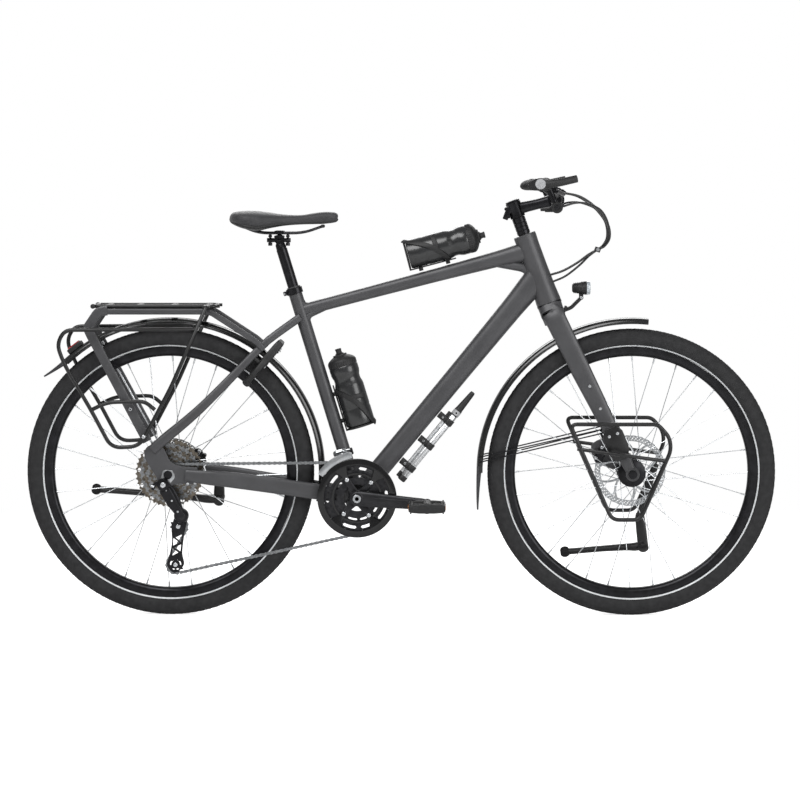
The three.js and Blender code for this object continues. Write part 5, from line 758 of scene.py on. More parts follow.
# A disc with a waved edge and rows of holes, on a black carrier with its bolts.
def makeRotor(name, centre, y, outer, seat, body, node, arms):
    bm = bmesh.new()
    place = centre + outward * y * mm
    waves = 12 * arms
    edge = [polar(place, outer - 0.7 + 0.6 * math.cos(waves / 2 * a), a, y)
            for a in (2 * math.pi * i / 240 for i in range(240))]
    holes = [circlePoints(place, outer - 15, 96, ahead, upward)]
    for i in range(waves):
        angle = 2 * math.pi * i / waves
        for row, (reach, size) in enumerate(((outer - 4.6, 1.5), (outer - 8.2, 1.9), (outer - 11.6, 1.3))):
            spot = polar(place, reach, angle + row * 0.035, y)
            holes.append(circlePoints(spot, size, 8, ahead, upward))
    addPlate(bm, edge, 1.8, outward, holes)
    for i in range(arms):
        angle = 2 * math.pi * i / arms
        for lean in (0.5, -0.28):
            line = [polar(place, seat + 9 + (outer - 20.5 - seat) * s, angle + lean * s ** 1.2, y) for s in
                    (0, 0.25, 0.5, 0.75, 1)]
            addSkin(bm, [(spot, 0.9, 2.6, outward) for spot in smoothLine(line, 3)], 8, 0.6)
    addTurned(bm, [(seat + 0.6, -1.6), (seat + 0.6, 1.6), (seat + 12, 1.6), (seat + 12.8, 0.8),
                   (seat + 12.8, -0.8), (seat + 12, -1.6)], place, outward, 64, closed=True, materialIndex=1)
    for i in range(6):
        spot = polar(place, seat + 7, 2 * math.pi * (i + 0.5) / 6, y)
        addPin(bm, spot - outward * 2.6 * mm, spot + outward * 2.6 * mm, 3, steps=12, materialIndex=0)
    return makePiece(bm, name, ["groundSteel", "blackAnodised"], body, node, 30)


makeTyre("frontTyre", frontAxle, "front_wheel", "front_tyre")
makeTyre("rearTyre", rearAxle, "rear_wheel", "rear_tyre")
makeRim("frontRim", frontAxle, "front_wheel", "front_rim")
makeRim("rearRim", rearAxle, "rear_wheel", "rear_rim")
makeHub("frontHub", frontAxle, "front_wheel", "front_hub",
        [(7, -49.9), (13.4, -49.9), (15, -48.4), (15, -33), (20, -31), (33.6, -28.6), (35, -27.4),
         (35, -21.4), (33.8, -20.4), (31, -19.4), (30.4, -10), (31, -8.6), (31, 8.6), (30.4, 10), (31, 19.4),
         (33.8, 20.4), (35, 21.4), (35, 27.4), (33.6, 28.6), (22, 29.6), (22, 37.6), (21, 38.2), (15, 38.4),
         (15, 48.4), (13.4, 49.9), (7, 49.9)],
        [(-24, 35), (24, 35)], math.radians(5.625))
makeHub("rearHub", rearAxle, "rear_wheel", "rear_hub",
        [(7, -70.9), (13.4, -70.9), (14.9, -69.6), (14.9, -27), (29.4, -25.6), (31, -24.4), (31, -17.6),
         (29.6, -16.6), (18, -15), (16.6, -4), (16.6, 14), (18, 26), (29.6, 27.6), (31, 28.6), (31, 35.4),
         (29.6, 36.6), (22, 37.4), (22, 55.6), (21, 56.2), (15, 56.4), (15, 69.6), (13.4, 70.9), (7, 70.9)],
        [(-21, 31), (32, 31)], math.radians(4.5))
makeRotor("frontRotor", frontAxle, 36, 90, 22, "front_wheel", "front_rotor", 5)
makeRotor("rearRotor", rearAxle, 54, 80, 22, "rear_wheel", "rear_rotor", 5)


# A through axle: a plain head at one end and a round socket in the other.
def makeAxle(name, centre, half, body, node):
    bm = bmesh.new()
    addTurned(bm, [(0, -half - 6), (9.6, -half - 6), (10.8, -half - 4.8), (10.8, -half), (5.9, -half),
                   (5.9, half), (10.8, half), (10.8, half + 5.6), (9.6, half + 7), (5.6, half + 7),
                   (4.6, half + 3.4), (0, half + 3.4)],
              centre, outward, 32)
    return makePiece(bm, name, "blackAnodised", body, node, 35)


makeAxle("rearThroughAxle", rearAxle, 79.6, "frame", "rear_axle")
makeAxle("frontThroughAxle", frontAxle, 62.6, "steering_unit", "front_axle")
print("wheels made")
# A skin through points, smoothed, whose half widths run from one point to the next.
def addLimb(bm, points, halfWides, halfUps, sideways, steps=6, sides=16, square=1.0, materialIndex=0):
    line = smoothLine(points, steps)
    last = len(points) - 1
    stations = []
    for i, place in enumerate(line):
        at = min(i / steps, last)
        low = min(int(at), last - 1)
        share = at - low
        wide = halfWides[low] + (halfWides[low + 1] - halfWides[low]) * share
        deep = halfUps[low] + (halfUps[low + 1] - halfUps[low]) * share
        stations.append((place, wide, deep, sideways))
    addSkin(bm, stations, sides, square, materialIndex)


# A screw's round head with its socket.
def addBolt(bm, place, direction, radius=3.4, height=2.2, materialIndex=0, steps=12):
    profile = [(0, 0), (radius, 0), (radius, 0.7 * height), (0.8 * radius, height), (0.5 * radius, height),
               (0.45 * radius, 0.45 * height), (0, 0.45 * height)]
    addTurned(bm, profile, place, direction, steps, materialIndex=materialIndex)


weldedFrame = {
    "seatTube": {"radius": 17, "length": 549, "collarRadius": 20.5, "collar": (530, 546)},
    "topTube": {"seat": 486, "head": 146.6, "halfDepths": (15, 15.5, 17, 20, 25),
                "halfWides": (14, 14, 16, 18.5, 20)},
    "downTube": {"head": 80, "halfDepths": (25, 25, 26, 28, 33), "halfWides": (21, 21, 22, 23.5, 24)},
    "headTube": [(0, 8.6), (31, 8.6), (31.4, 12), (29.6, 40), (28, 100), (27.6, 160), (28.4, 182),
                 (27.6, 188), (0, 188)],
    "cup": [(22, 0.6), (31.2, 0.6), (31.6, 2), (31.6, 6), (31.2, 8), (22, 8)],
    "fillets": {"bend": 40, "radius": 12, "reach": 92},
    "chainstay": {"shares": ((1.265, 0.078, -0.163), (1.075, 0.097, -0.137), (0.985, 0.108, -0.122),
                             (0.499, 0.172, -0.048), (0.29, 0.217, -0.022), (0.12, 0.216, -0.004)),
                  "halfDepths": (19, 19.5, 20, 20, 18, 15)},
    "seatstay": {"shares": ((0.905, 0.045, 1.078), (0.72, 0.1, 0.945), (0.62, 0.118, 0.856),
                            (0.222, 0.19, 0.454), (-0.06, 0.212, 0.214), (-0.108, 0.216, 0.169)),
                 "halfDepths": (10, 9.5, 9.5, 11.5, 12.5, 12)},
    "stayHalf": 6.4,
    "dropout": {"shares": ((0.2, 0.05), (0.2, -0.056), (0.05, -0.062), (0.012, -0.105), (-0.055, -0.1),
                           (-0.075, -0.03), (-0.11, 0.03), (-0.16, 0.12), (-0.15, 0.185), (-0.09, 0.21),
                           (-0.03, 0.18), (0.02, 0.09), (0.1, 0.058)), "thickness": 7.6, "y": 75.3},
    "beam": {"shares": ((0.657, 0.128, 0.859), (0.609, 0.145, 0.914), (0.294, 0.166, 1.119),
                        (0.235, 0.166, 1.122), (-0.435, 0.166, 1.122)), "halves": (4.4, 7.4), "bend": 22},
    "strut": {"shares": ((-0.415, 0.17, 1.128), (-0.475, 0.172, 1.125), (-0.552, 0.175, 1.012),
                         (-0.537, 0.178, 0.975), (-0.141, 0.212, 0.23)), "halves": (3.9, 11.8), "bend": 16},
    "crossShares": ((0.24, 1.122), (-0.41, 1.122)),
    "shell": {"radius": 22, "width": 73},
    "strutBolt": (-0.257, 0.451),
}


def makeFrame():
    look = weldedFrame
    bm = bmesh.new()
    seatTube, topTube, downTube = look["seatTube"], look["topTube"], look["downTube"]
    addPin(bm, onSeatTube(0), onSeatTube(seatTube["length"]), seatTube["radius"], steps=40, ease=1)
    low, high = seatTube["collar"]
    addPin(bm, onSeatTube(low), onSeatTube(high), seatTube["collarRadius"], steps=40, ease=1.2,
           materialIndex=1)
    addBlock(bm, onSeatTube((low + high) / 2, -22), (13, 15, 11), pitched(math.radians(17)), 1.5, 1)
    addPin(bm, onSeatTube((low + high) / 2, -26, -11), onSeatTube((low + high) / 2, -26, 11), 3, steps=14,
           materialIndex=2)
    # main tubes
    fromSeat, toHead = onSeatTube(topTube["seat"]), onSteerer(topTube["head"])
    addLimb(bm, [fromSeat.lerp(toHead, share) for share in (0, 0.3, 0.6, 0.85, 1)], topTube["halfWides"],
            topTube["halfDepths"], outward, sides=32, square=0.8)
    downHead = onSteerer(downTube["head"])
    addLimb(bm, [bracket.lerp(downHead, share) for share in (0, 0.3, 0.6, 0.85, 1)], downTube["halfWides"],
            downTube["halfDepths"], outward, sides=32, square=0.78)
    addTurned(bm, look["headTube"], crown, steerUp, 56)
    addTurned(bm, look["cup"], crown, steerUp, 56, closed=True, materialIndex=1)
    # soft corners between the tubes
    fillets = look["fillets"]
    topWay, downWay = (toHead - fromSeat).normalized(), (downHead - bracket).normalized()
    reach = fillets["reach"] * mm
    topLow = toHead - topWay * reach - Vector((-topWay.z, 0, topWay.x)) * fillets["radius"] / 2 * mm
    downHigh = downHead - downWay * reach + Vector((-downWay.z, 0, downWay.x)) * fillets["radius"] * mm
    addLimb(bm, bentLine([topLow, onSteerer(98, -5), downHigh], fillets["bend"], 8), [fillets["radius"]] * 11,
            [fillets["radius"]] * 11, outward, steps=1, sides=20)
    seatCorner = onSeatTube(topTube["seat"] + 6, 12)
    addLimb(bm, bentLine([onSeatTube(topTube["seat"] + 34, 6), seatCorner, seatCorner + topWay * 0.045], 30,
                         8),
            [12] * 11, [9] * 11, outward, steps=1, sides=20)
    underCorner = onSeatTube(topTube["seat"] - 16, 10)
    under = fromSeat + (topWay * 74 - Vector((-topWay.z, 0, topWay.x)) * 4) * mm
    addLimb(bm, bentLine([onSeatTube(topTube["seat"] - 48, 5), underCorner, under], 26, 8),
            [12] * 11, [9] * 11, outward, steps=1, sides=20)
    # bracket shell
    shell = look["shell"]
    addPin(bm, bracket - outward * shell["width"] / 2 * mm, bracket + outward * shell["width"] / 2 * mm,
           shell["radius"], steps=40, ease=0.8)
    addLimb(bm, [bracket + Vector((-0.03, 0, -0.012)), bracket + Vector((0.0, 0, -0.004)),
                 bracket + Vector((0.02, 0, 0.02))], [26, 30, 24], [17, 21, 20], outward, sides=24)
    # stays, dropouts and carrier
    for side in (-1, 1):
        for name in ("chainstay", "seatstay"):
            stay = look[name]
            places = [byShare(rearAxle, x, z, side * y * wheelRadius) for x, y, z in stay["shares"]]
            addLimb(bm, places, [look["stayHalf"]] * len(places), stay["halfDepths"], outward, sides=24,
                    square=0.75)
        dropout = look["dropout"]
        outline = smoothLine([byShare(rearAxle, x, z, side * dropout["y"])
                              for x, z in (*dropout["shares"], dropout["shares"][0])], 4)[:-1]
        addPlate(bm, outline, dropout["thickness"], outward, ease=1.2)
        for name in ("beam", "strut"):
            form = look[name]
            places = [byShare(rearAxle, x, z, side * y * wheelRadius) for x, y, z in form["shares"]]
            line = bentLine(places, form["bend"], 5)
            halfWide, halfDeep = form["halves"]
            addSkin(bm, [(place, halfWide, halfDeep, outward) for place in line], 20, 0.55)
        x, z = look["strutBolt"]
        addBolt(bm, byShare(rearAxle, x, z, side * (0.199 * wheelRadius + 3.6)), outward * side, 4.4, 2.6, 2)
        for x, z in ((0.135, -0.062), (0.185, -0.056)):
            addBolt(bm, byShare(rearAxle, x, z, side * 79), outward * side, 3.6, 2, 2)
    for x, z in look["crossShares"]:
        reachOut = 0.166 * wheelRadius
        addPin(bm, byShare(rearAxle, x, z, -reachOut), byShare(rearAxle, x, z, reachOut), 5, steps=16)
    for share in ((0.72, 0.945, 0.1), (0.985, -0.122, 0.108)):
        reachOut = share[2] * wheelRadius
        addPin(bm, byShare(rearAxle, share[0], share[1], -reachOut),
               byShare(rearAxle, share[0], share[1], reachOut), 8, steps=18)
    # gear hanger, lighter than the frame
    hanger = byShare(rearAxle, -0.03, -0.065, -76)
    addPlate(bm, smoothLine([byShare(rearAxle, x, z, -77.5) for x, z in (
        (0.03, 0.03), (0.045, -0.02), (-0.005, -0.075), (-0.04, -0.09), (-0.065, -0.06), (-0.045, -0.01),
        (-0.03, 0.03), (0.03, 0.03))], 4)[:-1], 5, outward, ease=0.8, materialIndex=3)
    addBolt(bm, hanger - outward * 0.0045, -outward, 6, 3, 2)
    # screws on the tubes
    for x, z in ((51, 865), (108, 885)):
        addBolt(bm, point(x, 0, z) + Vector((-topWay.z, 0, topWay.x)) * 0.006,
                Vector((-topWay.z, 0, topWay.x)), 4, 4, 2)
    makePiece(bm, "weldedFrame", ["powderCoat", "blackAnodised", "stainless", "groundSteel"], "frame",
              "main_frame", 38)


forkLook = {
    "tops": ((-1, 13, 20, 29), (-22, 24, 21, 30)),
    "blade": {"shares": ((-0.53, 0.122, 1.065), (-0.366, 0.128, 0.734), (-0.213, 0.142, 0.432),
                         (-0.075, 0.152, 0.15), (0, 0.156, 0)), "halfWides": (16, 9.5, 9, 8, 6.5, 6),
              "halfDepths": (30, 26, 24.5, 21, 16, 12)},
    "end": {"radius": 17.5, "y": 56.3, "half": 6},
    "boltShares": ((-0.299, 0.61), (-0.225, 0.455), (-0.135, 0.2), (-0.09, 0.2)),
    "tabShares": ((0, -0.03), (-0.16, 0.02), (-0.25, 0.075), (-0.27, 0.17), (-0.2, 0.22), (-0.07, 0.24)),
}


def makeFork():
    bm = bmesh.new()
    blade, end = forkLook["blade"], forkLook["end"]
    for side in (-1, 1):
        places = [onSteerer(height, 0, side * y) for height, y, *_ in forkLook["tops"]]
        wides = [wide for *_, wide, _ in forkLook["tops"]]
        deeps = [deep for *_, deep in forkLook["tops"]]
        places += [byShare(frontAxle, x, z, side * y * wheelRadius) for x, y, z in blade["shares"]]
        addLimb(bm, places, wides + list(blade["halfWides"][1:]), deeps + list(blade["halfDepths"][1:]),
                outward, sides=28, square=0.82)
        foot = frontAxle + outward * side * end["y"] * mm
        half = outward * end["half"] * mm
        addPin(bm, foot - half, foot + half, end["radius"], steps=36, ease=1.5)
        for x, z in forkLook["boltShares"][:2]:
            addBolt(bm, byShare(frontAxle, x, z, side * (0.14 * wheelRadius + 8)), outward * side, 4, 2.4, 1)
    addPin(bm, onSteerer(-44), onSteerer(0.2), 28.5, 30.5, steps=48, ease=0.6)
    addPin(bm, onSteerer(-2), onSteerer(250), 14.2, steps=24)
    tab = smoothLine([byShare(frontAxle, x, z, 51) for x, z in (*forkLook["tabShares"], (0, -0.03))], 3)[:-1]
    addPlate(bm, tab, 7, outward, ease=1)
    makePiece(bm, "forkBlades", ["powderCoat", "stainless"], "steering_unit", "fork", 38)


makeFrame()
makeFork()
print("frame and fork made")
def sharePlaces(origin, shares, y):
    return [byShare(origin, x, z, y) for x, z in shares]


rackLook = {
    "tube": 5, "bend": 26, "y": 95, "height": 778.8, "half": 52, "front": 0.325, "rear": -0.505,
    "slats": ((0.27, 99), (0.03, 52), (-0.21, 52), (-0.42, 52)),
    "loopShares": ((0.27, 1.155), (0.028, 0.607), (-0.19, 0.2), (-0.385, 0.19), (-0.515, 0.438),
                   (-0.706, 0.77), (-0.752, 0.9), (-0.7, 1), (0.2, 1.006)),
    "archShares": ((-0.518, 0.452), (-0.41, 0.504), (-0.152, 0.511), (-0.083, 0.452)),
    "foot": (-0.161, 0.268),
}


def makeRearRack():
    look = rackLook
    bm = bmesh.new()
    tube, y, half = look["tube"], look["y"], look["half"]

    def deck(share, across):
        return point(-578 + share * wheelRadius, across, look["height"])
    for side in (-1, 1):
        addRod(bm, bentLine([deck(look["front"], 0), deck(look["front"], side * half),
                             deck(look["rear"], side * half),
                             deck(look["rear"], 0)], 12, 5), 4.9, 14, sideways=upward)
        addRod(bm, bentLine(sharePlaces(rearAxle, look["loopShares"], side * y), look["bend"], 6), tube, 16)
        addRod(bm, bentLine(sharePlaces(rearAxle, look["archShares"], side * y), look["bend"], 6), tube, 16)
        foot = byShare(rearAxle, *look["foot"], side * y)
        addPin(bm, foot - outward * side * 13 * mm, foot, tube, steps=16)
        addBolt(bm, foot + outward * side * 4.6 * mm, outward * side, 4.5, 2.4, 1)
        addPin(bm, deck(look["front"] - 0.015, side * (half - 8)),
               deck(look["front"] + 0.03, side * (half - 8)), 4, steps=12)
        # rubber ends at the corners of the deck
        addPin(bm, deck(look["rear"] - 0.012, side * (half - 6)),
               deck(look["rear"] - 0.012, side * (half + 6)), 6, steps=14, materialIndex=2)
    for share, reach in look["slats"]:
        slat = [(deck(share, across), 8.5, 3.4, ahead)
                for across in (-reach, -reach * 0.5, 0, reach * 0.5, reach)]
        addSkin(bm, slat, 16, 0.5)
    makePiece(bm, "rearRack", ["blackCoat", "stainless", "mouldedNylon"], "frame", "rear_rack",
              50)


lowriderLook = {
    "tube": 5, "bend": 18, "y": 105,
    "loopShares": ((0.02, 0.357), (-0.44, 0.357), (-0.15, -0.3), (0.045, -0.3), (0.252, 0.18), (0.24, 0.27),
                   (0.161, 0.357), (-0.02, 0.357)),
    "cross": ((-0.39, 0.188), (0.215, 0.105)), "standBar": ((0.197, 0.03), (0.083, -0.33)),
    "plate": {"share": (-0.115, 0.215), "length": 52, "height": 84, "y": 67.5, "thickness": 7},
    "pegs": (0.36, 0.6),
}


standLook = {
    "hub": 13, "hubWidth": 17, "foot": 13, "footWidth": 22,
    "front": {"share": (0.108, -0.548), "y": 105, "length": 205, "rest": (-0.996, 0, -0.087),
              "axis": (0.0455, -0.8525, -0.521)},
    "rear": {"share": (0.321, -0.211), "y": 70, "length": 318, "rest": (-0.997, 0, 0.077),
             "axis": (-0.036, -0.883, -0.468)},
}


# Cheeks on both sides of a folding leg's hub, with an arm to what carries them.
def addHinge(bm, key, origin, anchor, materialIndex=0):
    form = standLook[key]
    pivot = byShare(origin, *form["share"], form["y"])
    axis = Vector(form["axis"]).normalized()
    for side in (-1, 1):
        cheek = pivot + axis * side * (standLook["hubWidth"] / 2 + 2.6) * mm
        addPin(bm, cheek - axis * 2 * mm, cheek + axis * 2 * mm, 13.5, steps=32, materialIndex=materialIndex)
        up = (anchor - cheek).normalized()
        line = [cheek, cheek.lerp(anchor, 0.5), anchor - up * 6 * mm, anchor + up * 4 * mm]
        addSkin(bm, [(place, half, deep, axis) for place, half,
                     deep in zip(line, (2, 2.4, 6, 5), (13, 13, 12, 9))], 16,
                0.6, materialIndex)


def makeLowrider(side, name, node):
    look = lowriderLook
    bm = bmesh.new()
    y = side * look["y"]
    loop = sharePlaces(frontAxle, look["loopShares"][:-1], y)
    middle = (loop[0] + loop[-1]) / 2
    closed = bentLine([middle, *loop[1:], middle], look["bend"], 6)[:-1]
    addSkin(bm, [(place, look["tube"], look["tube"], outward) for place in closed], 16, closed=True)
    cross = sharePlaces(frontAxle, look["cross"], y)
    addPin(bm, cross[0], cross[1], 4.6, steps=16)
    plate = look["plate"]
    centre = byShare(frontAxle, *plate["share"], side * plate["y"])
    x, z = plate["length"] / 2 * mm, plate["height"] / 2 * mm
    turn = Vector((0.93, 0, 0.37)), Vector((-0.37, 0, 0.93))
    outline = [centre + turn[0] * a * x + turn[1] * b * z
               for a, b in ((-1, -0.6), (-0.55, -1), (0.55, -1), (1, -0.5), (1, 0.6), (0.6, 1), (-0.6, 1),
                            (-1, 0.6))]
    addPlate(bm, outline, plate["thickness"], outward, ease=1)
    for share in look["pegs"]:
        place = cross[0].lerp(cross[1], share)
        inner = place.copy()
        inner.y = centre.y
        addPin(bm, inner, place, 5, steps=16)
    for a, b in ((-0.4, 0.55), (0.45, 0.55)):
        addBolt(bm, centre + turn[0] * a * x + turn[1] * b * z + outward * side * 3.4 * mm, outward * side,
                4.2, 2.6, 1)
    if side > 0:
        bar = sharePlaces(frontAxle, look["standBar"], y)
        addSkin(bm, [(place, 5, 8, outward) for place in (bar[0], bar[0].lerp(bar[1], 0.5), bar[1])], 16, 0.6)
        addHinge(bm, "front", frontAxle, bar[1])
    else:
        low = sharePlaces(frontAxle, ((0.215, 0.09), (0.11, -0.13)), side * 84)
        addRod(bm, bentLine([cross[1], low[0], low[1], byShare(frontAxle, 0.045, -0.27, y)], 14, 4), 3.4, 12)
    makePiece(bm, name, ["blackCoat", "stainless"], "steering_unit", node, 50)


guardLook = {
    "skin": ((-26.6, 373.5), (-25.6, 381), (-20, 386.2), (-9, 388), (9, 388), (20, 386.2), (25.6, 381),
             (26.6, 373.5), (24.6, 373.8), (23, 380), (18, 384), (8, 385.4), (-8, 385.4), (-18, 384),
             (-23, 380), (-24.6, 373.8)),
    "rear": (-11, 134), "front": (84, 180), "flapOut": 11, "stay": 2.2,
    "rearStay": ((-0.06, 0.11, 68.8), (118, 379, 26)),
             "frontStay": ((-0.18, 0.288, 43.3), (-1.056, 0.074, 26)),
    "lamp": {"length": 46, "width": 34, "depth": 12, "reach": 388},
}


def addGuard(bm, centre, fromAngle, toAngle, flapTurn):
    look = guardLook
    part = bmesh.new()
    start = math.radians(fromAngle)
    corners = [part.verts.new(polar(centre, r, start, y)) for y, r in look["skin"]]
    edges = [part.edges.new(pair) for pair in zip(corners, corners[1:] + corners[:1])]
    bmesh.ops.spin(part, geom=corners + edges, cent=centre, axis=(0, -1, 0),
                   angle=math.radians(toAngle - fromAngle), steps=int((toAngle - fromAngle) / 2))
    bmesh.ops.holes_fill(part, edges=[edge for edge in part.edges if edge.is_boundary])
    bmesh.ops.recalc_face_normals(part, faces=part.faces)
    join(bm, part)
    stations = []
    for step in range(7):
        share = step / 6
        angle = math.radians(toAngle + flapTurn * (share - 0.15))
        bow = look["flapOut"] * share ** 2
        stations.append((polar(centre, 381 + bow + 4 * share, angle), 24.5 - 1.5 * share ** 3,
                         6.5 - 4.5 * share, outward))
    addSkin(bm, stations, 20, 0.4, materialIndex=2)
    for y in (-1, 1):  # the rolled edge catches the light
        edge = [polar(centre, 374.2, math.radians(fromAngle + (toAngle - fromAngle) * i / 40), y * 25.6)
                for i in range(41)]
        addRod(bm, edge, 1.1, 8)


def makeMudguards():
    look = guardLook
    bm = bmesh.new()
    addGuard(bm, rearAxle, *look["rear"], 10)
    (x, z, y), (angle, reach, edge) = look["rearStay"]
    for side in (-1, 1):
        end = polar(rearAxle, reach, math.radians(angle), side * edge)
        addRod(bm, [byShare(rearAxle, x, z, side * y), end], look["stay"], 10, 1)
        addBlock(bm, end, (16, 5, 12), pitched(math.radians(angle)), 1, 3)
    lamp = look["lamp"]
    angle = math.radians(look["rear"][1]) - lamp["length"] / lamp["reach"]
    for depth, shrink, index in ((lamp["depth"], 0, 3), (1.6, 8, 4)):
        away = lamp["reach"] + (depth / 2 - 1 if index == 3 else lamp["depth"] + 0.6)
        addBlock(bm, polar(rearAxle, away, angle),
                 (depth, lamp["width"] - shrink, lamp["length"] - shrink - 4), pitched(angle), 2, index)
    for angle, to in ((53.3, 398), (-8.5, 397)):
        turned = math.radians(angle)
        addPin(bm, polar(rearAxle, 385, turned), polar(rearAxle, to, turned), 4, steps=12, materialIndex=3)
    makePiece(bm, "rearMudguard", ["polycarbonate", "stainless", "agedRubber", "mouldedNylon",
                                   "redReflector"], "frame",
              "rear_mudguard", 45)
    bm = bmesh.new()
    addGuard(bm, frontAxle, *look["front"], 16)
    (x, z, y), (endX, endZ, edge) = look["frontStay"]
    for side in (-1, 1):
        for lift in (0, 0.035):
            foot, end = byShare(frontAxle, x + lift, z + lift,
                                side * y), byShare(frontAxle, endX, endZ + lift, side * edge)
            addRod(bm, [foot, end], look["stay"] * 0.8, 10, 1)
    tab = polar(frontAxle, 386, math.radians(113.5))
    addPin(bm, tab, polar(frontAxle, 402, math.radians(113.5)), 4, steps=12, materialIndex=3)
    makePiece(bm, "frontMudguard", ["polycarbonate", "blackAnodised", "agedRubber", "mouldedNylon"],
              "steering_unit", "front_mudguard", 45)


def makeStand(key, origin, name, body, node):
    look, form = standLook, standLook[key]
    bm = bmesh.new()
    pivot = byShare(origin, *form["share"], form["y"])
    axis, rest = Vector(form["axis"]).normalized(), Vector(form["rest"]).normalized()
    halfHub = axis * look["hubWidth"] / 2 * mm
    addPin(bm, pivot - halfHub, pivot + halfHub, look["hub"], steps=32, ease=1.6)
    addBolt(bm, pivot + halfHub, axis, 6, 2.2, 1)
    addBolt(bm, pivot - halfHub, -axis, 6, 2.2, 1)
    length = form["length"] * mm
    shares = (0, 0.1, 0.22, 0.5, 0.8, 0.97)
    rise = axis.cross(rest).normalized()
    lifts = (0, 3, 1.5, 0, 0, 0)
    addLimb(bm, [pivot + rest * length * share + rise * lift * mm for share, lift in zip(shares, lifts)],
            (9, 9, 8, 7.5, 7.5, 8), (11.5, 10.5, 8.5, 7, 7, 7.5), axis, sides=20, square=0.7)
    foot = pivot + rest * (length - look["foot"] * mm * 0.4)
    halfFoot = axis * look["footWidth"] / 2 * mm
    addPin(bm, foot - halfFoot, foot + halfFoot, look["foot"] * 0.82, steps=28, ease=2, materialIndex=2)
    for share in (-0.3, 0, 0.3):
        rib = foot + axis * share * look["footWidth"] * mm
        addPin(bm, rib - axis * 1.4 * mm, rib + axis * 1.4 * mm, look["foot"] * 0.92, steps=28, ease=0.6,
               materialIndex=2)
    addBolt(bm, pivot + rest * length * 0.45 - axis * 7 * mm, -axis, 3, 1.6, 1)
    makePiece(bm, name, ["blackCoat", "stainless", "gripRubber"], body, node, 40)


caliperLook = {"length": 50, "height": 25}


def makeCaliper(centre, angle, reach, outer, inner, name, body, node):
    bm = bmesh.new()
    angle = math.radians(angle)
    way, side = Vector((math.cos(angle), 0, math.sin(angle))), Vector((-math.sin(angle), 0, math.cos(angle)))
    middle = centre + way * (reach - 6) * mm
    length, height = caliperLook["length"], caliperLook["height"]
    rotorY = (outer + inner) / 2 - 2.5
    for near, far in ((inner, rotorY - 2.6), (rotorY + 2.6, outer)):
        outline = smoothLine([middle + way * a * height / 2 * mm + side * b * length / 2 * mm for a, b in (
            (-0.95, -0.75), (0.3, -1), (0.95, -0.55), (1, 0), (0.95,
                                                               0.55), (0.3, 1), (-0.95, 0.75), (-0.7, 0),
            (-0.95, -0.75))], 3)[:-1]
        shifted = [Vector((place.x, (near + far) / 2 * mm, place.z)) for place in outline]
        addPlate(bm, shifted, far - near, outward, ease=1.5)
    for b in (-0.62, 0.62):
        place = middle + way * 0.55 * height / 2 * mm + side * b * length / 2 * mm
        addPin(bm, place + outward * inner * mm, place + outward * outer * mm, 4.2, steps=16, materialIndex=0)
        addBolt(bm, place + outward * inner * mm, -outward, 4, 2, 1)
    bridge = middle + way * height * 0.5 * mm
    addPin(bm, bridge + outward * inner * mm, bridge + outward * outer * mm, 6, steps=20)
    pad = middle + outward * inner * mm
    addTurned(bm, [(0, 0), (9.5, 0), (9.5, -1.2), (8, -1.8), (0, -1.8)], pad, outward, 28)
    addPin(bm, middle - side * length * 0.5 * mm + outward * (inner + 6) * mm,
           middle - side * (length * 0.5 + 12) * mm + outward * (inner + 6) * mm, 3.4, steps=14,
           materialIndex=1)
    makePiece(bm, name, ["blackAnodised", "stainless"], body, node, 38)


def makeRearStandBracket():
    bm = bmesh.new()
    anchor = byShare(rearAxle, 0.321, -0.085, 74)
    addHinge(bm, "rear", rearAxle, anchor)
    addBlock(bm, anchor, (30, 9, 24), pitched(math.radians(-4)), 1.5)
    for x in (-9, 9):
        addBolt(bm, anchor + ahead * x * mm + outward * 4.6 * mm, outward, 4.5, 2.6, 1)
    makePiece(bm, "rearStandBracket", ["blackCoat", "stainless"], "frame", "rear_stand_bracket",
              40)


makeRearRack()
makeRearStandBracket()
makeLowrider(-1, "lowriderRight", "lowrider_right")
makeLowrider(1, "lowriderLeft", "lowrider_left")
makeMudguards()
makeStand("front", frontAxle, "frontStandLeg", "front_stand", "front_stand_leg")
makeStand("rear", rearAxle, "rearStandLeg", "rear_stand", "rear_stand_leg")
makeCaliper(rearAxle, 24, 80, 69, 43, "rearCaliper", "frame", "rear_caliper")
makeCaliper(frontAxle, 150, 90, 49, 31, "frontCaliper", "steering_unit", "front_caliper")
print("racks, mudguards, stands and brakes made")
# A toothed disc: its outline rises to a tooth and falls to the root for each tooth.
def toothed(centre, rootRadius, toothHeight, teeth, y, phase=0.0):
    outline = []
    for i in range(teeth):
        for share, rise in ((0, 0.0), (0.22, 0.05), (0.38, 0.85), (0.5, 1.0), (0.62, 0.85), (0.78, 0.05)):
            angle = phase + 2 * math.pi * (i + share) / teeth
            outline.append(polar(centre, rootRadius + rise * toothHeight, angle, y))
    return outline


def ringHole(centre, radius, y, count=48):
    return [polar(centre, radius, 2 * math.pi * i / count, y) for i in range(count)]


# A slot that follows a circle, with round ends.
def arcSlot(centre, radius, halfWidth, fromAngle, toAngle, y, count=8):
    spread = halfWidth / radius
    places = [polar(centre, radius + halfWidth, fromAngle + (toAngle - fromAngle) * i / count, y)
              for i in range(count + 1)]
    places += [polar(centre, radius, toAngle + spread, y)]
    places += [polar(centre, radius - halfWidth, toAngle - (toAngle - fromAngle) * i / count, y)
               for i in range(count + 1)]
    return places + [polar(centre, radius, fromAngle - spread, y)]


crankLook = {
    "length": 175, "pitch": -4.3, "rootY": 70, "endY": 82,
    "spiderY": 56.5, "boltCircle": 52, "spiderAngles": (119, 48, -56, -130),
}
crankEnds = {side: polar(bracket, crankLook["length"], math.radians(crankLook["pitch"] + turn))
             for side, turn in ((-1, 0), (1, 180))}


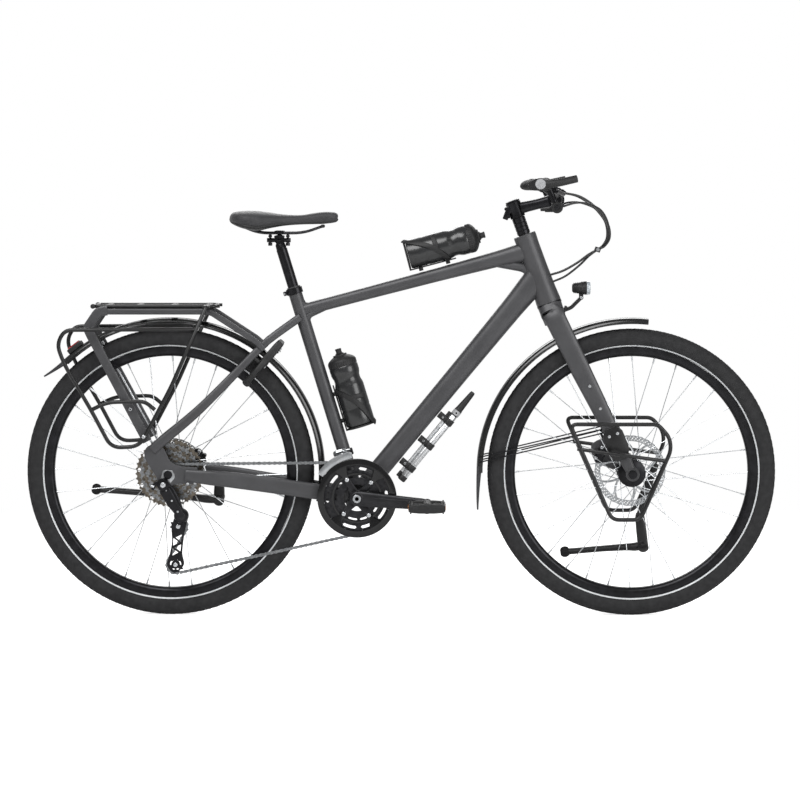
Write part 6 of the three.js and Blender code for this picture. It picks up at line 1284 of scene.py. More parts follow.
def makeCrank(side, name, node):
    look = crankLook
    bm = bmesh.new()
    end = crankEnds[side]
    root, tip = bracket + outward * side * look["rootY"] * mm, end + outward * side * look["endY"] * mm
    shares = (-0.075, -0.03, 0.05, 0.25, 0.6, 0.92, 1.02, 1.07)
    sizes = ((4.5, 12), (6.4, 18.5), (7, 20), (7, 18.5), (6.8, 16), (6.6, 14.5), (6.2, 12.5), (4, 8))
    addSkin(bm, [(root.lerp(tip, share), half, deep, outward) for share, (half, deep) in zip(shares, sizes)],
            28, 0.7)
    addPin(bm, tip - outward * side * 6.5 * mm, tip + outward * side * 6.5 * mm, 14, steps=32, ease=1.4)
    face = root + outward * side * 6.9 * mm
    addTurned(bm, [(15.5, -2), (15.5, 0.8), (14.4, 1.5), (12, 1.5), (11.4, 0.6), (0, 0.6), (0, -2)], face,
              outward * side, 36)
    addTurned(bm, [(0, 0), (10.2, 0), (10.2, 1.6), (9.2, 2.4), (5.2, 2.4), (4.6, 0.6), (0, 0.6)], face,
              outward * side, 32, materialIndex=1)
    if side < 0:
        spiderY = -look["spiderY"]
        for angle in look["spiderAngles"]:
            way = math.radians(angle)
            arm = [(polar(bracket, reach, way, spiderY - drop), wide, 2.4,
                    Vector((-math.sin(way), 0, math.cos(way))))
                   for reach, wide, drop in ((6, 14, -4), (20, 10.5, -3), (36, 7.6, -1), (46, 7.2, 0),
                                             (52, 7.2, 0), (56, 5.5, 0), (58.5, 2.5, 0))]
            addSkin(bm, arm, 16, 0.6)
        addPin(bm, bracket - outward * 48 * mm, bracket - outward * 66 * mm, 19, steps=36, ease=1)
        addPin(bm, bracket - outward * 62 * mm, bracket + outward * 63 * mm, 11.8, steps=28)
        # raised band along the arm
        band = [(root.lerp(tip, share) - outward * 6.2 * mm, 1.2, 6.5, outward)
                for share in (0.2, 0.3, 0.5, 0.7, 0.8)]
        addSkin(bm, band, 20, 0.7)
    makePiece(bm, name, ["crankAlloy", "groundSteel"], "crankset", node, 38)


ringLook = {
    "bigRoot": 87, "bigTeeth": 44, "tooth": 4.6, "smallRoot": 62.5, "smallTeeth": 32, "inner": 34,
    "guard": (99, 83), "bigY": -52, "smallY": -45, "guardY": -60.5, "thickness": 2.2,
}


def makeChainrings():
    look = ringLook
    bm = bmesh.new()
    y = look["bigY"]
    slots = []
    for angle in crankLook["spiderAngles"]:
        way = math.radians(angle)
        slots.append(arcSlot(bracket, 74, 3.6, way + math.radians(14), way + math.radians(36), y))
        slots.append(arcSlot(bracket, 74, 3.6, way + math.radians(50), way + math.radians(68), y))
        slots.append(arcSlot(bracket, 54, 2.6, way + math.radians(18), way + math.radians(38), y, 5))
        slots.append(arcSlot(bracket, 54, 2.6, way + math.radians(50), way + math.radians(66), y, 5))
    addPlate(bm, toothed(bracket, look["bigRoot"], look["tooth"], look["bigTeeth"], y), look["thickness"],
             outward, [ringHole(bracket, look["inner"], y), *slots], materialIndex=1)
    y = look["smallY"]
    slots = []
    for angle in crankLook["spiderAngles"]:
        way = math.radians(angle)
        slots.append(arcSlot(bracket, 54, 3, way + math.radians(17), way + math.radians(67), y, 8))
    addPlate(bm, toothed(bracket, look["smallRoot"], look["tooth"], look["smallTeeth"], y),
             look["thickness"], outward, [ringHole(bracket, look["inner"], y), *slots], materialIndex=1)
    # the guard: a wide rim, a thin inner rim and lugs between them
    outer, inner = look["guard"]
    y = look["guardY"]
    profile = [(inner, -1.2), (outer - 1.5, -1.6), (outer, -0.8), (outer, 0.8), (outer - 1.5, 1.6),
               (inner + 5, 1.9), (inner, 1.2)]
    addTurned(bm, profile, bracket + outward * y * mm, outward, 96, closed=True)
    addTurned(bm, [(58.5, -1), (63, -1), (63, 1), (58.5, 1)], bracket + outward * (y + 3) * mm, outward, 72,
              closed=True)
    for angle in crankLook["spiderAngles"]:
        way = math.radians(angle)
        side = Vector((-math.sin(way), 0, math.cos(way)))
        addSkin(bm, [(polar(bracket, reach, way, y + drop), wide, 1.3, side)
                     for reach, drop, wide in ((52, 2.6, 7), (66, 2.4, 8), (75, 1, 13), (inner + 3, 0, 19))],
                12, 0.5)
        bolt = polar(bracket, crankLook["boltCircle"], way)
        addPin(bm, bolt + outward * -43 * mm, bolt + outward * -59.5 * mm, 5.4, steps=20, materialIndex=0)
        addBolt(bm, bolt + outward * -59.5 * mm, -outward, 5, 2.2, 2)
    # pins and ramps on the big ring
    for i in range(12):
        way = 2 * math.pi * (i + 0.3) / 12
        addPin(bm, polar(bracket, 83.5, way, -50), polar(bracket, 83.5, way, -54), 1.6, steps=8,
               materialIndex=2)
    makePiece(bm, "chainringSet", ["glossGuard", "ringSteel", "stainless"], "crankset", "chainrings",
              35)


pedalLook = {"y": 136, "length": 92, "width": 90, "height": 24, "rail": 8.5}


def makePedal(side, name, body, node):
    look = pedalLook
    bm = bmesh.new()
    centre = crankEnds[side] + outward * side * look["y"] * mm
    length, width = look["length"] / 2, look["width"] / 2
    height = look["height"] / 2
    for way in (-1, 1):
        # outer rails with rounded corners, bowed a little
        rail = [(centre + Vector((x, 0, 0)) * mm + outward * way * (width - look["rail"] / 2) * mm, 4.2,
                 deep, outward)
                for x, deep in ((-length + 3, 7), (-length + 9, 10.5), (-18, height), (0, height),
                                (18, height), (length - 9, 10.5), (length - 3, 7))]
        addSkin(bm, rail, 16, 0.45)
        bar = [(centre + Vector((way * (length - 6), 0, 0)) * mm + outward * y * mm, 5.6, deep, ahead)
               for y, deep in ((-width + 4, 7), (-width + 12, 10), (0, height), (width - 12, 10),
                               (width - 4, 7))]
        addSkin(bm, bar, 16, 0.45)
        for y in (-0.3, 0.3):
            rib = [(centre + Vector((way * x, 0, 0)) * mm + outward * y * width * mm, 2.6, 8, outward)
                   for x in (14, 26, length - 6)]
            addSkin(bm, rib, 12, 0.5)
        addBlock(bm, centre + Vector((way * (length - 0.4), 0, 0)) * mm, (1.4, width * 0.9, 11), ease=0.4,
                 materialIndex=1)
        for y in (-0.72, -0.36, 0, 0.36, 0.72):  # studs
            for top in (-1, 1):
                place = centre + Vector((way * (length - 6), 0,
                                         top * (height - 1))) * mm + outward * y * width * mm
                addPin(bm, place, place + upward * top * 2.6 * mm, 1.9, steps=8)
    addPin(bm, centre - outward * (width - 2) * mm, centre + outward * (width - 2) * mm, 13, steps=32, ease=2)
    inner = centre - outward * side * (width - 1) * mm
    addPin(bm, inner, inner - outward * side * 6 * mm, 8.5, steps=20, materialIndex=2)
    addBolt(bm, centre + outward * side * (width - 2.2) * mm, outward * side, 7, 2, 2)
    makePiece(bm, name, ["mouldedNylon", "amberReflector", "stainless"], body, node, 40)


cassetteLook = {
    "teeth": (11, 13, 15, 17, 19, 21, 24, 28, 32, 37, 42), "firstY": -64.6, "pitchY": 3.5, "thickness": 1.7,
    "bore": 17, "tooth": 3.6,
}


def makeCassette():
    look = cassetteLook
    bm = bmesh.new()
    for i, teeth in enumerate(look["teeth"]):
        pitchRadius = 12.7 / (2 * math.sin(math.pi / teeth))
        root = pitchRadius - 2.4
        y = look["firstY"] + look["pitchY"] * i
        holes = [ringHole(rearAxle, look["bore"], y, 24)]
        if teeth > 26:
            inner = 12.7 / (2 * math.sin(math.pi / look["teeth"][i - 1])) - 6
            reach = max(0.5 * (inner + root), root - 11)
            number = 12 if teeth > 30 else 10
            for k in range(number):
                way = 2 * math.pi * k / number + 0.2 * i
                middle = polar(rearAxle, reach, way, y)
                holes.append(circlePoints(middle, 5.4 if teeth > 30 else 3.6, 12, ahead, upward))
            if teeth > 30:
                holes += [circlePoints(polar(rearAxle, reach - 13, 2 * math.pi * (k + 0.5) / 10 + 0.2 * i,
                                             y), 4.4, 12,
                                       ahead, upward) for k in range(10)]
        # every other sprocket takes the darker oiled finish as painted shade between the sprockets, the rest
        # the lighter nickel plate
        addPlate(bm, toothed(rearAxle, root, look["tooth"], teeth, y, 0.13 * i), look["thickness"], outward,
                 holes, materialIndex=2 if i % 2 else 0)
    last = look["firstY"] + look["pitchY"] * (len(look["teeth"]) - 1)
    addTurned(bm, [(16.2, 0), (19.5, 0), (19.5, last - look["firstY"] + 1),
                   (16.2, last - look["firstY"] + 1)],
              rearAxle + outward * (look["firstY"] - 0.5) * mm, outward, 36, closed=True, materialIndex=1)
    addTurned(bm, [(16, 0), (19, 0), (18.6, -1.6), (16.8, -2.2), (16, -2)],
              rearAxle + outward * (look["firstY"] - 1.2) * mm, outward, 36, closed=True, materialIndex=1)
    for k in range(12):  # the lock ring's notches
        way = 2 * math.pi * k / 12
        addBlock(bm, polar(rearAxle, 17.4, way, look["firstY"] - 3), (1.4, 1.6, 1.4), materialIndex=1)
    makePiece(bm, "sprocketStack", ["oiledSteelAndShade", "blackAnodised", "nickelPlate"], "sprockets", "cassette",
              35)


# The chain's line: the circles that it wraps, with the side that each centre lies on.
guideCentre, tensionCentre = byShare(rearAxle, 0.064, -0.363, -60), byShare(rearAxle, 0.044, -0.629, -60)
mechPivot = byShare(rearAxle, 0.089, -0.285, -60)
chainLook = {
    "pitch": 12.7, "endRadius": 4.1, "waist": 2.7, "plate": 0.9, "inner": 2.3, "outer": 3.3, "roller": 3.1,
    "wraps": {"ring": (bracket, 89.0, 1, -52), "cog": (rearAxle, 24.5, 1, -60),
              "guide": (guideCentre, 22.3, -1, -60), "tension": (tensionCentre, 22.3, 1, -60)},
}


def wrapHeading(a, b):
    (centreA, radiusA, turnA, _), (centreB, radiusB, turnB, _) = chainLook["wraps"][a], chainLook["wraps"][b]
    apart = Vector((centreB.x - centreA.x, 0, centreB.z - centreA.z))
    return math.atan2(apart.z, apart.x) + math.asin((turnA * radiusA - turnB * radiusB) * mm / apart.length)


def wrapContact(name, way):
    centre, radius, turn, y = chainLook["wraps"][name]
    return polar(centre, radius, way - turn * math.pi / 2, y)


def wrapLine(name, enter, leave):
    turn = chainLook["wraps"][name][2]
    sweep = ((leave - enter) * turn) % (2 * math.pi)
    count = max(2, round(sweep / math.radians(4)))
    return [wrapContact(name, enter + turn * sweep * i / count) for i in range(count + 1)]


# Links at a steady pitch along a line; those on a sprocket show no roller.
def addLinks(bm, line, bare):
    look = chainLook
    lengths = [0.0]
    for a, b in zip(line, line[1:]):
        lengths.append(lengths[-1] + (b - a).length)
    count = int(lengths[-1] / (look["pitch"] * mm))
    step = lengths[-1] / count
    pins, at = [], 0
    for i in range(count + 1):
        goal = min(i * step, lengths[-1] - 1e-9)
        while lengths[at + 1] < goal:
            at += 1
        pins.append(line[at].lerp(line[at + 1], (goal - lengths[at]) / (lengths[at + 1] - lengths[at])))
    half = step / 2
    ends = [(half + look["endRadius"] * mm * math.cos(a), look["endRadius"] * mm * math.sin(a))
            for a in (-1.4, -0.7, 0, 0.7, 1.4)]
    outline = ends + [(0, look["waist"] * mm)] + [(-x, z) for x,
                                                  z in reversed(ends)] + [(0, -look["waist"] * mm)]
    links = {}
    for kind in ("inner", "outer"):
        for rolled in (False, True):
            part = bmesh.new()
            for side in (-1, 1):
                y = side * look[kind] * mm
                addPlate(part, [Vector((x, y, z)) for x, z in outline], look["plate"], outward)
                if kind == "outer":
                    for x in (-half, half):
                        addPin(part, Vector((x, y, 0)), Vector((x, y + side * 0.9 * mm, 0)), 1.7, steps=8,
                               ease=0.2)
            if rolled:
                addPin(part, Vector((half, -2.2 * mm, 0)), Vector((half, 2.2 * mm, 0)), look["roller"],
                       steps=8, ease=0.2)
            mesh = bpy.data.meshes.new("link")
            part.to_mesh(mesh)
            part.free()
            links[kind, rolled] = mesh
    for i, (a, b) in enumerate(zip(pins, pins[1:])):
        way = (b - a).normalized()
        side = (outward - way * outward.dot(way)).normalized()
        turn = Matrix((way, side, way.cross(side))).transposed().to_4x4()
        rolled = not any((b - centre).length < reach * mm for centre, reach in bare)
        copy = links["inner" if i % 2 else "outer", rolled].copy()
        copy.transform(Matrix.Translation((a + b) / 2) @ turn)
        bm.from_mesh(copy)
        bpy.data.meshes.remove(copy)
    for mesh in links.values():
        bpy.data.meshes.remove(mesh)


def makeChain():
    topRun, dropRun = wrapHeading("ring", "cog"), wrapHeading("cog", "guide")
    crossRun, lowRun = wrapHeading("guide", "tension"), wrapHeading("tension", "ring")
    lowStart, lowEnd = wrapContact("tension", lowRun), wrapContact("ring", lowRun)
    dropStart, dropEnd = wrapContact("cog", dropRun), wrapContact("guide", dropRun)
    bare = [(bracket - outward * 52 * mm, 93), (rearAxle - outward * 60 * mm, 29)]
    bm = bmesh.new()
    addLinks(bm, [lowStart.lerp(lowEnd, 0.009 / (lowEnd - lowStart).length),
                  *wrapLine("ring", lowRun, topRun), *wrapLine("cog", topRun, dropRun),
                  dropStart.lerp(dropEnd, 0.45)], bare)
    makePiece(bm, "chainLinks", "nickelPlate", "frame", "chain", 35)
    bm = bmesh.new()
    bare = [(guideCentre, 26), (tensionCentre, 26)]
    addLinks(bm, [dropStart.lerp(dropEnd, 0.75), *wrapLine("guide", dropRun, crossRun),
                  *wrapLine("tension", crossRun, lowRun)], bare)
    makePiece(bm, "chainCageRun", "nickelPlate", "derailleur_arm", "chain_cage_run", 35)


def makePulley(centre, name, body, node, phase):
    bm = bmesh.new()
    y = centre.y / mm
    holes = [ringHole(centre, 5, y, 20)]
    for k in range(5):
        way = 2 * math.pi * k / 5 + phase
        holes.append(arcSlot(centre, 11.6, 2.5, way - 0.32, way + 0.32, y, 5))
    addPlate(bm, toothed(centre, 17.6, 4, 11, y, phase), 2.2, outward, holes)
    addTurned(bm, [(4.2, -3.7), (7.4, -3.7), (7.4, 3.7), (4.2, 3.7)], centre, outward, 28, closed=True,
              materialIndex=1)
    makePiece(bm, name, ["mouldedNylon", "blackAnodised"], body, node, 35)


mechLook = {"gap": 5, "plate": 1.8, "hangerShare": (-0.03, -0.065)}


def makeRearMech():
    look = mechLook
    bm = bmesh.new()
    along = (tensionCentre - guideCentre)
    way = along.normalized()
    off = Vector((-way.z, 0, way.x))
    head = (guideCentre - mechPivot).normalized()
    headOff = Vector((-head.z, 0, head.x))

    def band(y):
        side = [mechPivot - head * 0.012, mechPivot + headOff * 0.0155, guideCentre + off * 0.019,
                guideCentre + along * 0.3 + off * 0.0155, guideCentre + along * 0.7 + off * 0.0145,
                tensionCentre + off * 0.0205, tensionCentre + way * 0.0205,
                tensionCentre - off * 0.0205 + way * 0.004, guideCentre + along * 0.75 - off * 0.0165,
                guideCentre + along * 0.4 - off * 0.0125, guideCentre - off * 0.016,
                mechPivot - headOff * 0.0125, mechPivot - head * 0.012]
        return [Vector((place.x, y * mm, place.z)) for place in smoothLine(side, 4)[:-1]]

    def windows(y):
        found = []
        for low, high, lean in ((0.2, 0.4, 1), (0.3, 0.52, -1), (0.46, 0.66, 1), (0.58, 0.78, -1)):
            corners = [guideCentre + along * low + off * 0.0105 * lean,
                       guideCentre + along * high + off * 0.0098 * lean,
                       guideCentre + along * (low + high) / 2 - off * 0.0058 * lean]
            if lean < 0:
                corners.reverse()
            found.append([Vector((place.x, y * mm, place.z)) for place in corners])
        for k in range(3):
            turn = 2 * math.pi * k / 3
            found.append([Vector((place.x, y * mm, place.z))
                          for place in arcSlot(tensionCentre, 13, 2.4, turn, turn + 1.1, y, 4)])
        return found
    for side in (-1, 1):
        y = -60 + side * look["gap"]
        addPlate(bm, band(y), look["plate"], outward, windows(y), ease=0.0)
    for centre in (guideCentre, tensionCentre):
        addPin(bm, centre - outward * 6.4 * mm, centre + outward * 6.4 * mm, 3, steps=16, materialIndex=1)
        addBolt(bm, centre - outward * 6 * mm, -outward, 5.4, 2, 1)
    makePiece(bm, "derailleurCage", ["blackAnodised", "stainless"], "derailleur_arm", "derailleur_cage",
              40)
    bm = bmesh.new()
    hanger = byShare(rearAxle, *look["hangerShare"], 0)
    upper, lower = hanger + outward * -84.6 * mm, mechPivot * 1
    lower.y = -67 * mm
    addTurned(bm, [(0, 0), (14.5, 0), (16, 1.5), (16, 13), (14.4, 16.6), (9, 17.6), (0, 17.6)],
              upper + outward * 0.2 * mm, -outward, 36)
    addBolt(bm, upper - outward * 17.2 * mm, -outward, 6.5, 2.4, 1)
    addTurned(bm, [(0, 0), (17, 0), (18.4, 2), (18.4, 12), (16.6, 16), (0, 17.8)], lower, -outward, 40)
    addTurned(bm, [(0, 0), (10.4, 0), (10.4, 0.8), (9.4, 1.4), (4, 1.8), (0, 1.8)],
              lower - outward * 16.6 * mm, -outward, 32, materialIndex=2)
    middle = (upper + lower) / 2
    middle.y = -88 * mm
    links = ((-4, 6.5, 16.5, -84, -78), (5, 4, 14, -94, -86))
    for lift, half, deep, fromY, toY in links:
        start, end = upper * 1, lower * 1
        start.y, end.y = fromY * mm, toY * mm
        bow = Vector((-0.004, 0, 0.001)) * lift / 5
        addSkin(bm, [(start, half * 0.8, deep * 0.6, outward),
                     (start.lerp(end, 0.2) + bow, half, deep, outward),
                     (start.lerp(end, 0.55) + bow, half, deep * 0.94, outward),
                     (end, half * 0.8, deep * 0.62, outward)], 20, 0.5)
    for share in (0.16, 0.5, 0.84):
        place = upper.lerp(lower, share)
        place.y = -90 * mm
        addPin(bm, place - outward * 8 * mm, place + outward * 8 * mm, 2.6, steps=12, materialIndex=1)
    # the cable's arm and its adjuster
    arm = [(upper + Vector((-0.006, -0.006, 0.0)), 4, 7, outward),
           (upper + Vector((-0.017, -0.006, 0.004)), 3.4, 6, outward),
           (upper + Vector((-0.024, -0.006, -0.004)), 3, 5, outward),
           (upper + Vector((-0.027, -0.006, -0.013)), 2.4, 3.4, outward)]
    addSkin(bm, arm, 16, 0.7)
    adjuster = upper + Vector((-0.022, -0.008, -0.005))
    addPin(bm, adjuster, adjuster + Vector((-0.009, 0, 0.002)), 3.4, steps=14, materialIndex=1)
    makePiece(bm, "derailleurBody", ["blackAnodised", "stainless", "crankAlloy"], "frame", "derailleur_body",
              40)


frontMechLook = {"inner": 101, "outer": 116, "from": 97, "to": 148, "y": -52, "gap": 6.4, "clampAt": 112}


def makeFrontMech():
    look = frontMechLook
    bm = bmesh.new()
    first, last = math.radians(look["from"]), math.radians(look["to"])
    count = 16
    for side, deep in ((-1, 4), (1, 0)):
        y = look["y"] + side * look["gap"]
        outline = [polar(bracket, look["outer"] - (2 if i in (0, count) else 0),
                         first + (last - first) * i / count, y)
                   for i in range(count + 1)]
        outline += [polar(bracket, look["inner"] - deep * math.sin(math.pi * i / count),
                          last - (last - first) * i / count, y) for i in range(count + 1)]
        addPlate(bm, outline, 1.6, outward, ease=0.4)
    for angle in (100, 146):
        place = polar(bracket, 113, math.radians(angle), look["y"])
        addPin(bm, place - outward * 6.8 * mm, place + outward * 6.8 * mm, 2.2, steps=12)
    clamp = onSeatTube(look["clampAt"])
    addTurned(bm, [(17.3, -8), (21.6, -8), (22.2, -6.5), (22.2, 6.5), (21.6, 8), (17.3, 8)], clamp, seatUp,
              44, closed=True, materialIndex=1)
    body = clamp + seatAhead * -6 * mm
    stations = [(body + outward * y * mm + upward * up * mm + ahead * forth * mm, wide, deep, seatUp)
                for y, up, forth, wide, deep in ((-17, 0, 0, 9, 10), (-26, 2, -3, 10, 15),
                                                 (-36, 6, -5, 9, 17), (-43, 10, -6, 6, 14),
                                                 (-47, 12, -6, 3, 9))]
    addSkin(bm, stations, 24, 0.6)
    addBolt(bm, clamp - outward * 38 * mm + upward * 4 * mm + ahead * 6 * mm, -outward, 3.4, 12, 2)
    addPin(bm, clamp + Vector((-0.02, -0.03, 0.006)), clamp + Vector((0.014, -0.03, 0.012)), 3, steps=14,
           materialIndex=2)
    addRod(bm, [clamp + Vector((-0.004, -0.04, 0.006)), polar(bracket, 112, math.radians(110), -45.5),
                polar(bracket, 110, math.radians(124), -45.6)], 3, 12)
    makePiece(bm, "frontDerailleur", ["groundSteel", "blackAnodised", "stainless"], "frame",
              "front_derailleur", 40)


makeCrank(-1, "crankRight", "crank_right")
makeCrank(1, "crankLeft", "crank_left")
makeChainrings()
makePedal(-1, "pedalRight", "right_pedal", "pedal_right")
makePedal(1, "pedalLeft", "left_pedal", "pedal_left")
makeCassette()
makeChain()
makePulley(guideCentre, "guidePulley", "upper_pulley", "guide_pulley", 0.1)
makePulley(tensionCentre, "tensionPulley", "lower_pulley", "tension_pulley", 0.3)
makeRearMech()
makeFrontMech()
print("drive train made")


cockpit = {
    "bends": ((0, 0.14, 0), (-0.035, 0.3, 0.075), (-0.1, 0.56, 0.125), (-0.165, 1, 0.128)), "half": 300,
    "barRadius": 11.1, "clampRadius": 15.9, "clampHalf": 34, "bend": 30,
}


def barPoint(bend, side):
    return barCentre + Vector((bend[0], side * bend[1], bend[2])) * (cockpit["half"] * mm)


def onBar(share, side):
    bends = cockpit["bends"]
    after = next(i for i, bend in enumerate(bends) if bend[1] >= share)
    a, b = bends[after - 1], bends[after]
    return barPoint(a, side).lerp(barPoint(b, side), (share - a[1]) / (b[1] - a[1]))


def makeHandlebar():
    bm = bmesh.new()
    look = cockpit
    corners = [barPoint(bend, -1) for bend in reversed(look["bends"])]
    corners += [barPoint(bend, 1) for bend in look["bends"]]
    addRod(bm, bentLine(corners, look["bend"], 6), look["barRadius"], 24, sideways=upward)
    for side in (-1, 1):
        way = outward * side * mm
        addPin(bm, barCentre, barCentre + way * look["clampHalf"], look["clampRadius"], steps=32)
        addPin(bm, barCentre + way * (look["clampHalf"] - 1), barCentre + way * 62, look["clampRadius"],
               11.4, steps=32)
    makePiece(bm, "handlebarTube", "blackAnodised", "steering_unit", "handlebar", 40)


stemLook = {"spacer": 16.5, "clamp": (234, 274), "clampRadius": 19, "barClamp": (21, 22),
            "spacers": (190, 200, 210, 220, 233.6), "pinchBolts": (244, 264), "pinchOff": -21}


def makeStem():
    bm = bmesh.new()
    look = stemLook
    for low, high in zip(look["spacers"], look["spacers"][1:]):
        r = look["spacer"]
        addTurned(bm, [(14, low + 0.2), (r - 0.7, low + 0.2), (r, low + 0.9), (r, high - 0.9),
                       (r - 0.7, high - 0.2), (14, high - 0.2)], onSteerer(0), steerUp, 32, closed=True)
    low, high = look["clamp"]
    r = look["clampRadius"]
    addTurned(bm, [(14, low), (r - 1.2, low), (r, low + 1.2), (r - 1, low + 12), (r - 1, high - 12),
                   (r, high - 1.2), (r - 1.2, high), (14, high)], onSteerer(0), steerUp, 40, closed=True)
    addTurned(bm, [(0, high + 0.2), (17.4, high + 0.2), (18, high + 1), (17.6, high + 3.6), (15, high + 5),
                   (6, high + 5), (5.4, high + 3.4), (0, high + 3.4)], onSteerer(0), steerUp, 32)
    addBolt(bm, onSteerer(high + 3), steerUp, 4.6, 1.8, 1)
    # the pinch block behind the steerer, split down its middle, with its two screws
    for side in (-1, 1):
        addBlock(bm, onSteerer(254, look["pinchOff"], side * 7.2), (13, 12.6, 36),
                 pitched(headAngle - math.pi / 2), 1.6, 0)
    for height in look["pinchBolts"]:
        place = onSteerer(height, look["pinchOff"] - 0.5, -13.4)
        addBolt(bm, place, -outward, 4.6, 3, 1)
        addPin(bm, place, onSteerer(height, look["pinchOff"] - 0.5, 13), 3.2, steps=12, materialIndex=1)
    start, end = onSteerer(254, 14), barCentre - (barCentre - onSteerer(254)).normalized() * 16 * mm
    addSkin(bm, [(start.lerp(end, share), wide, deep, outward) for share, wide, deep in
                 ((0, 15.6, 15), (0.25, 14.2, 13.6), (0.6, 13.6, 13), (0.85, 15.4, 14.2), (1, 18, 15))], 28,
            0.72)
    r, half = look["barClamp"]
    addTurned(bm, [(16, -half), (r - 1.4, -half), (r, -half + 1.4), (r, half - 1.4), (r - 1.4, half),
                   (16, half)],
              barCentre, outward, 40, closed=True)
    # the faceplate's ears and its four screws
    way = (barCentre - onSteerer(254)).normalized()
    over = Vector((-way.z, 0, way.x))
    for lift in (-1, 1):
        for side in (-1, 1):
            ear = barCentre + (over * lift * 17 + outward * side * 15.5) * mm
            addPin(bm, ear - way * 15 * mm, ear + way * 13 * mm, 5.2, steps=14)
            addBolt(bm, ear + way * 13 * mm, way, 3.8, 2.6, 1)
    makePiece(bm, "stemAssembly", ["blackAnodised", "blackSteel"], "steering_unit", "stem", 40)


gripLook = {
    "radius": 15.5, "from": 0.595, "wingHalf": 24, "wingBack": 8,
            "horn": ((0, 0, 0), (34, 4, 2), (86, -6, 13)),
    "wings": ((0, 0), (0.06, 0), (0.2, 0.02), (0.4, 0.1), (0.55, 0.42), (0.7, 0.76), (0.84, 0.96), (0.94, 1),
              (1, 0.9)),
}


def makeGrip(side, word):
    bm = bmesh.new()
    look = gripLook
    inner, outer = onBar(look["from"], side), onBar(1, side)
    along = (outer - inner).normalized()
    up = Vector((-0.2, 0, 1)).normalized()
    back = (along.cross(up) * side).normalized()
    r = look["radius"]
    stations = []
    for share, wing in look["wings"]:
        place = inner.lerp(outer, share) - back * (look["wingBack"] * wing * mm)
        stations.append((place, r + wing * (look["wingHalf"] - r), r - 2.2 * wing, back))
    addSkin(bm, stations, 32)
    # the locking collar with its screw
    addPin(bm, inner - along * 1 * mm, inner + along * 8 * mm, 16.6, steps=32, ease=1.2, materialIndex=1)
    addBolt(bm, inner + along * 3.6 * mm + (ahead * 15.4 - upward * 5) * mm, ahead, 3, 2, 1)
    root = outer - along * 9.5 * mm
    horn = [root + Vector((reach, side * out, rise)) * mm for reach, out, rise in look["horn"]]
    addLimb(bm, [horn[0] - ahead * 4 * mm, *horn], (11, 10.5, 9.6, 9), (11.5, 11, 9.6, 9), outward, 6, 24,
            materialIndex=1)
    # the clamp that holds the horn, and the pale cap on the bar's end
    addPin(bm, outer - along * 18 * mm, outer - along * 0.8 * mm, 14.6, steps=32, ease=1.4, materialIndex=1)
    addPin(bm, outer - along * 1.4 * mm, outer + along * 1.4 * mm, 12.6, steps=32, ease=0.8, materialIndex=2)
    makePiece(bm, "grip" + word, ["gripRubber", "mouldedNylon", "paleCap"], "steering_unit",
              "grip_" + word.lower(), 45)


controlLook = {"place": 0.5, "pivot": (34, -12, -17), "pod": (22, 2, -52), "podRadius": 14.5, "podHalf": 12,
               "lever": {"tip": 0.84, "ahead": 0.035, "knee": 0.35}}


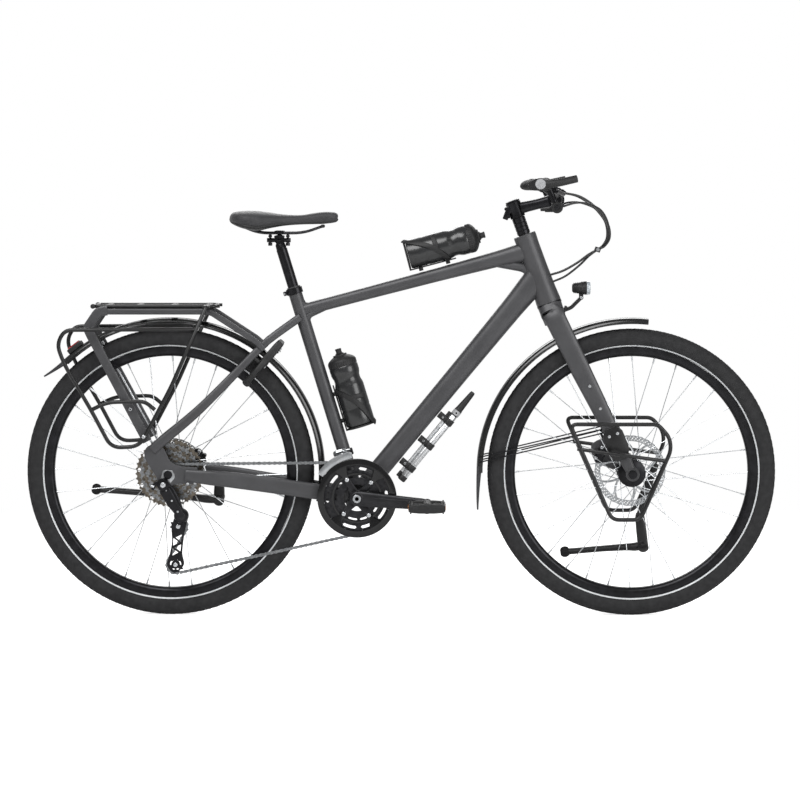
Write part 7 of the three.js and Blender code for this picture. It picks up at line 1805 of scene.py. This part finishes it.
def makeControls(side, word):
    look = controlLook
    root = onBar(look["place"], side)

    def away(offsets):
        return root + Vector((offsets[0], side * offsets[1], offsets[2])) * mm
    pivot, pod = away(look["pivot"]), away(look["pod"])
    way = Vector((pivot.x - root.x, 0, pivot.z - root.z)).normalized()
    axis = Vector((-way.z, 0, way.x))
    bm = bmesh.new()
    addTurned(bm, [(11.2, -6.5), (15.6, -6.5), (16.5, -5.6), (16.5, 5.6), (15.6, 6.5), (11.2, 6.5)], root,
              outward, 32, closed=True)
    addPin(bm, root - way * 15 * mm - axis * 9 * mm, root - way * 15 * mm + axis * 9 * mm, 5, steps=14)
    addBolt(bm, root - way * 15 * mm - axis * 9 * mm, -axis, 3.4, 2, 1)
    addLimb(bm, [root + way * 12 * mm, root.lerp(pivot, 0.6), pivot], (8, 7.4, 7), (8, 8.4, 7.6), outward, 5,
            18, 0.8)
    # the fluid reservoir lies along the bar, under a lid with two screws
    tank = root.lerp(pivot, 0.75)
    tank.y = root.y - side * 20 * mm
    tankStations = [(tank + outward * y * mm, wide, deep, way) for y, wide, deep in
                    ((-22.8, 6.4, 4.8), (-21, 8.6, 6.8), (-12, 9.8, 7.4), (12, 9.8, 7.4), (21, 8.6, 6.8),
                     (22.8, 6.4, 4.8))]
    addSkin(bm, tankStations, 20, 0.6)
    addBlock(bm, tank + axis * 7 * mm, (16, 38, 2.4), pitched(math.atan2(way.z, way.x)), 0.8, 2)
    for y in (-14, 14):
        addBolt(bm, tank + axis * 8 * mm + outward * y * mm, axis, 2.2, 1.2, 1)
    addPin(bm, tank - outward * side * 21 * mm, tank - outward * side * 26 * mm, 4.2, 3.2, steps=12,
           materialIndex=1)
    for lift in (-1, 1):
        addPin(bm, pivot + axis * lift * 4.3 * mm, pivot + axis * lift * 8.2 * mm, 8, steps=20, ease=0.6)
    addBolt(bm, pivot + axis * 8.2 * mm, axis, 3, 1.2, 1)
    # the shifter's round pod hangs below, with a cover disc on its face and a cable adjuster
    addPin(bm, root, pod, 8, 7, steps=18)
    r, half = look["podRadius"], look["podHalf"]
    addTurned(bm, [(0, -half), (r - 2.4, -half), (r, -half + 2.4), (r, half - 2), (r - 2, half), (0, half)],
              pod, outward, 32, materialIndex=2)
    addTurned(bm, [(0, 0.4), (7.6, 0.4), (8.4, -0.4), (0, -0.4)], pod + outward * side * half * mm,
              outward * side, 24, materialIndex=1)
    addPin(bm, pod + Vector((9, 0, 3)) * mm, pod + Vector((18, 0, 6)) * mm, 4.6, 3.8, steps=12,
           materialIndex=0)
    low = word.lower()
    makePiece(bm, "brakeMount" + word, ["blackAnodised", "blackSteel", "mouldedNylon"], "steering_unit",
              "brake_mount_" + low, 40)

    tip = onBar(look["lever"]["tip"], side) + Vector((pivot.x - root.x, 0, pivot.z - root.z))
    knee = pivot.lerp(tip, look["lever"]["knee"]) + way * (look["lever"]["ahead"] * cockpit["half"] * mm)
    bm = bmesh.new()
    addPin(bm, pivot - axis * 3.9 * mm, pivot + axis * 3.9 * mm, 8, steps=20, ease=0.8)
    points = [pivot, pivot.lerp(knee, 0.5) + way * 2 * mm, knee, knee.lerp(tip, 0.6) + way * 1 * mm,
              tip - (tip - knee)
              .normalized() * 4 * mm, tip]
    addLimb(bm, points, (4.4, 3.6, 3.2, 3, 3.4, 2.4), (4, 4.4, 5, 5.4, 5.6, 3.6), way, 5, 16, 0.85)
    makePiece(bm, "brakeLever" + word, "blackAnodised", low + "_brake_lever", "brake_lever_" + low,
              50)

    hinge = pod.copy()
    hinge.y -= side * (look["podHalf"] + 2.3) * mm
    bm = bmesh.new()
    addPin(bm, hinge - outward * 2 * mm, hinge + outward * 2 * mm, 10.5, steps=24, ease=0.6)
    addLimb(bm, [hinge, hinge + Vector((-14, 0, -6)) * mm, hinge + Vector((-29, 0, -7.6)) * mm], (2, 2, 2),
            (7, 5.4, 4.2), outward, 5, 14, 0.8)
    addBolt(bm, hinge - outward * side * 2 * mm, -outward * side, 3, 1, 1)
    makePiece(bm, "shiftTrigger" + word, ["mouldedNylon", "blackSteel"], low + "_shift_trigger",
              "shift_trigger_" + low, 45)


lampLook = {"pivot": (78, 20), "rise": 24, "lug": 5.5,
            "body": [(0, -22.6), (8.6, -22.6), (11.4, -20), (12.4, -14), (14.6, -2), (16.6, 8), (17, 13.6)],
            "lens": [(17, 13.6), (17, 19.6), (15.4, 22.4), (12.6, 22.8), (12, 20.4), (0, 19)]}


def makeHeadlight():
    look = lampLook
    pivot = crown + Vector((look["pivot"][0], 0, look["pivot"][1])) * mm
    centre = pivot + upward * look["rise"] * mm
    bm = bmesh.new()
    addTurned(bm, look["body"], centre, ahead, 48)
    addTurned(bm, look["lens"], centre, ahead, 48, materialIndex=1)
    addTurned(bm, [(15.4, -1), (15.9, 0), (15.9, 3), (15.3, 4)], centre, ahead, 48, closed=True)
    for i in range(3):
        addTurned(bm, [(12.2, -19 + 4 * i), (13.4 + 0.5 * i, -18.4 + 4 * i), (13.4 + 0.5 * i, -17.6 + 4 * i),
                       (12.2, -17 + 4 * i)], centre, ahead, 32, closed=True)
    addPin(bm, pivot - outward * 3 * mm, pivot + outward * 3 * mm, look["lug"], steps=20)
    addSkin(bm, [(pivot, 2.9, 5, outward), (pivot + upward * 14 * mm, 2.9, 6.4, outward)], 16, 0.7)
    makePiece(bm, "headlightLamp", ["mouldedNylon", "lampLens"], "front_lamp", "headlight",
              45)

    bm = bmesh.new()
    foot = onSteerer(-23, 27.3)
    for side in (-1, 1):
        away = outward * side * mm
        addPin(bm, pivot + away * 3.3, pivot + away * 6.3, look["lug"], steps=20)
        corners = [pivot + away * 4.8, pivot + Vector((-24, side * 4.8, -24)) * mm,
                   onSteerer(-23, 42.3, side * 4.8), onSteerer(-23, 30, side * 4.8)]
        addSkin(bm, [(place, 1.5, 4.6, outward) for place in bentLine(corners, 14, 6)], 12, 0.6)
    addBolt(bm, pivot - outward * 6.3 * mm, -outward, 3.6, 2.2, 1)
    addPin(bm, pivot - outward * 6.3 * mm, pivot + outward * 6.6 * mm, 2.2, steps=12, materialIndex=1)
    addBlock(bm, foot + steerAhead * 3.2 * mm, (6, 23, 23), pitched(headAngle - math.pi / 2), 1, 0)
    addBolt(bm, foot + steerAhead * 6 * mm, steerAhead, 4, 2.4, 1)
    makePiece(bm, "headlightBracket", ["blackCoat", "stainless"], "steering_unit", "headlight_bracket",
              50)


makeHandlebar()
makeStem()
for side, word in ((-1, "Right"), (1, "Left")):
    makeGrip(side, word)
    makeControls(side, word)
makeHeadlight()
print("cockpit made")


seatLook = {
    "post": 13.6, "postFrom": 399, "clampAt": (672, 2), "railRadius": 3.5, "railHeight": 15.9,
    "length": 269, "rear": 123,
    "rails": ((0.11, 0.15, 0.06), (0.27, 0.082, -0.008), (0.68, 0.082, -0.008), (0.86, 0.03, 0.055)),
    # along, half width, top and underside, as shares of the saddle's length
    "shell": ((0, 0.07, 0.152, 0.118), (0.012, 0.13, 0.172, 0.094), (0.04, 0.2, 0.187, 0.07),
              (0.13, 0.28, 0.197, 0.034), (0.25, 0.283, 0.195, 0.012), (0.36, 0.22, 0.183, 0.034),
              (0.5, 0.14, 0.164, 0.058), (0.66, 0.098, 0.16, 0.07), (0.85, 0.083, 0.185, 0.075),
              (0.95, 0.072, 0.185, 0.085), (0.985, 0.055, 0.176, 0.096), (1, 0.02, 0.15, 0.118)),
    "channel": {"from": 0.12, "to": 0.72, "half": 13, "depth": 4},
}
seatClamp = onSeatTube(*seatLook["clampAt"])


def seatPoint(along, side, up):
    look = seatLook
    return Vector((seatClamp.x - look["rear"] * mm + along * look["length"] * mm, side * look["length"] * mm,
                   seatClamp.z + look["railHeight"] * mm + (up - look["rails"][1][2]) * look["length"] * mm))


def makeSaddle():
    look = seatLook
    size = look["length"]
    rows = [Vector(row) for row in look["shell"]]
    steps = 6
    smooth = []
    for i, (a, b) in enumerate(zip(rows, rows[1:])):
        before, after = rows[max(i - 1, 0)], rows[min(i + 2, len(rows) - 1)]
        for step in range(steps):
            t = step / steps
            smooth.append(0.5 * ((2 * a) + (b - before) * t + (2 * before - 5 * a + 4 * b - after) * t ** 2
                                 + (3 * a - before - 3 * b + after) * t ** 3))
    smooth.append(rows[-1])
    bm = bmesh.new()
    for materialIndex, (drop, inset) in enumerate(((0, 0), (0.62, 3))):
        part = bmesh.new()
        stations = []
        for along, half, top, base in smooth:
            high = top - (top - base) * drop
            middle = seatPoint(along, 0, (high + base) / 2)
            stations.append((middle, half * size - inset, (high - base) / 2 * size, outward))
        addSkin(part, stations, 40, 0.72, materialIndex)
        if not materialIndex:
            bmesh.ops.subdivide_edges(part, edges=[edge for edge in part.edges if abs(
                (edge.verts[0].co - edge.verts[1].co).normalized().y) > 0.8
                                                   and edge.verts[0].co.z > seatClamp.z
                and edge.calc_length() > 4 * mm], cuts=2)
            hollow = look["channel"]
            for corner in part.verts:
                along = (corner.co.x - seatPoint(0, 0, 0).x) / (size * mm)
                across = abs(corner.co.y) / (hollow["half"] * mm)
                run = (along - hollow["from"]) / (hollow["to"] - hollow["from"])
                if corner.co.z > seatPoint(0, 0, 0.12).z and across < 1 and 0 < run < 1:
                    taper = math.sin(run * math.pi) ** 0.5
                    corner.co.z -= hollow["depth"] * math.cos(across * math.pi / 2) ** 2 * taper * mm
        join(bm, part)
    piece = makePiece(bm, "paddedSaddle", ["saddleCover", "mouldedNylon"], "seat", "saddle",
                      60)


def makeSeatHardware():
    look = seatLook
    bm = bmesh.new()
    for side in (-1, 1):
        corners = [seatPoint(along, side * out, up) for along, out, up in look["rails"]]
        addRod(bm, bentLine(corners, 34, 7), look["railRadius"], 16)
    for along, out, up in (look["rails"][0], look["rails"][-1]):
        addSkin(bm, [(seatPoint(along, y, up), 5.2, 4.2, ahead)
                     for y in (-out - 0.014, -out, 0, out, out + 0.014)], 14,
                0.7, 1)
    makePiece(bm, "saddleRails", ["blackSteel", "mouldedNylon"], "seat", "saddle_rails", 50)

    bm = bmesh.new()
    r = look["post"]
    addPin(bm, onSeatTube(look["postFrom"]), onSeatTube(646), r, steps=40)
    addTurned(bm, [(0, 0), (r + 0.4, 0), (r + 0.4, 1.2), (r - 0.6, 1.6), (r - 1.2, 14), (9, 20), (0, 20)],
              onSeatTube(645), seatUp, 40)
    # the cradle that the rails lie on, its top plate and the two screws that squeeze them
    over = look["railHeight"]
    place = seatClamp + upward * (over - 9) * mm
    addPin(bm, seatClamp - outward * 12 * mm, seatClamp + outward * 12 * mm, 12.6, steps=32, ease=1.5)
    for lift, thick in ((0, 7), (12.6, 5)):
        spot = place + upward * lift * mm
        addSkin(bm, [(spot + outward * y * mm, wide, thick / 2, ahead) for y, wide in
                     ((-30, 11), (-27, 12), (-20, 12), (0, 11), (20, 12), (27, 12), (30, 11))], 16, 0.5)
    addSkin(bm, [(seatClamp + ahead * x * mm - upward * 2 * mm, wide, 5.5, outward) for x, wide in
                 ((-31, 7), (-28, 9), (0, 13), (25, 9), (28, 7))], 20, 0.7)
    for x in (-23, 21):
        spot = seatClamp + ahead * x * mm
        addPin(bm, spot - upward * 13 * mm, spot + upward * 14 * mm, 2.9, steps=12, materialIndex=1)
        addPin(bm, spot - upward * 16 * mm, spot - upward * 8 * mm, 5.2, steps=16, materialIndex=1)
        addPin(bm, spot + upward * 8 * mm - outward * 9 * mm, spot + upward * 8 * mm + outward * 9 * mm, 4.4,
               steps=16, materialIndex=1)
    makePiece(bm, "seatpostHead", ["blackAnodised", "blackSteel"], "seat", "seatpost", 40)


makeSaddle()
makeSeatHardware()
print("saddle made")


topTubeSeat, topTubeHead, downTubeHead = onSeatTube(486), onSteerer(146.6), onSteerer(80)
topTubeWay = (topTubeHead - topTubeSeat).normalized()
downTubeWay = (downTubeHead - bracket).normalized()
topTubeOut, downTubeOut = Vector((-topTubeWay.z, 0, topTubeWay.x)), Vector((downTubeWay.z, 0, -downTubeWay.x))


def onTopTube(reach, off, y=0):
    return topTubeSeat + (topTubeWay * reach + topTubeOut * off) * mm + outward * y * mm


def onDownTube(reach, off, y=0):
    return bracket + (downTubeWay * reach + downTubeOut * off) * mm + outward * y * mm


bottleLook = {
    "radius": 36.5, "height": 183,
    "flask": ((0, 2), (20, 2), (24, 0), (32.5, 0), (35.6, 1.6), (36.5, 5), (36.5, 40), (35.9, 42), (35.9, 46),
              (36.5, 48), (36.5, 100), (35.4, 106), (33.4, 112), (33, 118), (33.4, 124), (35.4, 130),
              (36.5, 136), (36.5, 151), (35.4, 153), (0, 153)),
    "cap": ((0, 152), (34.6, 152), (35.6, 153), (35.6, 166), (34.4, 168.6), (31, 172), (24, 176.6),
            (18.6, 179), (17.6, 180), (17.2, 183), (0, 183)),
    "nozzle": ((0, 182), (10.6, 182), (11, 185), (8, 187), (7.2, 190), (7.2, 193), (8, 194.4), (8, 197),
               (6.6, 198), (0, 198)),
}


def makeBottle(place, start, off, name, body, node):
    look = bottleLook
    base, way = place(start, off), place(1, 0) - place(0, 0)
    bm = bmesh.new()
    addTurned(bm, look["flask"], base, way, 64)
    addTurned(bm, look["cap"], base, way, 64, materialIndex=1)
    addTurned(bm, look["nozzle"], base, way, 32, materialIndex=1)
    ribs = 40
    side = outward
    over = way.cross(side).normalized()
    for i in range(ribs):
        angle = 2 * math.pi * i / ribs
        spot = base + (side * math.cos(angle) + over * math.sin(angle)) * 35.5 * mm
        rib = way.normalized() * mm
        addPin(bm, spot + rib * 154, spot + rib * 165, 1, steps=6, ease=0.4, materialIndex=1)
    makePiece(bm, name, ["bottlePlastic", "mouldedNylon"], body, node, 32)


cageLook = {"radius": 38.6, "strip": 0.62, "thickness": 3.5, "foot": -6}


def makeCage(place, start, off, surface, name, node):
    look = cageLook
    height = bottleLook["height"]
    bm = bmesh.new()
    r = look["radius"]

    def around(reach, angle, radius=r):
        return place(start + reach, off - radius * math.cos(angle), radius * math.sin(angle))
    way = (place(1, 0) - place(0, 0)).normalized()
    # the strip along the tube, flared where the screws hold it
    stations = [(place(start + reach, off - r), wide, look["thickness"] / 2, outward) for reach, wide in
                ((look["foot"], 7), (4, 9), (height * 0.12, 10), (height * 0.3, 8.4), (height * 0.5, 10),
                 (height * 0.58, 8), (height * look["strip"], 5))]
    addSkin(bm, stations, 16, 0.6)
    for share in (0.12, 0.5):
        addPin(bm, place(start + height * share, surface), place(start + height * share, off - r), 5.4,
               steps=16)
        addBolt(bm, place(start + height * share, off - r + 1.4), place(0, 1) - place(0, 0), 4.4, 1.6, 1)
    # diagonal straps from the strip's top, round the bottle and down to the foot
    for side in (-1, 1):
        angles = [(math.radians(a) * side, reach) for a, reach in
                  ((8, 96), (30, 94), (60, 84), (90, 66), (112, 46), (130, 24), (146, 4), (160, -5))]
        strap = smoothLine([around(reach, angle) for angle, reach in angles], 4)
        addSkin(bm, [(spot, 6.4, 1.8, way) for spot in strap], 12, 0.6)
        tip = smoothLine([around(reach, math.radians(a) * side) for a, reach in
                          ((84, 70), (106, 72), (128, 71), (142, 68))], 4)
        addSkin(bm, [(spot, 6, 1.8, way) for spot in tip], 12, 0.6)
    ring = [around(-3.5, 2 * math.pi * i / 40, 33) for i in range(40)]
    addSkin(bm, [(spot, 2.4, 5, way) for spot in ring], 10, 0.7, closed=True)
    addSkin(bm, [(around(-4.4, 0, radius), 8, 2, outward) for radius in (r, 30, 15, 0, -15, -32)], 12, 0.6)
    makePiece(bm, name, ["mouldedNylon", "blackSteel"], "frame", node, 45)


makeBottle(onSeatTube, 170, 61, "seatTubeBottle", "lower_bottle", "seat_tube_bottle")
makeBottle(onTopTube, 296, 67, "topTubeBottle", "upper_bottle", "top_tube_bottle")
makeCage(onSeatTube, 170, 61, 17, "seatTubeBottleCage", "seat_tube_bottle_cage")
makeCage(onTopTube, 296, 67, 20, "topTubeBottleCage", "top_tube_bottle_cage")
print("bottles made")


pumpLook = {"off": 59, "from": 99, "to": 309, "barrel": 9.5, "hose": 3, "rod": 4.5,
            "clips": ((130, 148), (205, 219), (280, 298)),
            "handle": ((0, 309.6), (7.4, 309.6), (10.2, 311), (10.4, 326), (9.4, 330), (8.6, 344),
                       (7.2, 368), (6.6, 380), (5.4, 385), (0, 386)),
            "ring": ((10.4, 312.6), (10.6, 313.4), (10.6, 324), (10.4, 325))}


def makePump():
    look = pumpLook
    off = look["off"]
    way = downTubeWay
    bm = bmesh.new()
    r = look["barrel"]
    addTurned(bm, [(6, 309), (6, 190), (0, 190), (0, 112), (r - 0.3, 112), (r, 113), (r, 308.4),
                   (r - 0.5, 309)],
              onDownTube(0, off), way, 40)
    addTurned(bm, [(0, 99), (8.6, 99), (10.4, 101), (10.5, 112), (9.8, 113.4), (0, 113.4)],
              onDownTube(0, off), way, 32, materialIndex=1)
    hoseOff = off - r - 3.4
    addPin(bm, onDownTube(look["from"] + 4, hoseOff), onDownTube(look["to"] - 4, hoseOff), look["hose"] + 1,
           steps=20)
    for reach in (look["from"] + 3, look["to"] - 14):
        addPin(bm, onDownTube(reach, hoseOff), onDownTube(reach + 16, hoseOff), 4.8, steps=20,
               materialIndex=1)
    for low, high in look["clips"]:
        middle = (low + high) / 2
        addTurned(bm, [(r + 0.2, -8.4), (r + 1.6, -8.4), (r + 2.2, -7.6), (r + 2.2, 7.6), (r + 1.6, 8.4),
                       (r + 0.2, 8.4)],
                  onDownTube(middle, off), way, 32, closed=True, materialIndex=1)
        addSkin(bm, [(onDownTube(middle, reach), 8.6, wide, way) for reach, wide in
                     ((27, 8), (30, 7.8), (40, 7), (49, 7.4), (52, 7.6))], 14, 0.6, 1)
        addBolt(bm, onDownTube(middle, 40, -5.2), -outward, 3.2, 2, 2)
    makePiece(bm, "pumpBarrel", ["brushedSilver", "mouldedNylon", "stainless"], "frame", "pump_barrel",
              40)

    bm = bmesh.new()
    addPin(bm, onDownTube(200, off), onDownTube(312, off), look["rod"], steps=20, materialIndex=2)
    addTurned(bm, look["handle"], onDownTube(0, off), way, 36)
    addTurned(bm, look["ring"], onDownTube(0, off), way, 36, materialIndex=1)
    for side in (-1, 1):
        place = onDownTube(318.6, off, side * 9.4)
        addPin(bm, place, place + outward * side * 1.2 * mm, 5.4, steps=24, ease=0.3, materialIndex=1)
        addPin(bm, place, place + outward * side * 1.5 * mm, 2.6, steps=20, ease=0.2, materialIndex=0)
    makePiece(bm, "pumpHandle", ["mouldedNylon", "paleCap", "brushedSilver"], "pump_plunger", "pump_handle",
              40)


makePump()
print("pump made")


lockLook = {"angle": math.radians(49.5), "centre": 337, "middle": 54, "gapHalf": 38, "pin": 4.2}
lockOut = Vector((math.cos(lockLook["angle"]), 0, math.sin(lockLook["angle"])))
lockFace = Vector((-lockOut.z, 0, lockOut.x))
lockCentre = rearAxle + lockOut * lockLook["centre"] * mm


# Places in the lock's plane: sideways, out from its middle, and off its face.
def lockPoint(y, out, face=0):
    return lockCentre + (outward * y + lockOut * out + lockFace * face) * mm


def lockArc(angle, radius=lockLook["middle"], face=0):
    turn = math.radians(angle)
    return lockPoint(radius * math.cos(turn), radius * math.sin(turn), face)


def makeLock():
    look = lockLook
    bm = bmesh.new()
    gap = look["gapHalf"]
    for side in (-1, 1):
        stations = []
        for angle, wide, deep in ((-90 + gap + 1, 7.4, 8.6), (-90 + gap + 5, 9.4, 10.4), (-34, 10, 10.4),
                                  (-20, 10, 8.2), (0, 10, 7.4), (20, 10, 8.4), (34, 11, 10.4),
                                  (50, 11, 10.4)):
            spot = lockArc(angle)
            spot.y *= side
            away = (spot - lockCentre).normalized()
            stations.append((spot, wide, deep, away))
        addSkin(bm, stations, 20, 0.7)
        # the housing's cheek beside the mudguard, its seam and its screw
        addSkin(bm, [(lockPoint(side * y, out), 6, deep, outward) for y, out, deep in
                     ((45, 24, 9.6), (46, 40, 10.3), (43, 60, 10.3), (38, 84, 9.6), (34, 92, 7))], 20, 0.6)
        addPin(bm, lockPoint(side * 46, 22, 9), lockPoint(side * 46, 22, 36), 5, steps=16)
        addBolt(bm, lockPoint(side * 46, 22, -9.4), -lockFace, 4.4, 2, 1)
    addSkin(bm, [(lockPoint(0, out), half, deep, outward) for out, half, deep in
                 ((52, 44, 10.2), (60, 44, 10.4), (76, 42, 10.4), (90, 38, 9), (94, 34, 6.4))], 28, 0.45)
    # the key's barrel and the seam round the housing
    addPin(bm, lockPoint(-20, 74, -9.6), lockPoint(-20, 74, -12.4), 8.4, steps=28, materialIndex=1)
    addBlock(bm, lockPoint(-20, 74, -12.4), (1.2, 0.9, 7), Matrix.Rotation(-look["angle"], 4, "Y"), 0, 2)
    makePiece(bm, "frameLock", ["mouldedNylon", "stainless", "blackSteel"], "frame", "frame_lock",
              40)

    bm = bmesh.new()
    arc = [lockArc(-90 + gap + 4 + (34 + 90 - gap - 4) * i / 20) for i in range(21)]
    addRod(bm, arc, look["pin"], 16, sideways=lockFace)
    addPin(bm, lockArc(30, 54), lockArc(30, 75), 3.7, 4.2, steps=20, materialIndex=1)
    addPin(bm, lockArc(30, 70), lockArc(30, 78), 3.9, steps=20, ease=1.4, materialIndex=1)
    makePiece(bm, "lockShackle", ["stainless", "mouldedNylon"], "shackle", "lock_shackle", 50)


makeLock()


def makeBracketCups():
    bm = bmesh.new()
    for side in (-1, 1):
        addTurned(bm, [(12.4, 36.8), (21.4, 36.8), (22, 37.4), (22, 41.4), (20.6, 43), (16, 43.6),
                       (12.4, 43.6)], bracket,
                  outward * side, 48, closed=True)
        for i in range(16):
            angle = 2 * math.pi * i / 16
            spot = polar(bracket, 21.4, angle, side * 37)
            addPin(bm, spot, spot + outward * side * 4 * mm, 1.6, steps=8, ease=0.4)
    makePiece(bm, "bracketCups", "blackAnodised", "frame", "bottom_bracket", 40)


makeBracketCups()
print("lock and bracket made")
